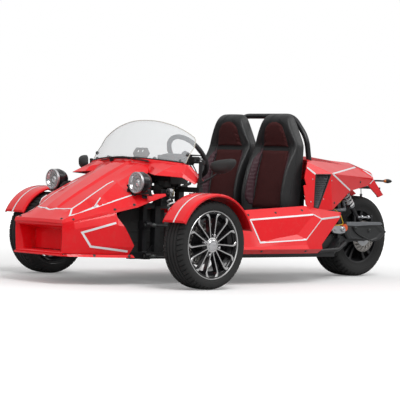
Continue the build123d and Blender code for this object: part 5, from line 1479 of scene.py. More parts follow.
    def lamp(self) -> None:
        """The red lamp that closes the spine's end, with its ribbed lens."""
        mould = Mould("tail_lamp_lens")
        rows = []
        for x, half, high, low in ((-2080, 78, 712, 668), (-2100, 76, 716, 666), (-2150, 66, 708, 662),
                                   (-2176, 58, 694, 664), (-2184, 52, 684, 668)):
            middle = (high + low) / 2
            rows.append([(x, -half, middle), (x, -half * 0.86, high - 3), (x, -half * 0.4, high),
                         (x, half * 0.4, high), (x, half * 0.86, high - 3), (x, half, middle),
                         (x, half * 0.86, low + 3), (x, half * 0.4, low), (x, -half * 0.4, low),
                         (x, -half * 0.86, low + 3)])
        net = mould.grid(rows, close_rows=True)
        mould.face(net[0])
        mould.face(net[-1])
        made = mould.piece(RED_LENS, "chassis", "red_lens", bevel=2.0, smooth=40, subdivide=1)
        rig.replaces(made, "tail_lamp")


@dataclass
class Tyre:
    """A tyre with ribs round its crown and slotted shoulder blocks."""

    node: str
    body: str
    centre: Point
    radius: float
    half: float
    seat: float
    blocks: int = 52
    slot_share: float = 0.26
    slot_depth: float = 6.0
    slant: float = 0.9
    # Across one half, from the crown: share of the half width, share of the section's height, kind.
    crown: tuple = (
        (0.00, 1.000, "rib"), (0.10, 0.999, "rib"), (0.13, 0.925, "groove"), (0.20, 0.925, "groove"),
        (0.23, 0.997, "rib"), (0.40, 0.990, "rib"), (0.43, 0.918, "groove"), (0.50, 0.915, "groove"),
        (0.53, 0.985, "block"), (0.66, 0.972, "block"), (0.78, 0.945, "block"), (0.86, 0.905, "block"),
        (0.915, 0.850, "block"), (0.955, 0.785, "block"),
    )
    # Down one side: share of the half width, share of the section's height.
    wall: tuple = ((0.975, 0.72), (0.985, 0.66), (0.995, 0.55), (0.985, 0.45), (0.97, 0.42),
                   (0.975, 0.39), (0.93, 0.27), (0.875, 0.16), (0.865, 0.08), (0.85, 0.02))

    def build(self) -> None:
        """One tyre as one piece."""
        height = self.radius - self.seat - 0.5
        parts = []
        for share, rise, kind in self.crown:
            parts.append((share * self.half, self.seat + 0.5 + height * rise, kind))
        for share, rise in self.wall:
            parts.append((min(share * self.half, self.half), self.seat + 0.5 + height * rise, "wall"))
        line = [(-y, r, kind) for y, r, kind in parts[:0:-1]] + parts
        mould = Mould(f"{self.node}_tread")
        rows = []
        x0, y0, z0 = self.centre
        marks = (0.0, 1.0 - self.slot_share, 1.0 - self.slot_share + 0.06, 0.94)
        for block in range(self.blocks):
            for index, mark in enumerate(marks):
                row = []
                for y, r, kind in line:
                    side = 1 if y > 0 else -1
                    lean = self.slant * (abs(y) / self.half) if kind == "block" else 0.0
                    half_step = 0.5 if side > 0 else 0.0
                    angle = FULL * (block + mark + lean + half_step * (kind == "block")) / self.blocks
                    sunk = self.slot_depth if kind == "block" and index >= 2 else 0.0
                    reach = r - sunk
                    row.append((x0 + reach * math.cos(angle), y0 + y, z0 + reach * math.sin(angle)))
                rows.append(row)
        mould.grid(rows, close_ends=True)
        made = mould.piece(TYRE, self.body, "tyre_rubber", smooth=24)
        outward(made, centre=self.centre)
        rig.replaces(made, self.node)


@dataclass
class FrontWheel:
    """A front wheel: black petal spokes with machined faces, capped hub, nuts and a drilled disc."""

    side: Side
    track_half: float = 720.0
    axle_z: float = 255.0
    petals: int = 7
    phase: float = 24.5
    lip_y: float = 76.0
    lip_radius: float = 195.5
    barrel_radius: float = 177.5
    well_radius: float = 158.0
    face_width: float = 6.5
    web_depth: float = 26.0
    disc_y: float = -40.0
    disc_radius: float = 119.5
    nut_circle: float = 57.15
    nuts: int = 4

    def build(self) -> None:
        """Tyre, barrel, spokes, hub and disc."""
        side = self.side
        name = side.name
        body = f"wheel_{name}"
        centre = (0.0, self.track_half * side.value, self.axle_z)
        Tyre(f"tyre_{name}", body, centre, 254.8, 82.3, 178.5).build()
        pieces = [self.barrel(body), self.lip(body), self.webs(body), self.faces(body), self.hub(body)]
        pieces += self.disc(body)
        for made in pieces:
            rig.replaces(made, f"rim_{name}")

    def at(self, degrees: float, radial: float, lateral: float, y: float) -> Point:
        """A point of the wheel: angle from upwards towards the rear, then along, across and outwards."""
        turn = math.radians(degrees)
        up, rear = math.cos(turn), math.sin(turn)
        x = -(radial * rear + lateral * up)
        z = radial * up - lateral * rear
        return (x, (self.track_half + y) * self.side.value, self.axle_z + z)

    def ring(self, name: str, profile: Sequence[Flat], finish: Finish, body: str, steps: int = 96,
             smooth: float = 35.0) -> bpy.types.Object:
        """A turned part about the axle; the profile holds radius and distance outwards."""
        mould = Mould(f"{name}_{self.side.name}")
        centre = (0.0, self.track_half * self.side.value, self.axle_z)
        mould.turned(profile, centre, (0, self.side.value, 0), steps, closed=True)
        return mould.piece(finish, body, "rim_machined", smooth=smooth)

    def barrel(self, body: str) -> bpy.types.Object:
        """The gloss black barrel with its inner flange."""
        seat, well, lip = self.barrel_radius, self.well_radius, self.lip_y
        profile = [(self.lip_radius - 5, lip - 8), (seat + 2, lip - 11), (seat - 4.5, lip - 18),
                   (seat - 5.5, lip * 0.6), (well - 5, lip * 0.42), (well - 5, -lip * 0.42),
                   (seat - 5.5, -lip * 0.72), (seat - 4, -lip + 7), (self.lip_radius - 4, -lip + 4),
                   (self.lip_radius, -lip + 1), (self.lip_radius, -lip + 7), (seat, -lip + 8),
                   (seat, -lip * 0.72),
                   (well, -lip * 0.42), (well, lip * 0.42), (seat, lip * 0.72), (seat, lip - 8),
                   (self.lip_radius - 1, lip - 7)]
        return self.ring("rim_barrel", profile, GLOSS_BLACK, body)

    def lip(self, body: str) -> bpy.types.Object:
        """The machined outer lip of the rim."""
        lip, reach = self.lip_y, self.lip_radius
        profile = [(reach, lip - 5), (reach, lip - 1.4), (reach - 1.4, lip), (reach - 4.5, lip - 0.6),
                   (reach - 6.5, lip - 4.0), (reach - 7.5, lip - 5.5), (reach - 9.0, lip - 9.0),
                   (reach - 4, lip - 10)]
        return self.ring("rim_lip", profile, MACHINED, body, steps=120)

    def path(self) -> list[tuple[float, float, float]]:
        """One spoke's course: radius, sideways from the petal's middle, and face height."""
        return [(34.0, 4.0, 66.0), (60.0, 12.0, 66.5), (105.0, 26.5, 67.5), (144.0, 39.5, 68.5),
                (155.0, 42.5, 69.0), (166.0, 40.5, 69.3), (179.0, 35.5, 69.8), (192.0, 30.0, 70.2)]

    def spoke(self, mould: Mould, petal: int, sign: int, widths: Sequence[float], top: float,
              depth: float) -> None:
        """Adds one spoke's web or face to a mould.

        Args:
            mould: Where it goes.
            petal: Which petal.
            sign: Which of the petal's two spokes.
            widths: Half widths along the path.
            top: How far its face stands off the path's height.
            depth: How deep it reaches below its face.
        """
        degrees = self.phase + 360.0 / self.petals * petal
        course = self.path()
        rows = []
        for index, ((radius, shift, height), half) in enumerate(zip(course, widths)):
            before = course[max(index - 1, 0)]
            after = course[min(index + 1, len(course) - 1)]
            run = math.hypot(after[0] - before[0], after[1] - before[1])
            along = ((after[0] - before[0]) / run, (after[1] - before[1]) / run)
            row = []
            for across, drop in ((1.0, 0.0), (0.86, -1.0), (-0.86, -1.0), (-1.0, 0.0), (-1.15, depth),
                                 (1.15, depth)):
                radial = radius - along[1] * half * across
                lateral = (shift + along[0] * half * across) * sign
                row.append(self.at(degrees, radial, lateral, height + top - drop))
            rows.append(row)
        net = mould.grid(rows, close_rows=True)
        mould.face(net[0])
        mould.face(net[-1])

    def webs(self, body: str) -> bpy.types.Object:
        """The deep black webs behind the machined faces."""
        mould = Mould(f"rim_webs_{self.side.name}")
        for petal in range(self.petals):
            for sign in (-1, 1):
                self.spoke(mould, petal, sign, (7, 6.5, 6, 6, 6.5, 7, 8, 10), -1.2, self.web_depth)
        return mould.piece(GLOSS_BLACK, body, "rim_machined", bevel=0.8, smooth=30)

    def faces(self, body: str) -> bpy.types.Object:
        """The thin machined faces that outline the petals."""
        mould = Mould(f"rim_faces_{self.side.name}")
        half = self.face_width / 2
        for petal in range(self.petals):
            for sign in (-1, 1):
                widths = [half * share for share in (1.0, 0.85, 0.85, 1.15, 1.5, 1.9, 2.5, 3.6)]
                self.spoke(mould, petal, sign, widths, 0.0, 2.0)
        return mould.piece(MACHINED, body, "rim_machined", smooth=30)

    def hub(self, body: str) -> bpy.types.Object:
        """The hub's bowl, ring, nuts and cap."""
        name = self.side.name
        bowl = self.ring("rim_hub", [(0, 40), (64, 40), (66, 52), (60, 60), (46, 63), (40, 64.5), (0, 64.5)],
                         GLOSS_BLACK, body, 64)
        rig.replaces(bowl, f"rim_{name}")
        collar = self.ring("hub_collar", [(31.5, 62), (42.5, 62), (42.5, 67.5), (41, 68.8), (34, 69.6),
                                          (31.5, 69)],
                           MACHINED, body, 64)
        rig.replaces(collar, f"rim_{name}")
        mould = Mould(f"wheel_nuts_{name}")
        for index in range(self.nuts):
            degrees = 15.7 + 360.0 / self.nuts * index
            start = self.at(degrees, self.nut_circle, 0.0, 57.0)
            mould.nut(start, (0, self.side.value, 0), 10.0, 13.0)
            mould.turned([(10.5, -2), (12.5, 0), (12.5, 1.5), (10.5, 2)], start, (0, self.side.value, 0), 16)
        nuts = mould.piece(CHROME, body, "rim_machined", bevel=0.8, smooth=30)
        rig.replaces(nuts, f"rim_{name}")
        cap = [(32.0, 66.5), (31.6, 70.5), (29.5, 72.6), (24, 74.2), (14, 75.6), (6, 76.2), (0.0, 76.3),
               (0.0, 66.5)]
        return self.ring("hub_cap", cap, CHROME, body, 64, smooth=60)

    def disc(self, body: str) -> list[bpy.types.Object]:
        """The drilled brake disc and its hat."""
        radius, y = self.disc_radius, self.disc_y
        plate = DrilledDisc(f"brake_disc_{self.side.name}",
                            (0.0, (self.track_half + y) * self.side.value, self.axle_z),
                            self.side.value, radius, 68.0, 6.0)
        hat = self.ring("disc_hat", [(19, y - 3), (70, y - 3), (70, y + 3), (50, y + 4), (46, y + 12),
                                     (44, 41), (19, 41)],
                        COAT, body, 48)
        return [plate.build(body), hat]


@dataclass
class DrilledDisc:
    """A flat brake disc across Y with rings of drilled holes."""

    name: str
    centre: Point
    sign: int
    radius: float
    inner: float
    thickness: float
    hole: float = 4.2
    spokes: int = 18
    rings: tuple = (0.22, 0.5, 0.78)

    def build(self, body: str) -> bpy.types.Object:
        """The disc with open holes."""
        mould = Mould(self.name)
        loops = [self.circle(0.0, 0.0, self.radius, 96), self.circle(0.0, 0.0, self.inner, 60)]
        for index in range(self.spokes):
            for order, share in enumerate(self.rings):
                turn = FULL * (index + 0.28 * order) / self.spokes
                reach = blend(self.inner, self.radius, share)
                loops.append(self.circle(reach * math.cos(turn), reach * math.sin(turn), self.hole, 10))
        mould.pierced(loops)
        return mould.piece(DISC, body, "rim_machined", wall=self.thickness, smooth=30)

    def circle(self, x: float, z: float, radius: float, steps: int) -> list[Point]:
        """Points round a hole or rim on the disc's outer face."""
        x0, y0, z0 = self.centre
        y = y0 + self.sign * self.thickness / 2
        return [(x0 + x + radius * math.cos(FULL * step / steps), y,
                 z0 + z + radius * math.sin(FULL * step / steps))
                for step in range(steps)]


@dataclass
class RearWheel:
    """The wide rear wheel: black ribbed rim, hub, a black dish behind the spokes that is partly painted shade, and a
    drilled disc on its left.
    """

    centre: Point = (-2020.0, 0.0, 272.0)
    lip_y: float = 93.0
    lip_radius: float = 195.0
    barrel_radius: float = 178.0
    well_radius: float = 158.0
    ribs: int = 10
    disc_y: float = 128.0
    disc_radius: float = 104.5
    body: str = "wheel_rear"

    def build(self) -> None:
        """Tyre, rim, hub and disc."""
        Tyre("tyre_rear", self.body, self.centre, 271.8, 107.3, 179.0, blocks=44).build()
        lip, seat, well, reach = self.lip_y, self.barrel_radius, self.well_radius, self.lip_radius
        barrel = [(seat - 6, lip - 6), (seat - 6, lip * 0.72), (well - 6, lip * 0.45),
                  (well - 6, -lip * 0.45),
                  (seat - 6, -lip * 0.72), (seat - 6, -lip + 6), (reach - 3, -lip), (reach, -lip + 1.5),
                  (reach, -lip + 6), (seat, -lip + 7), (seat, -lip * 0.72), (well, -lip * 0.45),
                  (well, lip * 0.45),
                  (seat, lip * 0.72), (seat, lip - 7), (reach, lip - 6), (reach, lip - 1.5), (reach - 3, lip)]
        pieces = [self.ring("rear_barrel", barrel, COAT, 96)]
        hub = [(12.3, -92), (26, -92), (28, -40), (30, 52), (46, 58), (48, 86), (30, 88), (28, 120),
               (12.3, 120)]
        pieces.append(self.ring("rear_hub", hub, COAT, 48))
        # A solid black dish behind the spokes: partly the hub, brake and sprocket inside the wheel, partly painted
        # shade that keeps the view through the spokes dark.
        web = [(30, -34), (120, -30), (158, -44), (172, -58), (172, -54), (157, -40), (120, -26), (30, -30)]
        pieces.append(self.ring("rear_web", web, COAT, 64))
        pieces.append(self.spokes())
        disc = DrilledDisc("rear_brake_disc", (self.centre[0], self.disc_y, self.centre[2]), 1,
                           self.disc_radius, 62.0, 6.0, spokes=16)
        pieces.append(disc.build(self.body))
        carrier = [(30, 122), (64, 124.5), (64, 131), (34, 131.5), (34, 124), (30, 124)]
        pieces.append(self.ring("rear_disc_carrier", carrier, CAST, 48))
        for made in pieces:
            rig.replaces(made, "rim_rear")

    def ring(self, name: str, profile: Sequence[Flat], finish: Finish, steps: int) -> bpy.types.Object:
        """A turned part about the rear axle."""
        mould = Mould(name)
        mould.turned(profile, self.centre, (0, 1, 0), steps, closed=True)
        return mould.piece(finish, self.body, "rim_rear_black", smooth=35)

    def spokes(self) -> bpy.types.Object:
        """Tapered pairs of ribs from the hub to the barrel."""
        mould = Mould("rear_spokes")
        x0, y0, z0 = self.centre
        for index in range(self.ribs):
            turn = FULL * (index + 0.2 * (-1) ** index) / self.ribs
            out = (math.cos(turn), math.sin(turn))
            rows = []
            for radius, half, face, deep in ((40, 12, 84, 56), (90, 9, 80, 58), (140, 9, 80, 60),
                                             (171, 13, 84, 62)):
                row = []
                for across, y in ((1, face - 3), (0.7, face), (-0.7, face), (-1, face - 3), (-1.1, deep),
                                  (1.1, deep)):
                    side = half * across
                    row.append((x0 + out[0] * radius - out[1] * side, y0 + y,
                                z0 + out[1] * radius + out[0] * side))
                rows.append(row)
            net = mould.grid(rows, close_rows=True)
            mould.face(net[0])
            mould.face(net[-1])
        return mould.piece(COAT, self.body, "rim_rear_black", bevel=1.5, smooth=30)


def stuffed(made: bpy.types.Object, cap: float, voxel: float = 6.0, pressure: float = 4.0) -> None:
    """Fills a closed cover by pressure, as far as its stitching lets it.

    Args:
        made: The piece; its mesh is replaced by the filled one.
        cap: How far a point may move, in millimetres.
        voxel: The size of the cover's new faces, in millimetres.
        pressure: The pressure inside.
    """
    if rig.quick():
        return
    scene = bpy.context.scene
    even = made.modifiers.new("even", "REMESH")
    even.mode = "VOXEL"
    even.voxel_size = voxel * MM
    graph = bpy.context.evaluated_depsgraph_get()
    mesh = bpy.data.meshes.new_from_object(made.evaluated_get(graph))
    made.modifiers.clear()
    made.data = mesh
    rest = [vertex.co.copy() for vertex in mesh.vertices]
    cloth = made.modifiers.new("cloth", "CLOTH")
    cloth.settings.use_pressure = True
    cloth.settings.uniform_pressure_force = pressure
    cloth.settings.quality = 5
    cloth.settings.effector_weights.gravity = 0.0
    cloth.point_cache.frame_start = 1
    cloth.point_cache.frame_end = 20
    for step in range(1, 21):
        scene.frame_set(step)
    graph = bpy.context.evaluated_depsgraph_get()
    moved = [vertex.co.copy() for vertex in made.evaluated_get(graph).data.vertices]
    made.modifiers.clear()
    scene.frame_set(1)
    limit = cap * MM
    for vertex, start, end in zip(mesh.vertices, rest, moved):
        move = end - start
        vertex.co = start + move * min(1.0, limit / max(move.length, 1e-9))
    mesh.shade_smooth()
    mesh.update()
    LOG.info("%s filled: %d faces", made.name, len(mesh.polygons))


def creased(made: bpy.types.Object, depth: float, size: float, stretch: Point = (1.0, 1.0, 1.0)) -> None:
    """Moves a soft cover's points a little along their normals, as leather and cloth settle."""
    mesh = made.data
    ways = [vertex.normal.copy() for vertex in mesh.vertices]
    for vertex, way in zip(mesh.vertices, ways):
        spot = Vector([part * factor / (size * MM) for part, factor in zip(vertex.co, stretch)])
        vertex.co += way * (noise.fractal(spot, 1.0, 2.0, 3) * depth * MM)


@dataclass
class Pad:
    """A stuffed panel sewn onto a skin: rows of points near the skin give its outline."""

    name: str
    rows: Sequence[Sequence[Point]]
    way: Point
    rise: float = 5.0
    sink: float = 7.0
    cap: float = 7.0
    fill: float = 0.7
    depth: float = 0.8
    size: float = 60.0
    pleats: float = 0.0
    pleat_depth: float = 1.6

    def build(self, skin: Skin, finish: Finish, body: str, slot: str) -> bpy.types.Object:
        """Lays, fills and creases the pad."""
        mould = Mould(self.name)
        top = [[skin.near(point, self.way, self.rise) for point in row] for row in self.rows]
        low = [[skin.near(point, self.way, -self.sink) for point in row] for row in self.rows]
        high_net, low_net = mould.grid(top), mould.grid(low)
        border = [list(high_net[0]), [row[-1] for row in high_net], list(high_net[-1])[::-1],
                  [row[0] for row in high_net][::-1]]
        under = [list(low_net[0]), [row[-1] for row in low_net], list(low_net[-1])[::-1],
                 [row[0] for row in low_net][::-1]]
        for over_line, under_line in zip(border, under):
            for index in range(len(over_line) - 1):
                mould.face([over_line[index], over_line[index + 1], under_line[index + 1], under_line[index]])
        made = mould.piece(finish, body, slot, smooth=60)
        stuffed(made, self.cap)
        creased(made, self.depth, self.size)
        if self.pleats:
            self.gathered(made)
        surface = made.modifiers.new("surface", "SUBSURF")
        surface.levels = surface.render_levels = 1
        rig.padded(made, fill=self.fill)
        return made

    def gathered(self, made: bpy.types.Object) -> None:
        """Presses the sewn pleats that run across the pad."""
        mesh = made.data
        ways = [vertex.normal.copy() for vertex in mesh.vertices]
        for vertex, way in zip(mesh.vertices, ways):
            swing = noise.noise(vertex.co * 22.0) * 1.6
            along = vertex.co.z if abs(self.way[2]) < 0.5 else vertex.co.x
            fold = abs(math.sin(along / (self.pleats * MM) * math.pi + swing))
            vertex.co += way * ((fold - 0.5) * self.pleat_depth * MM)


@dataclass
class Seat:
    """A bucket seat: black leatherette body with bolsters, maroon inserts and pleated bolster panels."""

    side: Side = Side.left
    middle: float = 210.0
    # Up the back: height, half width, rear, side's front edge, crest, panel's edge,
    # insert's edge (across, x).
    levels: tuple = (
        (385, 180, -1108, -987, (166, -964), (152, -976), (130, -1003)),
        (430, 186, -1116, -993, (172, -955), (157, -972), (129, -1008)),
        (480, 190, -1121, -1003, (174, -946), (160, -966), (128, -1014)),
        (526, 190, -1124, -1010, (174, -941), (160, -964), (127, -1022)),
        (600, 190, -1128, -1025, (174, -953), (159, -975), (126, -1034)),
        (670, 190, -1132, -1040, (174, -974), (158, -992), (125, -1046)),
        (720, 190, -1135, -1050, (174, -992), (156, -1008), (123, -1055)),
        (780, 190, -1138, -1062, (173, -1026), (150, -1036), (119, -1066)),
        (820, 190, -1140, -1070, (172, -1052), (143, -1060), (114, -1073)),
        (850, 189, -1142, -1075, (170, -1064), (136, -1068), (111, -1077)),
        (872, 181, -1142, -1073, (160, -1059), (130, -1061), (106, -1070)),
        (920, 159, -1140, -1067, (138, -1050), (112, -1050), (94, -1059)),
        (970, 135, -1137, -1066, (116, -1046), (92, -1046), (72, -1052)),
        (1005, 118, -1134, -1068, (100, -1050), (78, -1049), (45, -1052)),
        (1030, 104, -1130, -1077, (87, -1063), (66, -1060), (30, -1060)),
        (1043, 90, -1123, -1089, (73, -1079), (52, -1077), (20, -1077)),
        (1049, 72, -1114, -1098, (56, -1094), (38, -1092), (15, -1092)),
    )
    # From the cushion's front to its back: x, half width, top, crest height, foot height,
    # insert's half width.
    stations: tuple = (
        (-524, 168, 318, 318, 268, 118), (-532, 178, 340, 342, 252, 119), (-552, 184, 354, 364, 245, 120),
        (-590, 186, 361, 384, 243, 121), (-660, 187, 362, 398, 242, 122), (-760, 187, 360, 402, 242, 123),
        (-860, 187, 358, 403, 242, 124), (-940, 186, 358, 401, 242, 124), (-1000, 182, 360, 396, 243, 124),
        (-1040, 172, 366, 384, 246, 120),
    )
    # The head insert's arch: height and half width.
    arch: tuple = ((840, 109), (870, 105), (905, 98), (940, 88), (968, 74), (987, 55), (999, 34), (1005, 12))

    def build(self) -> None:
        """Builds the left seat, then its mirror image on the right."""
        made = [self.back(), self.cushion()]
        made += self.covers(made[0], made[1])
        made += self.beads(made[0], made[1])
        made.append(self.base())
        for piece in made:
            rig.replaces(piece, "seat_left")
            self.mirrored(piece)

    def mirrored(self, piece: bpy.types.Object) -> None:
        """The same piece on the right seat."""
        mesh = piece.data.copy()
        mesh.transform(Matrix.Scale(-1.0, 4, (0, 1, 0)))
        mesh.flip_normals()
        twin = bpy.data.objects.new(piece.name.replace("left", "right"), mesh)
        bpy.context.scene.collection.objects.link(twin)
        for modifier in piece.modifiers:
            made = twin.modifiers.new(modifier.name, modifier.type)
            if modifier.type == "SUBSURF":
                made.levels, made.render_levels = modifier.levels, modifier.render_levels
            if modifier.type == "BEVEL":
                made.width, made.segments, made.limit_method = modifier.width, modifier.segments, "ANGLE"
                made.angle_limit = modifier.angle_limit
        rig.slot(twin, "black_leather")
        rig.ride(twin, "chassis")
        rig.replaces(twin, "seat_right")
        if any(part in piece.name for part in ("insert", "panel")):
            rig.padded(twin, fill=0.7)

    def spot(self, across: float, x: float, z: float) -> Point:
        """A point from its distance to the seat's middle."""
        return (x, self.middle + across, z)

    def ring(self, level: tuple) -> list[Point]:
        """The closed section of the back at one level."""
        z, wide, rear, edge, crest, panel, insert = level
        half = [(insert[0] * 0.45, insert[1] - 1), (insert[0], insert[1]), (insert[0] + 4, insert[1] + 3),
                panel, crest,
                ((crest[0] + wide) / 2 + 4, blend(crest[1], edge, 0.28)),
                (wide - 2, blend(crest[1], edge, 0.8)),
                (wide, edge - 6), (wide, blend(edge, rear, 0.55)), (wide - 3, rear + 9),
                (wide - 13, rear + 1), (wide * 0.5, rear - 7)]
        right = [self.spot(across, x, z) for across, x in half]
        left = [self.spot(-across, x, z) for across, x in half[::-1]]
        return [self.spot(0, insert[1] - 1, z)] + right + [self.spot(0, rear - 9, z)] + left

    def back(self) -> bpy.types.Object:
        """The back's body."""
        mould = Mould("seat_back_left")
        net = mould.grid([self.ring(level) for level in self.levels], close_rows=True)
        mould.face(net[0])
        mould.face(net[-1])
        made = mould.piece(LEATHER, "chassis", "black_leather", smooth=180, subdivide=2)
        return made

    def across(self, station: tuple) -> list[Point]:
        """The closed section of the cushion at one station."""
        x, wide, top, crest, foot, insert = station
        half = [(insert * 0.5, top), (insert, top), (insert + 4, top + 2),
                (wide - 38, blend(top, crest, 0.7)),
                (wide - 24, crest), (wide - 8, crest - 5), (wide, blend(crest, foot, 0.2)),
                (wide + 1, blend(crest, foot, 0.6)), (wide - 5, foot + 5), (wide - 24, foot)]
        right = [(x, self.middle + v, z) for v, z in half]
        left = [(x, self.middle - v, z) for v, z in half[::-1]]
        return [(x, self.middle, top)] + right + [(x, self.middle, foot)] + left

    def cushion(self) -> bpy.types.Object:
        """The cushion's body."""
        mould = Mould("seat_cushion_left")
        net = mould.grid([self.across(station) for station in self.stations], close_rows=True)
        mould.face(net[0])
        mould.face(net[-1])
        return mould.piece(LEATHER, "chassis", "black_leather", smooth=180, subdivide=2)

    def at_level(self, z: float, column: int, part: int | None = None) -> float:
        """A number of the back's table at a height."""
        for low, high in zip(self.levels, self.levels[1:]):
            if low[0] <= z <= high[0]:
                share = (z - low[0]) / (high[0] - low[0])
                pair = [row[column] if part is None else row[column][part] for row in (low, high)]
                return blend(pair[0], pair[1], share)
        return self.levels[-1][column] if part is None else self.levels[-1][column][part]

    def covers(self, back: bpy.types.Object, cushion: bpy.types.Object) -> list[bpy.types.Object]:
        """The stuffed inserts and bolster panels."""
        behind, under = Skin(back, shown=True), Skin(cushion, shown=True)
        steps = [index / 10 - 1 for index in range(21)]
        lower = [[self.spot(share * (self.at_level(z, 6, 0) + 3), -1000, z) for share in steps]
                 for z in list(range(446, 830, 16)) + [837]]
        head = [[self.spot(share * (half + 6), -1040, z) for share in steps] for z, half in self.arch]
        seat = [[(x, self.middle + share * 118, 400) for share in steps] for x in range(-560, -985, -16)]
        made = [
            Pad("seat_insert_back_left", lower, (1, 0, 0.15)).build(behind, INSERT, "chassis",
                                                                    "black_leather"),
            Pad("seat_insert_head_left", head, (1, 0, 0.1)).build(behind, INSERT, "chassis", "black_leather"),
            Pad("seat_insert_cushion_left", seat, (0, 0, 1), cap=9).build(under, INSERT, "chassis",
                                                                          "black_leather"),
        ]
        for name, sign in (("inner", -1), ("outer", 1)):
            rows = []
            for z in list(range(470, 828, 14)) + [836]:
                low, high = self.at_level(z, 6, 0) + 2, self.at_level(z, 5, 0) + 5
                deep, near = self.at_level(z, 6, 1), self.at_level(z, 5, 1)
                ease = min(1.0, (z - 458) / 60, (846 - z) / 80) ** 0.5
                rows.append([self.spot(sign * blend(low, high, ease * share / 6),
                                       blend(deep, near, ease * share / 6), z)
                             for share in range(7)])
            pad = Pad(f"seat_panel_{name}_left", rows, (1, -0.55 * sign, 0), rise=2.5, cap=4.5, pleats=26.0,
                      depth=0.6)
            made.append(pad.build(behind, PLEAT, "chassis", "black_leather"))
            rows = [[(x, self.middle + sign * blend(127, 152, share / 5), 420) for share in range(6)]
                    for x in range(-590, -960, -14)]
            pad = Pad(f"seat_panel_low_{name}_left", rows, (0, -0.6 * sign, 1), rise=2.5, cap=4.5,
                      pleats=26.0)
            made.append(pad.build(under, PLEAT, "chassis", "black_leather"))
        return made

    def beads(self, back: bpy.types.Object, cushion: bpy.types.Object) -> list[bpy.types.Object]:
        """Seams along the covers' edges, the shoulder and the sides."""
        behind, under = Skin(back, shown=True), Skin(cushion, shown=True)
        mould = Mould("seat_beads_left")
        for sign in (-1, 1):
            edge = [self.spot(sign * (self.at_level(z, 6, 0) + 1), -1000, z) for z in range(448, 845, 18)]
            behind.seam(mould, edge, (1, -0.2 * sign, 0), 2.0, 0.5)
            crest = [self.spot(sign * (self.at_level(z, 5, 0) + 3), -960, z) for z in range(470, 840, 18)]
            behind.seam(mould, crest, (1, -0.3 * sign, 0), 1.6, 0.6)
            side = [self.spot(sign * 200, self.at_level(z, 3) - 6, z) for z in range(400, 853, 20)]
            behind.seam(mould, side, (0, sign, 0), 1.5, 0.3)
            shoulder = [self.spot(sign * 200, x, 852) for x in range(-1135, -1075, 15)]
            behind.seam(mould, shoulder, (0, sign, 0), 1.6, 0.2)
            front = [self.spot(sign * v, -1000, 848 - (v - 112) * 0.12) for v in (112, 130, 150, 170, 184)]
            behind.seam(mould, front, (1, 0, 0), 1.6, 0.2)
            length = [(x, self.middle + sign * 122, 420) for x in range(-556, -990, -18)]
            under.seam(mould, length, (0, 0, 1), 2.0, 0.4)
            rim = [(x, self.middle + sign * 220, 352) for x in range(-545, -1010, -20)]
            under.seam(mould, rim, (0, sign, 0), 1.8, 0.3)
        arch = [self.spot(-half - 2, -1000, z) for z, half in self.arch]
        arch += [self.spot(half + 2, -1000, z) for z, half in self.arch[::-1]]
        behind.seam(mould, arch, (1, 0, 0.2), 2.0, 0.4)
        cross = [self.spot(v, -1000, 838) for v in range(-112, 113, 16)]
        behind.seam(mould, cross, (1, 0, 0), 2.0, 0.2)
        nose = [(-556, self.middle + v, 420) for v in range(-122, 123, 16)]
        under.seam(mould, nose, (0, 0, 1), 2.0, 0.4)
        return [mould.piece(LEATHER, "chassis", "black_leather", smooth=60)]

    def base(self) -> bpy.types.Object:
        """The hinge plates beside the cushion and the foot under it."""
        mould = Mould("seat_base_left")
        y = self.middle
        for sign in (-1, 1):
            outline = [(-968, y + sign * 176, 262), (-1092, y + sign * 176, 262),
                       (-1098, y + sign * 176, 400),
                       (-1076, y + sign * 176, 430), (-1050, y + sign * 176, 424),
                       (-1010, y + sign * 176, 330), (-968, y + sign * 176, 300)]
            mould.prism(outline, (0, sign * 5, 0))
            mould.turned([(0, 0), (17, 0), (17, 5), (14, 9), (0, 9)], (-1050, y + sign * 180, 330),
                         (0, sign, 0), 24)
        mould.brick((-1096, y - 150, 199), (-560, y - 120, 246))
        mould.brick((-1096, y + 120, 199), (-560, y + 150, 246))
        return mould.piece(COAT, "chassis", "black_leather", bevel=2.0, smooth=40)


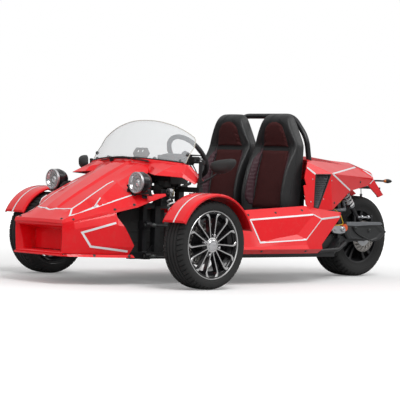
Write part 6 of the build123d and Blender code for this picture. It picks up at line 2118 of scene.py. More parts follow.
@dataclass
class Screen:
    """The clear windshield with its pale edge, bolts, wiper and the bracket plate behind it."""

    half_width: float = 425.0
    base: Flat = (-6.0, 737.0)
    sweep: float = 98.0
    drop: float = 24.0
    height: float = 230.0
    rake: float = 147.0
    # Shares across: width, sweep, height, rake.
    shares: tuple = ((0, 0, 1, 1), (0.12, 0.013, 0.997, 0.998), (0.24, 0.05, 0.985, 0.99),
                     (0.36, 0.12, 0.962, 0.975),
                     (0.47, 0.22, 0.93, 0.95), (0.6, 0.36, 0.885, 0.905), (0.71, 0.52, 0.83, 0.83),
                     (0.83, 0.71, 0.755, 0.75), (0.94, 0.9, 0.66, 0.66), (0.975, 0.955, 0.60, 0.60),
                     (1, 1, 0.42, 0.45))
    plate: tuple = ((-54, 768), (-36, 801), (66, 801), (100, 767), (84, 739), (-34, 742))
    heads: tuple = ((-0.975, 0.35), (0.975, 0.35), (-0.9, 0.08), (0.9, 0.08), (0.5, 0.05), (-0.5, 0.05))

    def build(self) -> None:
        """Sheet, edge, bolts, wiper and plate."""
        self.sheet()
        self.edge()
        self.fixings()
        self.wiper()
        self.ledge()
        self.bracket()

    def spot(self, column: tuple, share: float) -> Point:
        """A point of the sheet: a column of the table and a share of its height."""
        across, sweep, height, rake = column
        x = self.base[0] - self.sweep * abs(sweep) - self.rake * rake * share
        bow = 7.0 * math.sin(math.pi * share)
        return (x + bow * 0.6, self.half_width * across, self.base[1] - self.drop * abs(sweep)
                + self.height * height * share + bow * 0.3)

    def columns(self) -> list[tuple]:
        """The table's columns from the right edge to the left one."""
        return [(-a, s, h, r) for a, s, h, r in self.shares[:0:-1]] + list(self.shares)

    def sheet(self) -> None:
        """The curved sheet."""
        mould = Mould("windshield_sheet")
        mould.grid([[self.spot(column, step / 10) for step in range(11)] for column in self.columns()])
        made = mould.piece(SCREEN, "chassis", "clear_screen", wall=3.5, smooth=60)
        outward(made, way=(1, 0, 0.4))
        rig.replaces(made, "windshield")

    def edge(self) -> None:
        """The pale cut edge round the sheet."""
        columns = self.columns()
        line = [self.spot(columns[0], step / 5) for step in range(5)]
        line += [self.spot(column, 1.0) for column in columns]
        line += [self.spot(columns[-1], 1 - step / 5) for step in range(1, 6)]
        mould = Mould("windshield_edge")
        mould.tube([(x - 1.5, y, z) for x, y, z in line], 2.3, sides=8)
        mould.piece(SCREEN_EDGE, "chassis", "clear_screen", smooth=60)

    def fixings(self) -> None:
        """Bolts with rubber washers along the foot and the sides."""
        heads = Mould("windshield_bolts")
        for across, share in self.heads:
            column = next(row for row in self.shares if row[0] >= abs(across))
            column = (across, *column[1:])
            x, y, z = self.spot(column, share)
            heads.turned([(0, 7), (5, 7), (8, 4), (8, 1), (11, 1), (11, -9), (0, -9)], (x, y, z),
                         (0.85, 0.1 * across, 0.5), 16)
        heads.piece(BOLT, "chassis", "black_plastic", smooth=40)

    def wiper(self) -> None:
        """Pivot, arm and blade, parked along the screen's foot."""
        mould = Mould("wiper")
        way = (0.84, 0, 0.54)
        mould.turned([(0, 24), (6, 24), (9, 20), (9, 12), (16, 10), (17, -4), (17, -20), (0, -20)],
                     (2, -112, 722), way, 20)
        arm = [(18, -112, 734), (20, -60, 740), (22, 10, 742), (18, 70, 738)]
        mould.tube(arm, 4.0, sides=8)
        knots = [(-2, 216, 716), (12, 130, 727), (22, 40, 733), (22, -40, 733), (12, -130, 728),
                 (-2, -218, 718)]
        for lift, radius in ((0.0, 3.6), (7.0, 2.4)):
            mould.tube([(x + lift * 0.8, y, z + lift) for x, y, z in knots], radius, sides=8)
        for y in (-110, 0, 110):
            mould.block((20, y, 736), (6, 9, 6))
        made = mould.piece(PLASTIC, "chassis", "black_plastic", bevel=0.8, smooth=40)
        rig.replaces(made, "windshield_trim")

    def ledge(self) -> None:
        """The red ledge and the rubber bead that close the gap between the sheet's foot and the panels."""
        strip = Mould("screen_ledge")
        bead = Mould("screen_bead")
        feet = [self.spot(column, 0.0) for column in self.columns() if abs(column[0]) < 0.98]
        rows = []
        for x, y, z in feet:
            rows.append([(x + 17, y, z - 22), (x + 13, y, z - 5), (x + 5, y, z + 0.5), (x - 12, y, z - 1),
                         (x - 20, y, z - 20)])
        strip.grid(rows)
        made = strip.piece(RED, "chassis", "red_paint", wall=3.0, bevel=1.5, smooth=40)
        outward(made, way=(0.6, 0, 1))
        bead.tube([(x + 3.5, y, z + 2.5) for x, y, z in feet], 4.2, sides=10)
        bead.piece(HOSE, "chassis", "black_plastic", smooth=60)

    def bracket(self) -> None:
        """The six-cornered plate with two holes on its foot behind the screen."""
        mould = Mould("screen_plate")
        outline = [(-108 - (z - 768) * 0.3, y, z) for y, z in self.plate]
        holes = []
        for y, z in ((-9, 780), (31, 782)):
            holes.append([(-108 - (z + 7 * math.sin(FULL * k / 12) - 768) * 0.3,
                           y + 7 * math.cos(FULL * k / 12),
                           z + 7 * math.sin(FULL * k / 12)) for k in range(12)])
        mould.pierced([outline] + holes)
        made = mould.piece(BROWN_PLATE, "chassis", "black_plastic", wall=4.0, bevel=0.8)
        outward(made, way=(1, 0, 0.3))
        foot = Mould("screen_plate_foot")
        for y in (-12, 60):
            foot.prism([(-106, y - 9, 752), (-110, y - 9, 752), (-122, y - 9, 702), (-116, y - 9, 702)],
                       (0, 18, 0))
            foot.bolt((-102, y, 748), (1, 0, 0.2), 5.0)
        foot.brick((-150, -30, 699), (-112, 78, 704))
        foot.piece(COAT, "chassis", "black_plastic", bevel=0.8)


@dataclass
class Headlight:
    """A round lamp: gloss shell, chrome bezel, facetted bowl, inner lens and its bracket."""

    side: Side
    centre: Flat = (386.0, 593.0)
    radius: float = 61.5

    def build(self) -> None:
        """All parts of one lamp."""
        self.turned("shell", [(61.5, 236), (61.8, 226), (61.8, 205), (60, 188), (55, 171), (47, 157),
                              (36, 146), (20, 138), (0, 135)], GLOSS_BLACK)
        self.turned("rib", [(61.8, 204), (63.2, 202), (63.2, 197), (61.5, 195)], GLOSS_BLACK)
        self.turned("bezel", [(61.8, 232), (61.8, 242), (59.5, 245), (56, 244), (55, 238)], STEEL)
        self.turned("bowl", [(55.5, 239), (52, 232), (44, 216), (30, 205), (22, 203), (0, 203)], CHROME, 24,
                    12.0)
        self.turned("ring", [(34, 214), (36, 226), (33, 229), (29, 228), (27, 212)], EXHAUST)
        self.turned("eye", [(22, 203), (22, 224), (20.5, 227), (14, 232), (6, 234.5), (0, 235)], MIRROR)
        self.turned("brow", [(27, 206), (27, 221), (22.5, 222), (22.5, 206)], GLOSS_BLACK)
        self.turned("lens", [(57.5, 240), (50, 242.5), (34, 244.3), (16, 245), (0, 245.2)], LENS, smooth=60)
        self.bracket()

    def spot(self, x: float, across: float, up: float) -> Point:
        """A point near the lamp: x, outwards from its centre and up from it."""
        return (x, (self.centre[0] + across) * self.side.value, self.centre[1] + up)

    def turned(self, name: str, profile: Sequence[Flat], finish: Finish, steps: int = 48,
               smooth: float = 30.0) -> None:
        """One turned part about the lamp's axis; the profile holds radius and x."""
        mould = Mould(f"lamp_{name}_{self.side.name}")
        mould.turned(profile, self.spot(0, 0, 0), (1, 0, 0), steps)
        made = mould.piece(finish, "chassis", "lamp_black", smooth=smooth)
        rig.replaces(made, f"headlight_{self.side.name}")

    def bracket(self) -> None:
        """The fork round the shell, its bolts and the stalk down to the frame."""
        mould = Mould(f"lamp_bracket_{self.side.name}")
        for sign in (-1, 1):
            outline = [self.spot(x, sign * 62.5, up) for x, up in
                       ((196, -34), (172, -34), (164, -52), (160, -70), (182, -70), (190, -56), (196, -44))]
            outline = [(x, y - sign * self.side.value * 14, z) for x, y, z in outline]
            mould.prism(outline, (0, 4 * sign * self.side.value, 0))
            mould.bolt(self.spot(186, sign * 52.5, -44), (0, sign * self.side.value, 0), 6.0)
        mould.prism([self.spot(160, -64, -70), self.spot(182, -64, -70), self.spot(182, 64, -70),
                     self.spot(160, 64, -70)],
                    (0, 0, -5))
        mould.turned([(0, 0), (17, 0), (17, 10), (12, 14), (0, 14)], self.spot(171, 0, -89), (0, 0, 1), 20)
        foot = (125.0, 330.0 * self.side.value, 474.0)
        mould.tube([self.spot(171, 0, -84), self.spot(160, -22, -104), foot], 10.5, sides=14)
        mould.turned([(0, 0), (16, 0), (16, 6), (0, 6)], (125.0, 330.0 * self.side.value, 468.0), (0, 0, 1),
                     20)
        made = mould.piece(COAT, "chassis", "frame_black", bevel=0.8, smooth=35)
        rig.replaces(made, f"headlight_{self.side.name}")
        cradle = Mould(f"lamp_cradle_{self.side.name}")
        shape = ((236, 502), (238, 552), (214, 578), (170, 588), (110, 576), (70, 544), (70, 500))
        cradle.prism([(x, 306 * self.side.value, z) for x, z in shape], (0, 8 * self.side.value, 0))
        rail = ((226, 510), (226, 526), (90, 530), (90, 510))
        cradle.prism([(x, 314 * self.side.value, z) for x, z in rail],
                     (0, 46 * self.side.value, 0))
        for x, z in ((212, 550), (96, 546)):
            cradle.bolt((x, 314 * self.side.value, z), (0, self.side.value, 0), 5.5)
        cradle.piece(PLASTIC, "chassis", "black_plastic", bevel=2.0, smooth=40)
        wire = Mould(f"lamp_wire_{self.side.name}")
        line = [self.spot(138, 6, -8), self.spot(122, 0, -30), self.spot(116, -20, -72),
                self.spot(112, -44, -112), self.spot(104, -58, -150)]
        wire.tube(smooth_line(line, 5), 3.6, sides=8)
        wire.piece(HOSE, "chassis", "black_plastic", smooth=60)


def smooth_line(knots: Sequence[Point], steps: int) -> list[Point]:
    """A round course through all knots.

    Args:
        knots: The points it passes.
        steps: How many parts lie between two knots.

    Returns:
        The points of the course.
    """
    ends = [Vector(knots[0]) * 2 - Vector(knots[1]), *map(Vector, knots),
            Vector(knots[-1]) * 2 - Vector(knots[-2])]
    line = []
    for a, b, c, d in zip(ends, ends[1:], ends[2:], ends[3:]):
        for step in range(steps):
            t = step / steps
            line.append(tuple(0.5 * (2 * b + (c - a) * t + (2 * a - 5 * b + 4 * c - d) * t ** 2
                                     + (3 * b - a - 3 * c + d) * t ** 3)))
    line.append(tuple(knots[-1]))
    return line


@dataclass
class Mirror:
    """A door mirror: post, bent arm, drop-shaped housing and its glass."""

    side: Side
    # Round the housing, from its inner end: across and up from its centre.
    outline: tuple = ((-78, -14), (-75, 8), (-62, 25), (-34, 35), (16, 43), (58, 48), (76, 42), (82, 22),
                      (68, -6), (40, -30), (14, -43), (-18, -43), (-56, -36))
    # From the glass rim forwards: x, scale, lift.
    layers: tuple = ((-226, 0.93, 0), (-228, 0.985, 0), (-218, 1.0, 0), (-204, 0.98, 0), (-190, 0.88, 1),
                     (-179, 0.70, 2), (-173, 0.48, 3), (-171, 0.2, 4))
    centre: Flat = (636.0, 703.0)
    middle_x: float = -200.0
    sweep: float = 35.0

    def build(self) -> None:
        """All parts of one mirror."""
        sign = self.side.value
        shell = Mould(f"mirror_housing_{self.side.name}")
        rows = [self.loop(x, scale, lift) for x, scale, lift in self.layers]
        net = shell.grid(rows, close_rows=True)
        shell.face(net[-1])
        made = shell.piece(PLASTIC, "chassis", "black_plastic", smooth=60, subdivide=2)
        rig.replaces(made, f"mirror_{self.side.name}")
        glass = Mould(f"mirror_glass_{self.side.name}")
        glass.prism(self.loop(-224.5, 0.945, 0), (1.3, 0.6 * sign, 0))
        glass.piece(MIRROR, "chassis", "black_plastic", bevel=0.6)
        post = Mould(f"mirror_post_{self.side.name}")
        x, y = -155.0, 500.0 * sign
        post.tube([(x, y, 577), (x, y, 640), (x, y, 722)], 10.5, sides=20)
        post.turned([(0, 0), (12, 0), (12.5, 3), (9, 8), (0, 9)], (x, y, 720), (0, 0, 1), 20)
        for z, high in ((578, 12), (600, 10), (616, 8)):
            post.turned([(10, 0), (17, 0), (17, high), (10, high)], (x, y, z), (0, 0, 1), 20)
        post.bolt((x + 16, y, 584), (1, 0, 0), 6.0)
        post.nut((x, y - 16 * sign, 606), (0, -sign, 0), 7.0, 7.0)
        arm = [(x, y + 4 * sign, 596), (x - 8, y + 30 * sign, 612), (x - 26, y + 70 * sign, 636),
               (x - 40, y + 98 * sign, 658), (x - 44, y + 106 * sign, 668)]
        post.tube(smooth_line(arm, 4), 6.8, sides=14)
        post.turned([(0, 0), (13, 0), (14, 7), (10, 14), (0, 16)], (-200, y + 104 * sign, 660),
                    (0, 0.3 * sign, 1), 20)
        made = post.piece(COAT, "chassis", "black_plastic", smooth=35)
        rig.replaces(made, f"mirror_{self.side.name}")

    def loop(self, x: float, scale: float, lift: float) -> list[Point]:
        """The housing's outline at x, turned so that its outer end is swept back."""
        cos, sin = math.cos(math.radians(self.sweep)), math.sin(math.radians(self.sweep))
        deep = x - self.middle_x
        return [(self.middle_x + deep * cos - y * scale * sin,
                 (self.centre[0] + y * scale * cos + deep * sin) * self.side.value,
                 self.centre[1] + z * scale + lift)
                for y, z in self.outline]


@dataclass
class SteeringWheel:
    """The steering wheel: stitched grip, three spokes, hub and cap, on its tilted axis."""

    hub: Point = (-318.0, 210.0, 757.0)
    tilt: float = 36.0
    radius: float = 143.0
    grip: float = 15.0
    spokes: tuple = (0.0, 90.0, 180.0)

    def build(self) -> None:
        """Grip, stitches, spokes and cap."""
        pieces = [self.rim(), self.stitches(), self.plate(), self.cap()]
        for made in pieces:
            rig.replaces(made, "steering_wheel")

    def spot(self, degrees: float, reach: float, up: float) -> Point:
        """A point of the wheel.

        Args:
            degrees: Angle from the driver's left through the foot.
            reach: Its radius.
            up: How far towards the driver.

        Returns:
            The point.
        """
        tilt = math.radians(self.tilt)
        axis = Vector((-math.cos(tilt), 0, math.sin(tilt)))
        across = Vector((0, 1, 0))
        down = Vector((-math.sin(tilt), 0, -math.cos(tilt)))
        turn = math.radians(degrees)
        radial = across * math.cos(turn) * reach + down * math.sin(turn) * reach
        return tuple(Vector(self.hub) + radial + axis * up)

    def rim(self) -> bpy.types.Object:
        """The leather grip with finger dents behind."""
        mould = Mould("wheel_grip")
        rows = []
        for step in range(120):
            degrees = 360 * step / 120
            dent = 0.9 * math.cos(math.radians(degrees * 18))
            row = []
            for side in range(16):
                turn = FULL * side / 16
                reach = self.grip + dent * max(0.0, -math.sin(turn)) - 0.5
                row.append(self.spot(degrees, self.radius + reach * math.cos(turn), reach * math.sin(turn)))
            rows.append(row)
        mould.grid(rows, close_rows=True, close_ends=True)
        return mould.piece(GRIP, "steering_wheel", "black_leather", smooth=60)

    def stitches(self) -> bpy.types.Object:
        """The seam with cross stitches round the inside of the grip."""
        mould = Mould("wheel_stitches")
        for step in range(120):
            for lean in (-1, 1):
                start = self.spot(3 * step - lean, self.radius - self.grip + 0.2, -2.2)
                end = self.spot(3 * step + lean, self.radius - self.grip + 0.2, 2.2)
                mould.tube([start, end], 0.8, sides=5)
        return mould.piece(HOSE, "steering_wheel", "black_leather", smooth=60)

    def plate(self) -> bpy.types.Object:
        """The three spokes, dished towards the driver, with slots."""
        mould = Mould("wheel_spokes")
        for degrees in self.spokes:
            for near, far in (((36, 19, -6), (96, 13, 0)), ((96, 13, 0), (self.radius - 8, 12, -1))):
                for sign in (-1, 1):
                    outline = []
                    for reach, half, up in (near, far):
                        for share in (1.0, 0.45) if reach == near[0] else (0.45, 1.0):
                            lateral = math.degrees(math.atan2(sign * half * share, reach))
                            away = math.hypot(reach, half * share)
                            outline.append(self.spot(degrees + lateral, away, up + 2))
                    mould.prism(outline, tuple(Vector(self.spot(0, 0, -4)) - Vector(self.spot(0, 0, 0))))
        rings = [(0, -26), (30, -26), (38, -20), (41, -10), (41, -3), (39, 1), (0, 1)]
        mould.turned(rings, self.hub, tuple(Vector(self.spot(0, 0, 1)) - Vector(self.hub)), 40)
        return mould.piece(COAT, "steering_wheel", "black_leather", bevel=1.2, smooth=35)

    def cap(self) -> bpy.types.Object:
        """The domed horn cap in its ring."""
        mould = Mould("wheel_cap")
        way = tuple(Vector(self.spot(0, 0, 1)) - Vector(self.hub))
        mould.turned([(33, 0.5), (35, 3), (33, 6), (29, 6.4), (28, 4), (27, 7), (20, 10.5), (10, 12.4),
                      (0, 12.8)],
                     self.hub, way, 40)
        for step in range(6):
            mould.bolt(self.spot(30 + 60 * step, 37, 1), way, 2.6)
        return mould.piece(GLOSS_BLACK, "steering_wheel", "black_leather", smooth=35)


@dataclass
class Controls:
    """The pods, switches and knobs on the dash, with the gauge before the driver."""

    def build(self) -> None:
        """All small controls."""
        self.cluster()
        self.switches()
        self.panel()

    def cluster(self) -> None:
        """The instrument pod with its rim and dial."""
        pod = Mould("gauge_pod")
        rows = []
        for x, wide, low, high in ((-150, 60, 704, 752), (-158, 68, 702, 765), (-196, 70, 701, 771),
                                   (-230, 66, 702, 770), (-236, 62, 704, 766)):
            y = 205
            rows.append([(x, y + wide, low), (x, y + wide, high - 20), (x, y + wide * 0.7, high),
                         (x, y - wide * 0.7, high), (x, y - wide, high - 20), (x, y - wide, low)])
        net = pod.grid(rows, close_rows=True)
        pod.face(net[0])
        pod.face(net[-1])
        pod.piece(PLASTIC, "chassis", "black_plastic", bevel=3.0, bevel_angle=20.0, smooth=40)
        rim = Mould("gauge_rim")
        rim.turned([(27, 0), (31, 0), (31, 5), (29, 7), (26, 4)], (-235, 205, 736), (-1, 0, 0.1), 40,
                   closed=True)
        rim.piece(STEEL, "chassis", "black_plastic", smooth=40)
        dial = Mould("gauge_dial")
        dial.turned([(0, 2.5), (20, 2.2), (27, 0.6)], (-235, 205, 736), (-1, 0, 0.1), 40)
        dial.piece(GLOSS_BLACK, "chassis", "black_plastic", smooth=60)

    def switches(self) -> None:
        """Two stalk boxes on the column with their levers, and the red knob."""
        boxes = Mould("column_boxes")
        boxes.block((-272, 262, 724), (26, 34, 19))
        boxes.block((-276, 312, 736), (24, 30, 20))
        boxes.block((-270, 160, 722), (26, 26, 18))
        boxes.turned([(0, -24), (26, -24), (27, 20), (22, 26), (0, 26)], (-276, 210, 726), (-0.81, 0, 0.59),
                     28)
        boxes.tube(smooth_line([(-272, 336, 736), (-268, 372, 738), (-258, 408, 734), (-244, 428, 726)], 4),
                   5.2, sides=10)
        boxes.block((-240, 434, 722), (9, 9, 12))
        boxes.tube([(-270, 140, 722), (-266, 104, 728), (-262, 84, 730)], 5.0, sides=10)
        boxes.piece(PLASTIC, "chassis", "black_plastic", bevel=1.5, bevel_angle=20.0, smooth=40)
        knob = Mould("red_knob")
        knob.turned([(0, 0), (6, 0), (6, 8), (11, 9), (12, 13), (9, 17), (0, 18.5)], (-178, 252, 726),
                    (0.4, 0.1, 1), 24)
        knob.piece(RED, "chassis", "red_lens", smooth=40)
        post = Mould("knob_post")
        post.turned([(0, 0), (7, 0), (7, 28), (0, 28)], (-182, 251, 699), (0.1, 0, 1), 16)
        post.piece(BOLT, "chassis", "black_plastic", smooth=40)

    def panel(self) -> None:
        """Rocker switches, sockets and a key lock along the dash's rear face."""
        mould = Mould("dash_switches")
        for index in range(5):
            mould.block((-211, 20 - index * 26, 655), (3.5, 10, 15))
        mould.piece(GLOSS_BLACK, "chassis", "black_plastic", bevel=0.8)
        lock = Mould("dash_lock")
        lock.turned([(13, -2), (14, 0), (14, 3), (10, 5), (3, 5), (3, 2), (0, 2)], (-210, 120, 650),
                    (-1, 0, 0), 28)
        lock.turned([(15, -2), (17, 0), (17, 3), (13, 4), (12, 2), (0, 2)], (-210, -150, 650), (-1, 0, 0), 28)
        lock.piece(STEEL, "chassis", "black_plastic", smooth=40)
        lid = Mould("dash_lid")
        lid.block((-210.5, -240, 640), (3.0, 66, 34))
        lid.piece(PLASTIC, "chassis", "black_plastic", bevel=1.5)


def bent_line(knots: Sequence[Point], radius: float, steps: int = 8) -> list[Point]:
    """A line of straight runs whose corners are rounded.

    Args:
        knots: Its ends and corners.
        radius: How far from each corner the rounding starts.
        steps: Parts of each rounding.

    Returns:
        The points of the line.
    """
    line = [tuple(knots[0])]
    for before, corner, after in zip(knots, knots[1:], knots[2:]):
        middle = Vector(corner)
        start = middle + (Vector(before) - middle).normalized() * radius
        end = middle + (Vector(after) - middle).normalized() * radius
        for step in range(steps + 1):
            share = step / steps
            line.append(tuple(start.lerp(middle, share).lerp(middle.lerp(end, share), share)))
    line.append(tuple(knots[-1]))
    return line


@dataclass
class RollBar:
    """The hoop behind the seats: one bent tube, its feet with bolts, and weld beads."""

    radius: float = 17.0
    bend: float = 62.0
    half: tuple = ((-1203, 0, 1041), (-1203, 228, 1041), (-1203, 350, 904), (-1262, 372, 466))
    foot: Point = (-1262.0, 345.0, 456.5)

    def build(self) -> None:
        """Hoop and feet."""
        mould = Mould("roll_hoop")
        left = flipped(self.half[:0:-1], Side.left)
        mould.tube(bent_line(left + flipped(self.half[1:], Side.right), self.bend), self.radius, sides=28)
        made = mould.piece(COAT, "chassis", "frame_black", smooth=60)
        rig.replaces(made, "roll_bar")
        feet = Mould("roll_feet")
        for side in Side:
            x, y, z = self.foot
            y *= side.value
            feet.brick((x - 38, y - 38, z - 6), (x + 38, y + 40, z))
            feet.turned([(17, 8), (20, 4), (22, -1), (17, -1)], (x, 372 * side.value, z), (0, 0, 1), 24,
                        closed=True)
            for reach, across in ((-27, -24), (27, -24), (-27, 0), (27, 0)):
                feet.bolt((x + reach, y + across * side.value, z), (0, 0, 1), 6.5)
        made = feet.piece(COAT, "chassis", "frame_black", bevel=1.0, smooth=35)
        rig.replaces(made, "roll_bar")


@dataclass
class CoilShock:
    """A damper: eyes with bushes, black body, bright rod, spring seats and a white spring."""

    node: str
    foot: Point
    top: Point
    spring: Flat = (0.36, 0.86)
    coil_reach: float = 22.0
    wire: float = 4.9
    turns: float = 7.0

    def build(self) -> None:
        """All parts of the shock."""
        start, end = Vector(self.foot), Vector(self.top)
        run = end - start
        length = run.length
        way = tuple(run.normalized())

        def shaft(name: str, profile: Sequence[Flat], finish: Finish, steps: int = 28) -> None:
            """One turned part along the shock; the profile holds radius and share of the length."""
            mould = Mould(f"{self.node}_{name}")
            mould.turned([(radius, share * length) for radius, share in profile], self.foot, way, steps)
            made = mould.piece(finish, "chassis", "white_coil", smooth=35)
            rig.replaces(made, self.node)

        low, high = self.spring
        shaft("body", [(0, 0.03), (11, 0.035), (13.5, 0.07), (13.5, 0.30), (15.5, 0.31), (15.5, 0.60),
                       (13, 0.615), (0, 0.62)], GLOSS_BLACK)
        shaft("rod", [(6, 0.60), (6, 0.9), (0, 0.9)], CHROME, 16)
        shaft("cap", [(6, 0.875), (24, high + 0.018), (26, high + 0.022), (26, high + 0.045),
                      (15, high + 0.055), (12, 0.965), (0, 0.97)], GLOSS_BLACK)
        shaft("collar", [(15, low - 0.055), (22, low - 0.05), (26, low - 0.03), (26, low - 0.018),
                         (16, low - 0.016)],
              CAST)
        shaft("bump_stop", [(6.5, 0.74), (12, 0.755), (13, 0.78), (10.5, 0.80), (13, 0.82), (13, 0.86),
                            (6.5, 0.87)], HOSE)
        self.coil(start, run)
        self.eyes()

    def coil(self, start: Vector, run: Vector) -> None:
        """The spring: a helix that lies flat at both ends."""
        way = run.normalized()
        side = way.orthogonal().normalized()
        other = way.cross(side)
        low, high = (share * run.length for share in self.spring)
        count = int(self.turns * 18)
        line = []
        for step in range(count + 1):
            share = step / count
            flat = 0.5 - 0.5 * math.cos(math.pi * min(1.0, max(0.0, (share - 0.04) / 0.92)))
            rise = blend(low, high, blend(share, flat, 0.18))
            turn = FULL * self.turns * share
            out = side * math.cos(turn) + other * math.sin(turn)
            line.append(tuple(start + way * rise + out * self.coil_reach))
        mould = Mould(f"{self.node}_spring")
        mould.tube(line, self.wire, sides=10)
        made = mould.piece(COIL, "chassis", "white_coil", smooth=60)
        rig.replaces(made, self.node)

    def eyes(self) -> None:
        """The eye at each end with its bush, bolt and nut."""
        mould = Mould(f"{self.node}_eyes")
        for x, y, z in (self.foot, self.top):
            mould.turned([(9, -13), (17.5, -13), (18, -11), (18, 11), (17.5, 13), (9, 13)], (x, y, z),
                         (1, 0, 0), 28, closed=True)
        made = mould.piece(CAST, "chassis", "white_coil", smooth=35)
        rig.replaces(made, self.node)
        bolts = Mould(f"{self.node}_bolts")
        for x, y, z in (self.foot, self.top):
            bolts.turned([(0, -13.6), (8.5, -13.6), (8.5, 13.6), (0, 13.6)], (x, y, z), (1, 0, 0), 20)
            bolts.nut((x + 13.6, y, z), (1, 0, 0), 8.5, 6.0)
            bolts.nut((x - 13.6, y, z), (-1, 0, 0), 8.5, 6.0)
        bolts.piece(BOLT, "chassis", "white_coil", smooth=35)


@dataclass
class Guard:
    """The sculpted cover outside the swing arm with its grey bar, ridge, bolts and adjuster."""

    face_y: float = 196.0
    outline: tuple = ((-1767, 352), (-2104, 362), (-2178, 305), (-2122, 259), (-2045, 238), (-1998, 249),
                      (-1845, 257), (-1792, 257), (-1765, 285))
    ridge: tuple = ((-1826, 340), (-1846, 316), (-1881, 293), (-1934, 271), (-1998, 252))
    bar: tuple = ((-1766, 371), (-2106, 371), (-2128, 357), (-2104, 351), (-1990, 349), (-1850, 343),
                  (-1768, 347))
    heads: tuple = ((-1864, 330), (-2002, 313))

    def build(self) -> None:
        """Cover, bar, splash plate and adjuster."""
        self.cover()
        self.top_bar()
        self.splash()
        self.adjuster()

    def scaled(self, share: float, y: float) -> list[Point]:
        """The outline drawn in towards its middle, at y."""
        middle_x = sum(x for x, _ in self.outline) / len(self.outline)
        middle_z = sum(z for _, z in self.outline) / len(self.outline)
        return [(blend(middle_x, x, share), y, blend(middle_z, z, share)) for x, z in self.outline]

    def cover(self) -> None:
        """The black cover, its edge turned in, its face raised round a hollow, with ridge and bolts."""
        y = self.face_y
        mould = Mould("guard_cover")
        net = mould.grid([self.scaled(1.0, y - 13), self.scaled(1.0, y - 1), self.scaled(0.94, y + 5),
                          self.scaled(0.80, y + 6), self.scaled(0.68, y + 1), self.scaled(0.40, y)],
                          close_rows=True)
        mould.face(net[0])
        mould.face(net[-1])
        made = mould.piece(GUARD, "chassis", "black_plastic", bevel=1.6, smooth=40)
        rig.replaces(made, "swing_guard")
        ridge = Mould("guard_ridge")
        rows = []
        for x, z in self.ridge:
            rows.append([(x + 7, y, z + 9), (x + 2, y + 9, z + 3), (x - 2, y + 9, z - 3), (x - 7, y, z - 9)])
        net = ridge.grid(rows, close_rows=True)
        ridge.face(net[0])
        ridge.face(net[-1])
        ridge.piece(GUARD, "chassis", "black_plastic", bevel=1.2, smooth=50)
        heads = Mould("guard_bolts")
        for x, z in self.heads:
            heads.turned([(0, 0), (13, 0), (13, 4), (10, 6), (0, 6)], (x, y + 1, z), (0, 1, 0), 20)
            heads.bolt((x, y + 6, z), (0, 1, 0), 7.0)
        heads.piece(BOLT, "chassis", "black_plastic", smooth=35)

    def top_bar(self) -> None:
        """The grey bar along the cover's top edge."""
        mould = Mould("guard_bar")
        mould.prism([(x, self.face_y - 14, z) for x, z in self.bar], (0, 24, 0))
        made = mould.piece(GREY, "chassis", "black_plastic", bevel=2.5, smooth=35)
        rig.replaces(made, "swing_guard")

    def splash(self) -> None:
        """The curved splash plate before the rear wheel."""
        mould = Mould("splash_plate")
        rows = []
        for degrees in range(4, 45, 4):
            turn = math.radians(degrees)
            x, z = REAR_AXLE_X + 290 * math.cos(turn), REAR_AXLE_Z + 290 * math.sin(turn)
            rows.append([(x - 9, -128, z - 3), (x, -120, z), (x, 120, z), (x - 9, 128, z - 3)])
        mould.grid(rows)
        made = mould.piece(PLASTIC, "chassis", "black_plastic", wall=3.0, bevel=1.0, smooth=40)
        outward(made, way=(1, 0, 0.4))
        stay = Mould("splash_stays")
        for y in (-100, 100):
            stay.tube([(-1735, y, 330), (-1690, y, 300), (-1662, y, 262)], 5.0, sides=10)
            stay.bolt((-1732, y, 332), (1, 0, 0.3), 6.0)
        stay.piece(COAT, "chassis", "frame_black", smooth=40)

    def adjuster(self) -> None:
        """The bright rod with nuts and the black carrier above the bar."""
        rod = Mould("adjuster_rod")
        rod.tube([(-1895, 150, 402), (-2060, 150, 398)], 6.5, sides=16)
        for x in (-1925, -1972, -2034):
            rod.turned([(6, -8), (13, -8), (14, -5), (14, 5), (13, 8), (6, 8)], (x, 150, 401), (1, 0, 0), 20,
                       closed=True)
        rod.piece(CAST, "chassis", "bright_steel", smooth=35)
        carrier = Mould("adjuster_carrier")
        for x in (-1899, -2066):
            carrier.prism([(x - 8, 140, 300), (x - 8, 160, 300), (x - 8, 160, 408), (x - 8, 154, 414),
                           (x - 8, 146, 414), (x - 8, 140, 408)], (16, 0, 0))
        carrier.tube(smooth_line([(-1880, 152, 446), (-1892, 155, 415), (-1930, 158, 384), (-1990, 160, 330)],
                                 6), 4.0, 8)
        carrier.piece(COAT, "chassis", "frame_black", bevel=1.0, smooth=35)


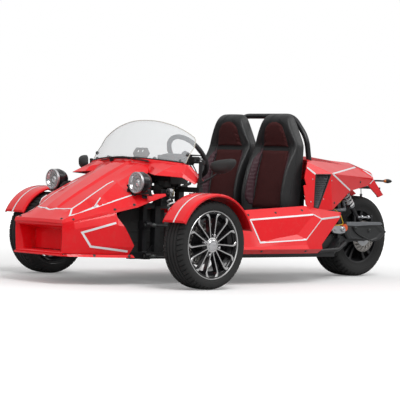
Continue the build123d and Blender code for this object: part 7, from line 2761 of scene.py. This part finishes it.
@dataclass
class Engine:
    """The engine: crankcase with its covers, finned cylinder, head, starter, mounts and lines."""

    case: tuple = ((-1592, 262), (-1592, 352), (-1562, 398), (-1450, 410), (-1330, 402), (-1276, 366),
                   (-1262, 290), (-1284, 232), (-1336, 206), (-1536, 206), (-1574, 226))
    case_half: float = 146.0
    covers: tuple = ((-1372, 300, 84), (-1514, 300, 60))
    fins: int = 9

    def build(self) -> None:
        """All parts of the engine."""
        self.crankcase()
        self.cylinder()
        self.lines()
        self.rear_gear()

    def crankcase(self) -> None:
        """The case with a parting flange, round covers and their screws."""
        mould = Mould("engine_case")
        mould.prism([(x, -self.case_half, z) for x, z in self.case], (0, 2 * self.case_half, 0))
        for y in (-58, 0, 58):
            grown = [(-1427 + (x + 1427) * 1.03, y - 5, 305 + (z - 305) * 1.03) for x, z in self.case]
            mould.prism(grown, (0, 10, 0))
        made = mould.piece(CAST, "chassis", "cast_alloy", bevel=7.0, smooth=40)
        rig.replaces(made, "engine")
        for side in Side:
            cover = Mould(f"engine_cover_{side.name}")
            screws = Mould(f"engine_screws_{side.name}")
            for x, z, radius in self.covers:
                at = (x, self.case_half * side.value, z)
                way = (0, side.value, 0)
                cover.turned([(0, -2), (radius, -2), (radius, 16), (radius * 0.93, 22), (radius * 0.72, 27),
                              (radius * 0.66, 36), (radius * 0.5, 40), (0, 41)], at, way, 48)
                for index in range(8):
                    turn = FULL * (index + 0.5) / 8
                    spot = (x + radius * 0.87 * math.cos(turn), (self.case_half + 24) * side.value,
                            z + radius * 0.87 * math.sin(turn))
                    screws.bolt(spot, way, 4.6)
            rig.replaces(cover.piece(CAST, "chassis", "cast_alloy", bevel=1.5, smooth=35), "engine")
            screws.piece(BOLT, "chassis", "cast_alloy", smooth=35)

    def cylinder(self) -> None:
        """Barrel, cooling fins, head with its nuts, and plug."""
        mould = Mould("engine_fins")
        for index in range(self.fins):
            z = 408 + index * 9.5
            x = -1402 + index * 1.6
            grow = 4.0 if 0 < index < self.fins - 1 else 0.0
            mould.prism([(x + 78 + grow, -52, z), (x + 78 + grow, 52, z), (x + 60, 72 + grow, z),
                         (x - 60, 72 + grow, z),
                         (x - 78 - grow, 52, z), (x - 78 - grow, -52, z), (x - 60, -72 - grow, z),
                         (x + 60, -72 - grow, z)], (0, 0, 4.2))
        mould.turned([(0, 395), (62, 395), (62, 500), (0, 500)], (-1396, 0, 0), (0.02, 0, 1), 36)
        made = mould.piece(CAST, "chassis", "cast_alloy", bevel=0.8, smooth=35)
        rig.replaces(made, "engine")
        head = Mould("engine_head")
        head.prism([(-1466, -66, 494), (-1310, -66, 494), (-1300, -40, 494), (-1300, 40, 494),
                    (-1310, 66, 494), (-1466, 66, 494), (-1476, 40, 494), (-1476, -40, 494)], (0, 0, 34))
        for x in (-1452, -1324):
            for y in (-50, 50):
                head.nut((x, y, 522), (0, 0, 1), 8.0, 5.0)
        head.turned([(0, 0), (10, 0), (10, 14), (7, 16), (7, 40), (0, 40)], (-1300, 20, 508), (1, 0.1, 0.3),
                    16)
        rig.replaces(head.piece(GLOSS_BLACK, "chassis", "cast_alloy", bevel=4.0, smooth=40), "engine")

    def lines(self) -> None:
        """Starter, oil filter, hoses and the mount feet."""
        mould = Mould("engine_starter")
        mould.turned([(0, 0), (27, 0), (30, 6), (30, 92), (24, 104), (12, 108), (0, 108)], (-1530, 30, 424),
                     (0, 1, 0), 28)
        mould.turned([(0, 0), (32, 0), (34, 8), (34, 52), (29, 60), (0, 62)], (-1266, 60, 262), (1, 0, 0), 28)
        mould.piece(PLASTIC, "chassis", "cast_alloy", smooth=35)
        hoses = Mould("engine_hoses")
        for line in (((-1476, 30, 510), (-1520, 60, 516), (-1580, 110, 498), (-1625, 150, 470),
                      (-1650, 170, 450)),
                     ((-1300, -30, 470), (-1268, -60, 440), (-1240, -110, 380), (-1215, -180, 300)),
                     ((-1310, 90, 400), (-1270, 140, 420), (-1235, 210, 424), (-1215, 280, 418))):
            hoses.tube(smooth_line(line, 6), 9.0, sides=14)
        hoses.piece(HOSE, "chassis", "black_plastic", smooth=60)
        feet = Mould("engine_mounts")
        for side in Side:
            for x in (-1500, -1340):
                feet.brick((x - 20, 60 * side.value - 8, 192.5), (x + 20, 60 * side.value + 8, 214))
                feet.bolt((x + 12, 60 * side.value, 214), (0, 0, 1), 6.0)
                feet.bolt((x - 12, 60 * side.value, 214), (0, 0, 1), 6.0)
        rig.replaces(feet.piece(COAT, "chassis", "frame_black", bevel=1.0), "engine")

    def rear_gear(self) -> None:
        """The casting beside the arm's pivot, its boss and orange cap, tubes, gusset and wires."""
        for side in Side:
            sign = side.value
            casting = Mould(f"pivot_casting_{side.name}")
            shape = ((-1612, 318), (-1628, 341), (-1680, 346), (-1734, 339), (-1748, 318), (-1738, 299),
                     (-1690, 294), (-1636, 298))
            casting.prism([(x + 44, 243 * sign, z + 2) for x, z in shape], (0, 14 * sign, 0))
            casting.turned([(0, 0), (17, 0), (17, 6), (13, 11), (7, 11), (7, 5), (0, 5)],
                           (-1672, 257 * sign, 325), (0, sign, 0), 28)
            casting.turned([(0, 0), (12, 0), (12, 4), (0, 6)], (-1606, 257 * sign, 322), (0, sign, 0), 20)
            casting.piece(CAST, "chassis", "cast_alloy", bevel=3.0, smooth=40)
            cap = Mould(f"orange_cap_{side.name}")
            cap.turned([(0, 0), (24, 0), (25, 5), (25, 14), (21, 19), (8, 20), (0, 20)],
                       (-1707, 232 * sign, 334), (0, sign, 0), 32)
            cap.piece(ORANGE, "chassis", "black_plastic", smooth=40)
            tubes = Mould(f"rear_tubes_{side.name}")
            tubes.tube(bent_line(flipped([(-1330, 366, 190), (-1540, 342, 197), (-1694, 262, 236)], side),
                                 30), 13.5, 20)
            tubes.turned([(0, 0), (16, 0), (16, 5), (0, 8)], (-1692, 263 * sign, 235.5),
                         (-0.85, -0.4 * sign, 0.25), 20)
            tubes.piece(COAT, "chassis", "frame_black", smooth=50)
            upper = Mould(f"upper_tube_{side.name}")
            upper.tube(flipped([(-1560, 221, 442), (-1745, 200, 451)], side), 11.0, sides=20)
            upper.turned([(0, 0), (12.5, 0), (12.5, 4), (0, 6)], (-1743, 200 * sign, 451),
                         (-1, -0.1 * sign, 0), 20)
            upper.tube(flipped([(-1782, 150, 512), (-1806, 150, 446)], side), 9.0, sides=16)
            upper.piece(GREY, "chassis", "frame_black", smooth=50)
            gusset = Mould(f"pivot_gusset_{side.name}")
            gusset.plate(flipped([(-1424, 300, 200), (-1424, 300, 226), (-1596, 229, 294), (-1628, 219, 290),
                                  (-1628, 219, 212)], side))
            gusset.piece(PLASTIC, "chassis", "frame_black", wall=4.0, bevel=1.0)
            wires = Mould(f"rear_wires_{side.name}")
            for line in (((-1600, 205, 462), (-1647, 214, 477), (-1664, 212, 494), (-1697, 200, 500),
                          (-1740, 180, 520)),
                         ((-1600, 240, 456), (-1632, 262, 424), (-1654, 264, 390), (-1666, 262, 362),
                          (-1644, 258, 352), (-1600, 254, 350))):
                wires.tube(smooth_line(flipped(line, side), 6), 3.0, sides=8)
            wires.piece(YELLOW, "chassis", "black_plastic", smooth=60)


@dataclass
class Exhaust:
    """The pipe with its flange and the muffler with bands, hanger and outlet."""

    front: Point = (-1560.0, -318.0, 322.0)
    length: float = 330.0

    def build(self) -> None:
        """Pipe and muffler."""
        x, y, z = self.front
        can = Mould("muffler_can")
        can.turned([(0, -2), (17, -2), (19, 2), (44, 14), (56, 28), (58, 36), (58, 292), (57, 298), (53, 302),
                    (42, 318),
                    (26, 328), (24, self.length), (20, self.length), (20, 300), (0, 300)], self.front,
                    (-1, 0, 0), 48)
        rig.replaces(can.piece(EXHAUST, "chassis", "exhaust_steel", smooth=35), "exhaust")
        bands = Mould("muffler_bands")
        for reach in (58, 262):
            bands.turned([(57.9, 0), (58.0, 0.5), (58.0, 22.5), (57.9, 23)], (x - reach, y, z), (-1, 0, 0),
                         48)
            bands.brick((x - reach - 21, y + 50, z + 30), (x - reach - 2, y + 96, z + 36))
            bands.bolt((x - reach - 12, y + 66, z + 36), (0, 0, 1), 5.0)
        bands.piece(COAT, "chassis", "exhaust_steel", smooth=40)
        pipe = Mould("head_pipe")
        knee = x + 58.0
        pipe.tube(bent_line([(knee, -190.5, z), (knee, y, z), (x - 6, y, z)], 40), 16.8, sides=24)
        pipe.prism([(knee - 17, -190.5, z - 12), (knee + 17, -190.5, z - 12), (knee + 17, -190.5, z + 12),
                    (knee - 17, -190.5, z + 12)], (0, -8, 0))
        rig.replaces(pipe.piece(EXHAUST, "chassis", "exhaust_steel", smooth=50), "exhaust")


@dataclass
class PlateCarrier:
    """The slim plate carrier under the tail with its two holes, and the signals on their stalks."""

    lugs: float = 75.0
    hole_radius: float = 3.5
    lug_radius: float = 11.0
    signal: Point = (-2150.0, 0.0, 648.0)
    # Round a signal's body: from the stalk outwards, its reach, height and depth.
    drop: tuple = ((176, 5, 5), (184, 9, 11), (198, 13, 20), (214, 14.5, 27), (228, 12, 26), (238, 7, 18),
                   (243, 2, 6))

    def build(self) -> None:
        """Carrier, stalks and signals."""
        mould = Mould("plate_carrier")
        mould.brick((PLATE_X, -100, 590), (PLATE_X + 4, 100, 603))
        for y in (-1, 1):
            mould.tube([(-2209, y * 20, 600), (-2130, y * 20, 612), (-1962, y * 20, 612)], 5.0, sides=10)
            hole, edge = (across_ring((PLATE_X, y * self.lugs, PLATE_HOLES_Z), radius, 12)
                          for radius in (self.hole_radius, self.lug_radius))
            ring = Mould(f"plate_lug_{'left' if y > 0 else 'right'}")
            back = [(px - 4.5, py, pz) for px, py, pz in hole]
            back_edge = [(px - 4.5, py, pz) for px, py, pz in edge]
            ring.grid([hole, edge, back_edge, back], close_rows=True, close_ends=True)
            ring.tube([(-2213.2, y * self.lugs, 553), (-2209, y * self.lugs, 598)], 2.8, sides=10)
            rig.replaces(ring.piece(COAT, "chassis", "black_plastic", smooth=40), "plate_bracket")
        mould.brick((-1998, -28, 606), (-1960, 28, 613))
        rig.replaces(mould.piece(COAT, "chassis", "black_plastic", bevel=0.8, smooth=40), "plate_bracket")
        for side in Side:
            self.stalk(side)

    def stalk(self, side: Side) -> None:
        """One signal: rubber stalk, drop-shaped body, amber lens to front and rear."""
        sign = side.value
        x, _, z = self.signal
        stalk = Mould(f"signal_stalk_{side.name}")
        stalk.tube(smooth_line([(x + 20, 20 * sign, 612), (x + 6, 60 * sign, 640), (x, 110 * sign, z),
                                (x, 180 * sign, z)], 6), 6.0, sides=14)
        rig.replaces(stalk.piece(HOSE, "chassis", "black_plastic", smooth=60), "plate_bracket")
        body = Mould(f"signal_body_{side.name}")
        rows = [[(x + deep * math.cos(FULL * k / 20), y * sign,
                  z + high * math.sin(FULL * k / 20)) for k in range(20)]
                for y, high, deep in self.drop]
        net = body.grid(rows, close_rows=True)
        body.face(net[0])
        body.face(net[-1])
        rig.replaces(body.piece(PLASTIC, "chassis", "black_plastic", smooth=60), "plate_bracket")
        lens = Mould(f"signal_lens_{side.name}")
        for way in (-1, 1):
            lens.turned([(0, 7.0), (7, 6.0), (10.5, 3.0), (11.5, -2)], (x + 24 * way, 213 * sign, z),
                        (way, 0, 0), 24)
        lens.piece(AMBER_LENS, "chassis", "red_lens", smooth=50)


@dataclass
class FrontGear:
    """What sits on the front frame: joints, brakes, rack boots, reservoir, boxes, hoses and pedals."""

    arm_levels: Flat = (170.0, 350.0)
    spread: float = 125.0

    def build(self) -> None:
        """Every group on both sides."""
        for side in Side:
            self.joints(side)
            self.knuckle(side)
            self.tie_rod(side)
            self.clutter(side)
        self.rack()
        self.pedals()
        self.footbox()

    def joints(self, side: Side) -> None:
        """Bolts and collars at the arms' inner ends, and the bolts of the shock's tower."""
        sign = side.value
        bolts = Mould(f"arm_bolts_{side.name}")
        for z in self.arm_levels:
            for x in (-self.spread, self.spread):
                for way in (-1, 1):
                    bolts.nut((x + 20.5 * way, 371 * sign, z), (way, 0, 0), 9.0, 6.0)
                    bolts.turned([(9, 0), (12, 0), (12, 2), (9, 2)], (x + 19 * way, 371 * sign, z),
                                 (way, 0, 0), 20)
        bolts.piece(BOLT, "chassis", "frame_black", smooth=35)
        collars = Mould(f"arm_collars_{side.name}")
        for z in self.arm_levels:
            for x in (-self.spread, self.spread):
                start, end = Vector((x, 380 * sign, z)), Vector((0, 600 * sign, z))
                way = tuple((end - start).normalized())
                at = tuple(start.lerp(end, 0.1))
                collars.turned([(9, 0), (13, 0), (13, 9), (11, 12), (11, 24), (9, 26)], at, way, 20)
        collars.piece(BOLT, "chassis", "frame_black", smooth=35)
        tower = Mould(f"tower_bolts_{side.name}")
        for x, z in ((-8, 520), (38, 520), (-8, 492), (38, 492)):
            tower.bolt((x, 395 * sign, z), (0, sign, 0), 6.0)
        tower.piece(BOLT, "chassis", "frame_black", smooth=35)

    def knuckle(self, side: Side) -> None:
        """The steering arm's nut, the upright's bolts, and the caliper's two faces with their bosses."""
        sign = side.value
        nuts = Mould(f"kingpin_nuts_{side.name}")
        nuts.nut((TIE_ROD_X, 610 * sign, 246.2), (0, 0, 1), 11.0, 8.0)
        for x, z in ((-14, 210), (14, 210), (-14, 312), (14, 312)):
            nuts.bolt((x, 628 * sign, z), (0, sign, 0), 6.0)
            nuts.bolt((x, 592 * sign, z), (0, -sign, 0), 6.0)
        nuts.piece(BOLT, f"knuckle_{side.name}", "cast_alloy", smooth=35)
        caliper = Mould(f"caliper_{side.name}")
        for way in (-1, 1):
            y = (680 + way * 20) * sign
            shape = [(-136, 229), (-94, 229), (-94, 281), (-136, 281)]
            caliper.prism([(x, y, z) for x, z in shape], (0, 0.8 * way * sign, 0))
            for z in (239, 271):
                caliper.turned([(0, 0), (10, 0), (10, 1.2), (8, 2.2), (0, 2.2)],
                               (-115, y + 0.6 * way * sign, z), (0, way * sign, 0), 20)
        caliper.piece(CAST, f"knuckle_{side.name}", "cast_alloy", bevel=0.6, smooth=35)

    def tie_rod(self, side: Side) -> None:
        """Lock nut and boot of the tie rod."""
        sign = side.value
        mould = Mould(f"tie_rod_boot_{side.name}")
        mould.turned([(7.5, 0), (15, 0), (16.5, 4), (13, 8), (16, 12), (12, 16), (15, 20), (9, 24),
                      (7.5, 24)],
                     (TIE_ROD_X, 300 * sign, TIE_ROD_Z), (0, sign, 0), 24)
        mould.piece(HOSE, f"tie_rod_{side.name}", "bright_steel", smooth=50)
        nut = Mould(f"tie_rod_nut_{side.name}")
        nut.nut((TIE_ROD_X, 560 * sign, TIE_ROD_Z), (0, sign, 0), 11.0, 8.0)
        nut.piece(STEEL, f"tie_rod_{side.name}", "bright_steel", smooth=35)

    def rack(self) -> None:
        """Pleated boots and clamps on the rack housing."""
        boots = Mould("rack_boots")
        clamps = Mould("rack_clamps")
        for side in Side:
            profile = [(14, 0), (25, 0), (25, 5)]
            for index in range(5):
                profile += [(20, 9 + index * 8), (24 - index, 13 + index * 8)]
            profile += [(15, 50), (14, 50)]
            boots.turned(profile, (TIE_ROD_X, 146 * side.value, TIE_ROD_Z), (0, side.value, 0), 32)
            clamps.turned([(24, 0), (27, 0), (27, 18), (24, 18)], (TIE_ROD_X, 96 * side.value, TIE_ROD_Z),
                          (0, side.value, 0), 32, closed=True)
            inner, outer = sorted((96 * side.value, 114 * side.value))
            clamps.brick((-125, inner, 190), (-65, outer, 196))
        boots.piece(HOSE, "chassis", "cast_alloy", smooth=60)
        clamps.piece(CAST, "chassis", "cast_alloy", smooth=35)

    def clutter(self, side: Side) -> None:
        """The boxes, reservoir, stay and hoses under the cowl."""
        sign = side.value
        boxes = Mould(f"cowl_boxes_{side.name}")
        for x, y, z, a, b, c in ((-58, 300, 588, 26, 30, 22), (-128, 290, 600, 30, 34, 26),
                                 (-20, 288, 556, 22, 24, 26), (-196, 312, 566, 20, 24, 14)):
            boxes.block((x, y * sign, z), (a, b, c), 0.9)
        boxes.tube(flipped([(-120, 330, 560), (-147, 330, 566), (-236, 330, 598)], side), 9.0, sides=16)
        boxes.prism(flipped([(-6, 326, 470), (30, 326, 470), (30, 326, 540), (6, 326, 556), (-6, 326, 556)],
                            side),
                    (0, 5 * sign, 0))
        boxes.piece(PLASTIC, "chassis", "black_plastic", bevel=2.5, smooth=40)
        jar = Mould(f"reservoir_{side.name}")
        jar.turned([(0, 0), (19, 0), (21, 4), (21, 40), (0, 40)], (-88, 322 * sign, 520), (0, 0, 1), 28)
        jar.piece(CREAM, "chassis", "black_plastic", smooth=40)
        lid = Mould(f"reservoir_lid_{side.name}")
        lid.turned([(0, 0), (23, 0), (24, 2), (24, 10), (20, 13), (0, 13)], (-88, 322 * sign, 560), (0, 0, 1),
                   28)
        for line in (((-88, 322, 522), (-86, 330, 500), (-60, 336, 490), (-20, 330, 476), (20, 312, 458)),
                     ((-140, 318, 590), (-146, 330, 556), (-150, 336, 520), (-150, 338, 480)),
                     ((-40, 300, 576), (-10, 320, 540), (10, 330, 520), (20, 328, 480)),
                     ((40, 330, 500), (80, 326, 510), (120, 330, 500), (150, 322, 470))):
            lid.tube(smooth_line(flipped(line, side), 6), 5.0, sides=10)
        lid.piece(HOSE, "chassis", "black_plastic", smooth=50)

    def pedals(self) -> None:
        """Three pedals on their arms, hung from the footbox's front."""
        mould = Mould("pedals")
        for y in (140, 205, 262):
            mould.tube([(236, y, 424), (228, y, 360), (212, y, 300)], 6.0, sides=12)
            mould.block((206, y, 292), (6, 24, 30), 0.9)
            for z in range(-22, 23, 9):
                mould.brick((198.5, y - 19, 292 + z - 2), (201, y + 19, 292 + z + 2))
        mould.tube([(236, 120, 426), (236, 285, 426)], 8.0, sides=14)
        mould.piece(COAT, "chassis", "frame_black", bevel=0.6, smooth=40)

    def footbox(self) -> None:
        """Ribs on the top and the sides of the footbox."""
        mould = Mould("footbox_ribs")
        for y in range(-240, 241, 80):
            mould.brick((-50, y - 5, 437), (210, y + 5, 439.5))
        for side in Side:
            for z in (250, 310, 370):
                mould.prism(flipped([(-50, 305.2, z - 5), (200, 305.2, z - 5), (200, 305.2, z + 5),
                                     (-50, 305.2, z + 5)], side),
                            (0, 2.2 * side.value, 0))
        mould.piece(PLASTIC, "chassis", "black_plastic", bevel=0.8)


@dataclass
class FrameTrim:
    """Weld beads and gussets on the frame, the swing arm's ends and the foot mats."""

    rail_y: float = 330.0
    welds: tuple = (30, -150, 125, -125, -1180)

    def build(self) -> None:
        """Welds and gussets, then the swing arm's ends and the mats."""
        mould = Mould("frame_welds")
        for side in Side:
            y = self.rail_y * side.value
            for x in self.welds:
                half = 16.0
                loop = [(x + half, y + half, 192.5), (x - half, y + half, 192.5), (x - half, y - half, 192.5),
                        (x + half, y - half, 192.5), (x + half, y + half, 192.5)]
                mould.tube(loop, 2.6, sides=6)
            mould.prism([(46, y - 3, 192), (90, y - 3, 192), (46, y - 3, 236)], (0, 6, 0))
            mould.prism([(-166, y - 3, 192), (-206, y - 3, 192), (-166, y - 3, 232)], (0, 6, 0))
            mould.prism([(-1164, y - 3, 192), (-1124, y - 3, 192), (-1164, y - 3, 232)], (0, 6, 0))
        mould.piece(COAT, "chassis", "frame_black", bevel=0.6, smooth=50)
        self.swing_ends()
        self.mats()

    def swing_ends(self) -> None:
        """The axle nut, the pivot's caps, and the rear caliper's bolts and hose."""
        nuts = Mould("axle_nuts")
        for side in Side:
            sign = side.value
            if side is Side.right:
                nuts.nut((REAR_AXLE_X, 181 * sign, REAR_AXLE_Z), (0, sign, 0), 15.0, 4.0)
            nuts.turned([(0, 0), (21, 0), (21, 3), (12, 6), (0, 6)], (-1660, 225 * sign, 250), (0, sign, 0),
                        28)
        for z in (254, 290):
            nuts.bolt((-1915, 149, z), (0, 1, 0), 6.0)
        nuts.piece(BOLT, "chassis", "frame_black", smooth=35)
        hose = Mould("rear_brake_hose")
        hose.tube(smooth_line([(-1915, 130, 302), (-1890, 140, 330), (-1820, 168, 330), (-1740, 186, 290),
                               (-1690, 190, 300)], 6), 4.0, sides=10)
        hose.piece(HOSE, "chassis", "black_plastic", smooth=60)

    def mats(self) -> None:
        """Rubber foot mats with ribs on both sides of the floor."""
        mould = Mould("foot_mats")
        for side in Side:
            low, high = sorted((70 * side.value, 300 * side.value))
            mould.brick((-540, low, 197.8), (-200, high, 201.5))
            for index in range(16):
                x = -530 + index * 20.5
                mould.brick((x, low + 8, 201), (x + 9, high - 8, 204))
        mould.piece(HOSE, "chassis", "floor_black", bevel=0.6)


@dataclass
class Studio:
    """The floor, the lamps, the surroundings and the camera."""

    eye: Point = (6771.3, 7912.0, 670.2)
    across: Point = (-0.73033685, 0.68219472, 0.03490626)
    upward: Point = (0.01424952, -0.03587436, 0.99925471)
    back: Point = (0.68293853, 0.73028993, 0.01647942)
    lens: float = 156.484
    sensor: float = 36.0
    ambient: float = 0.48
    sky: float = 0.66
    bright: float = 0.55
    bright_way: Point = (-0.68, 0.73, 0.0)
    floor_half: float = 40.0
    # Each lamp: place and aim in metres from the object, size, and power.
    lamps: tuple = (
        ("key", (2.0, 5.0, 6.5), (0.0, 0.0, 0.4), 4.0, 350.0),
        ("fill", (7.5, 1.0, 2.6), (0.3, 0.0, 0.4), 4.0, 60.0),
        ("rim", (-5.5, 3.5, 4.8), (-0.2, 0.0, 0.5), 3.5, 90.0),
    )

    def build(self) -> None:
        """Sets the whole studio."""
        self.camera()
        self.world()
        self.floor()
        for name, at, aim, size, power in self.lamps:
            self.lamp(name, at, aim, size, power)
        bpy.context.scene.view_settings.view_transform = "Standard"

    def camera(self) -> None:
        """The camera at the photographed angle."""
        data = bpy.data.cameras.new("camera")
        data.lens = self.lens
        data.sensor_width = self.sensor
        data.clip_end = 500.0
        made = bpy.data.objects.new("camera", data)
        bpy.context.scene.collection.objects.link(made)
        turn = Matrix((self.across, self.upward, self.back)).transposed()
        made.matrix_world = Matrix.Translation(place(self.eye)) @ turn.to_4x4()
        bpy.context.scene.camera = made

    def world(self) -> None:
        """White surroundings to the camera and through glass, a soft sky in gloss, even light elsewhere."""
        world = bpy.data.worlds.new("surroundings")
        world.use_nodes = True
        net = Net(world.node_tree)
        camera, glass, gloss = (net.node("ShaderNodeLightPath", output=name)
                                for name in ("Is Camera Ray", "Is Transmission Ray", "Is Glossy Ray"))
        seen = (camera + glass).clamped()
        way = net.node("ShaderNodeTexCoord", output="Generated")
        height = net.node("ShaderNodeSeparateXYZ", {}, {0: way}, "Z")
        toward = net.node("ShaderNodeVectorMath", {"operation": "DOT_PRODUCT"}, {0: way, 1: self.bright_way},
                          "Value")
        level = net.ramp(height, -0.22, -0.08) * (1.0 - net.ramp(height, 0.12, 0.25))
        above = 0.05 + net.ramp(height, 0.2, 0.34) * self.sky
        sky = above + net.ramp(toward, 0.55, 0.95) * level * self.bright
        other = gloss * sky + (1.0 - gloss) * self.ambient
        strength = seen + (1.0 - seen) * other
        glow = net.node("ShaderNodeBackground", {}, {"Color": (1.0, 1.0, 1.0), "Strength": strength})
        net.node("ShaderNodeOutputWorld", {}, {"Surface": glow})
        bpy.context.scene.world = world

    def floor(self) -> None:
        """The plain floor."""
        mesh = bpy.data.meshes.new("studio_floor")
        half = self.floor_half
        mesh.from_pydata([(-half, -half, 0), (half, -half, 0), (half, half, 0), (-half, half, 0)], [],
                         [(0, 1, 2, 3)])
        made = bpy.data.objects.new("studio_floor", mesh)
        bpy.context.scene.collection.objects.link(made)
        mesh.materials.append(FLOOR.material())
        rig.stage(made)

    def lamp(self, name: str, at: Point, aim: Point, size: float, power: float) -> None:
        """One square soft lamp.

        Args:
            name: Its name.
            at: Where it stands.
            aim: Where it points.
            size: Its side.
            power: Its power in watts.
        """
        data = bpy.data.lights.new(name, "AREA")
        data.size = size
        data.energy = power
        made = bpy.data.objects.new(name, data)
        made.location = at
        made.rotation_euler = (Vector(aim) - Vector(at)).to_track_quat("-Z", "Y").to_euler()
        bpy.context.scene.collection.objects.link(made)


NODE_FINISHES = {
    "frame": COAT, "floor_pan": PLATE, "footbox": PLASTIC, "nose_mask": RED, "bonnet": RED, "cowl": RED,
    "windshield": SCREEN, "windshield_trim": PLASTIC, "dash": PLASTIC, "tail_cowl": RED, "roll_bar": COAT,
    "engine": CAST, "swing_arm": COAT, "swing_guard": GUARD, "exhaust": EXHAUST, "tail_lamp": RED_LENS,
    "plate_bracket": PLASTIC, "rack_housing": CAST, "rack": STEEL, "steering_wheel": GRIP, "tyre_rear": TYRE,
    "rim_rear": COAT, "front_arms": COAT, "front_shock": COIL, "headlight": GLOSS_BLACK, "mirror": PLASTIC,
    "side_panel": RED, "seat": LEATHER, "rear_shock": COIL, "upright": CAST, "fender": RED, "tyre": TYRE,
    "rim": MACHINED, "tie_rod": STEEL,
}


def dress_nodes() -> None:
    """Gives every node of the frame its finish."""
    for name, node in frame["nodes"].items():
        base = name.removesuffix("_left").removesuffix("_right")
        finish = NODE_FINISHES.get(name) or NODE_FINISHES[base]
        dress(node, finish)
        node.data.shade_smooth()
        node.data.set_sharp_from_angle(angle=math.radians(30))


def shocks() -> list[CoilShock]:
    """The four shocks, left and right, front and rear."""
    made = []
    for side in Side:
        foot, top = flipped([(0, 505, 188), (0, 412, 548)], side)
        made.append(CoilShock(f"front_shock_{side.name}", foot, top))
        foot, top = flipped([(-1990, 150, 312.7), (-1770, 150, 596.3)], side)
        made.append(CoilShock(f"rear_shock_{side.name}", foot, top, spring=(0.60, 0.87), turns=4.0, wire=6.0))
    return made


def main() -> None:
    """Builds the pieces in order and writes the sizes."""
    logging.basicConfig(level=logging.INFO, format="%(name)s: %(message)s")
    before = [list(corner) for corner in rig.bounds()]
    dress_nodes()
    Studio().build()
    for part in (Bonnet(), NoseMask(), Cowl(), Fender(), SidePanel(), TailBody(), FrontWheel(Side.left),
                 FrontWheel(Side.right), RearWheel(), Seat(), Screen(),
                 Headlight(Side.left), Headlight(Side.right), Mirror(Side.left), Mirror(Side.right),
                 SteeringWheel(),
                 Controls(), RollBar(), *shocks(), Guard(), Engine(), Exhaust(), PlateCarrier(), FrontGear(),
                 FrameTrim()):
        part.build()
    after = [list(corner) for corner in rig.bounds()]
    with open("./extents.json", "w") as written:
        json.dump({"cad": before, "visual": after}, written)
    LOG.info("CAD box %s, visual box %s", before, after)


if __name__ == "__main__":
    main()
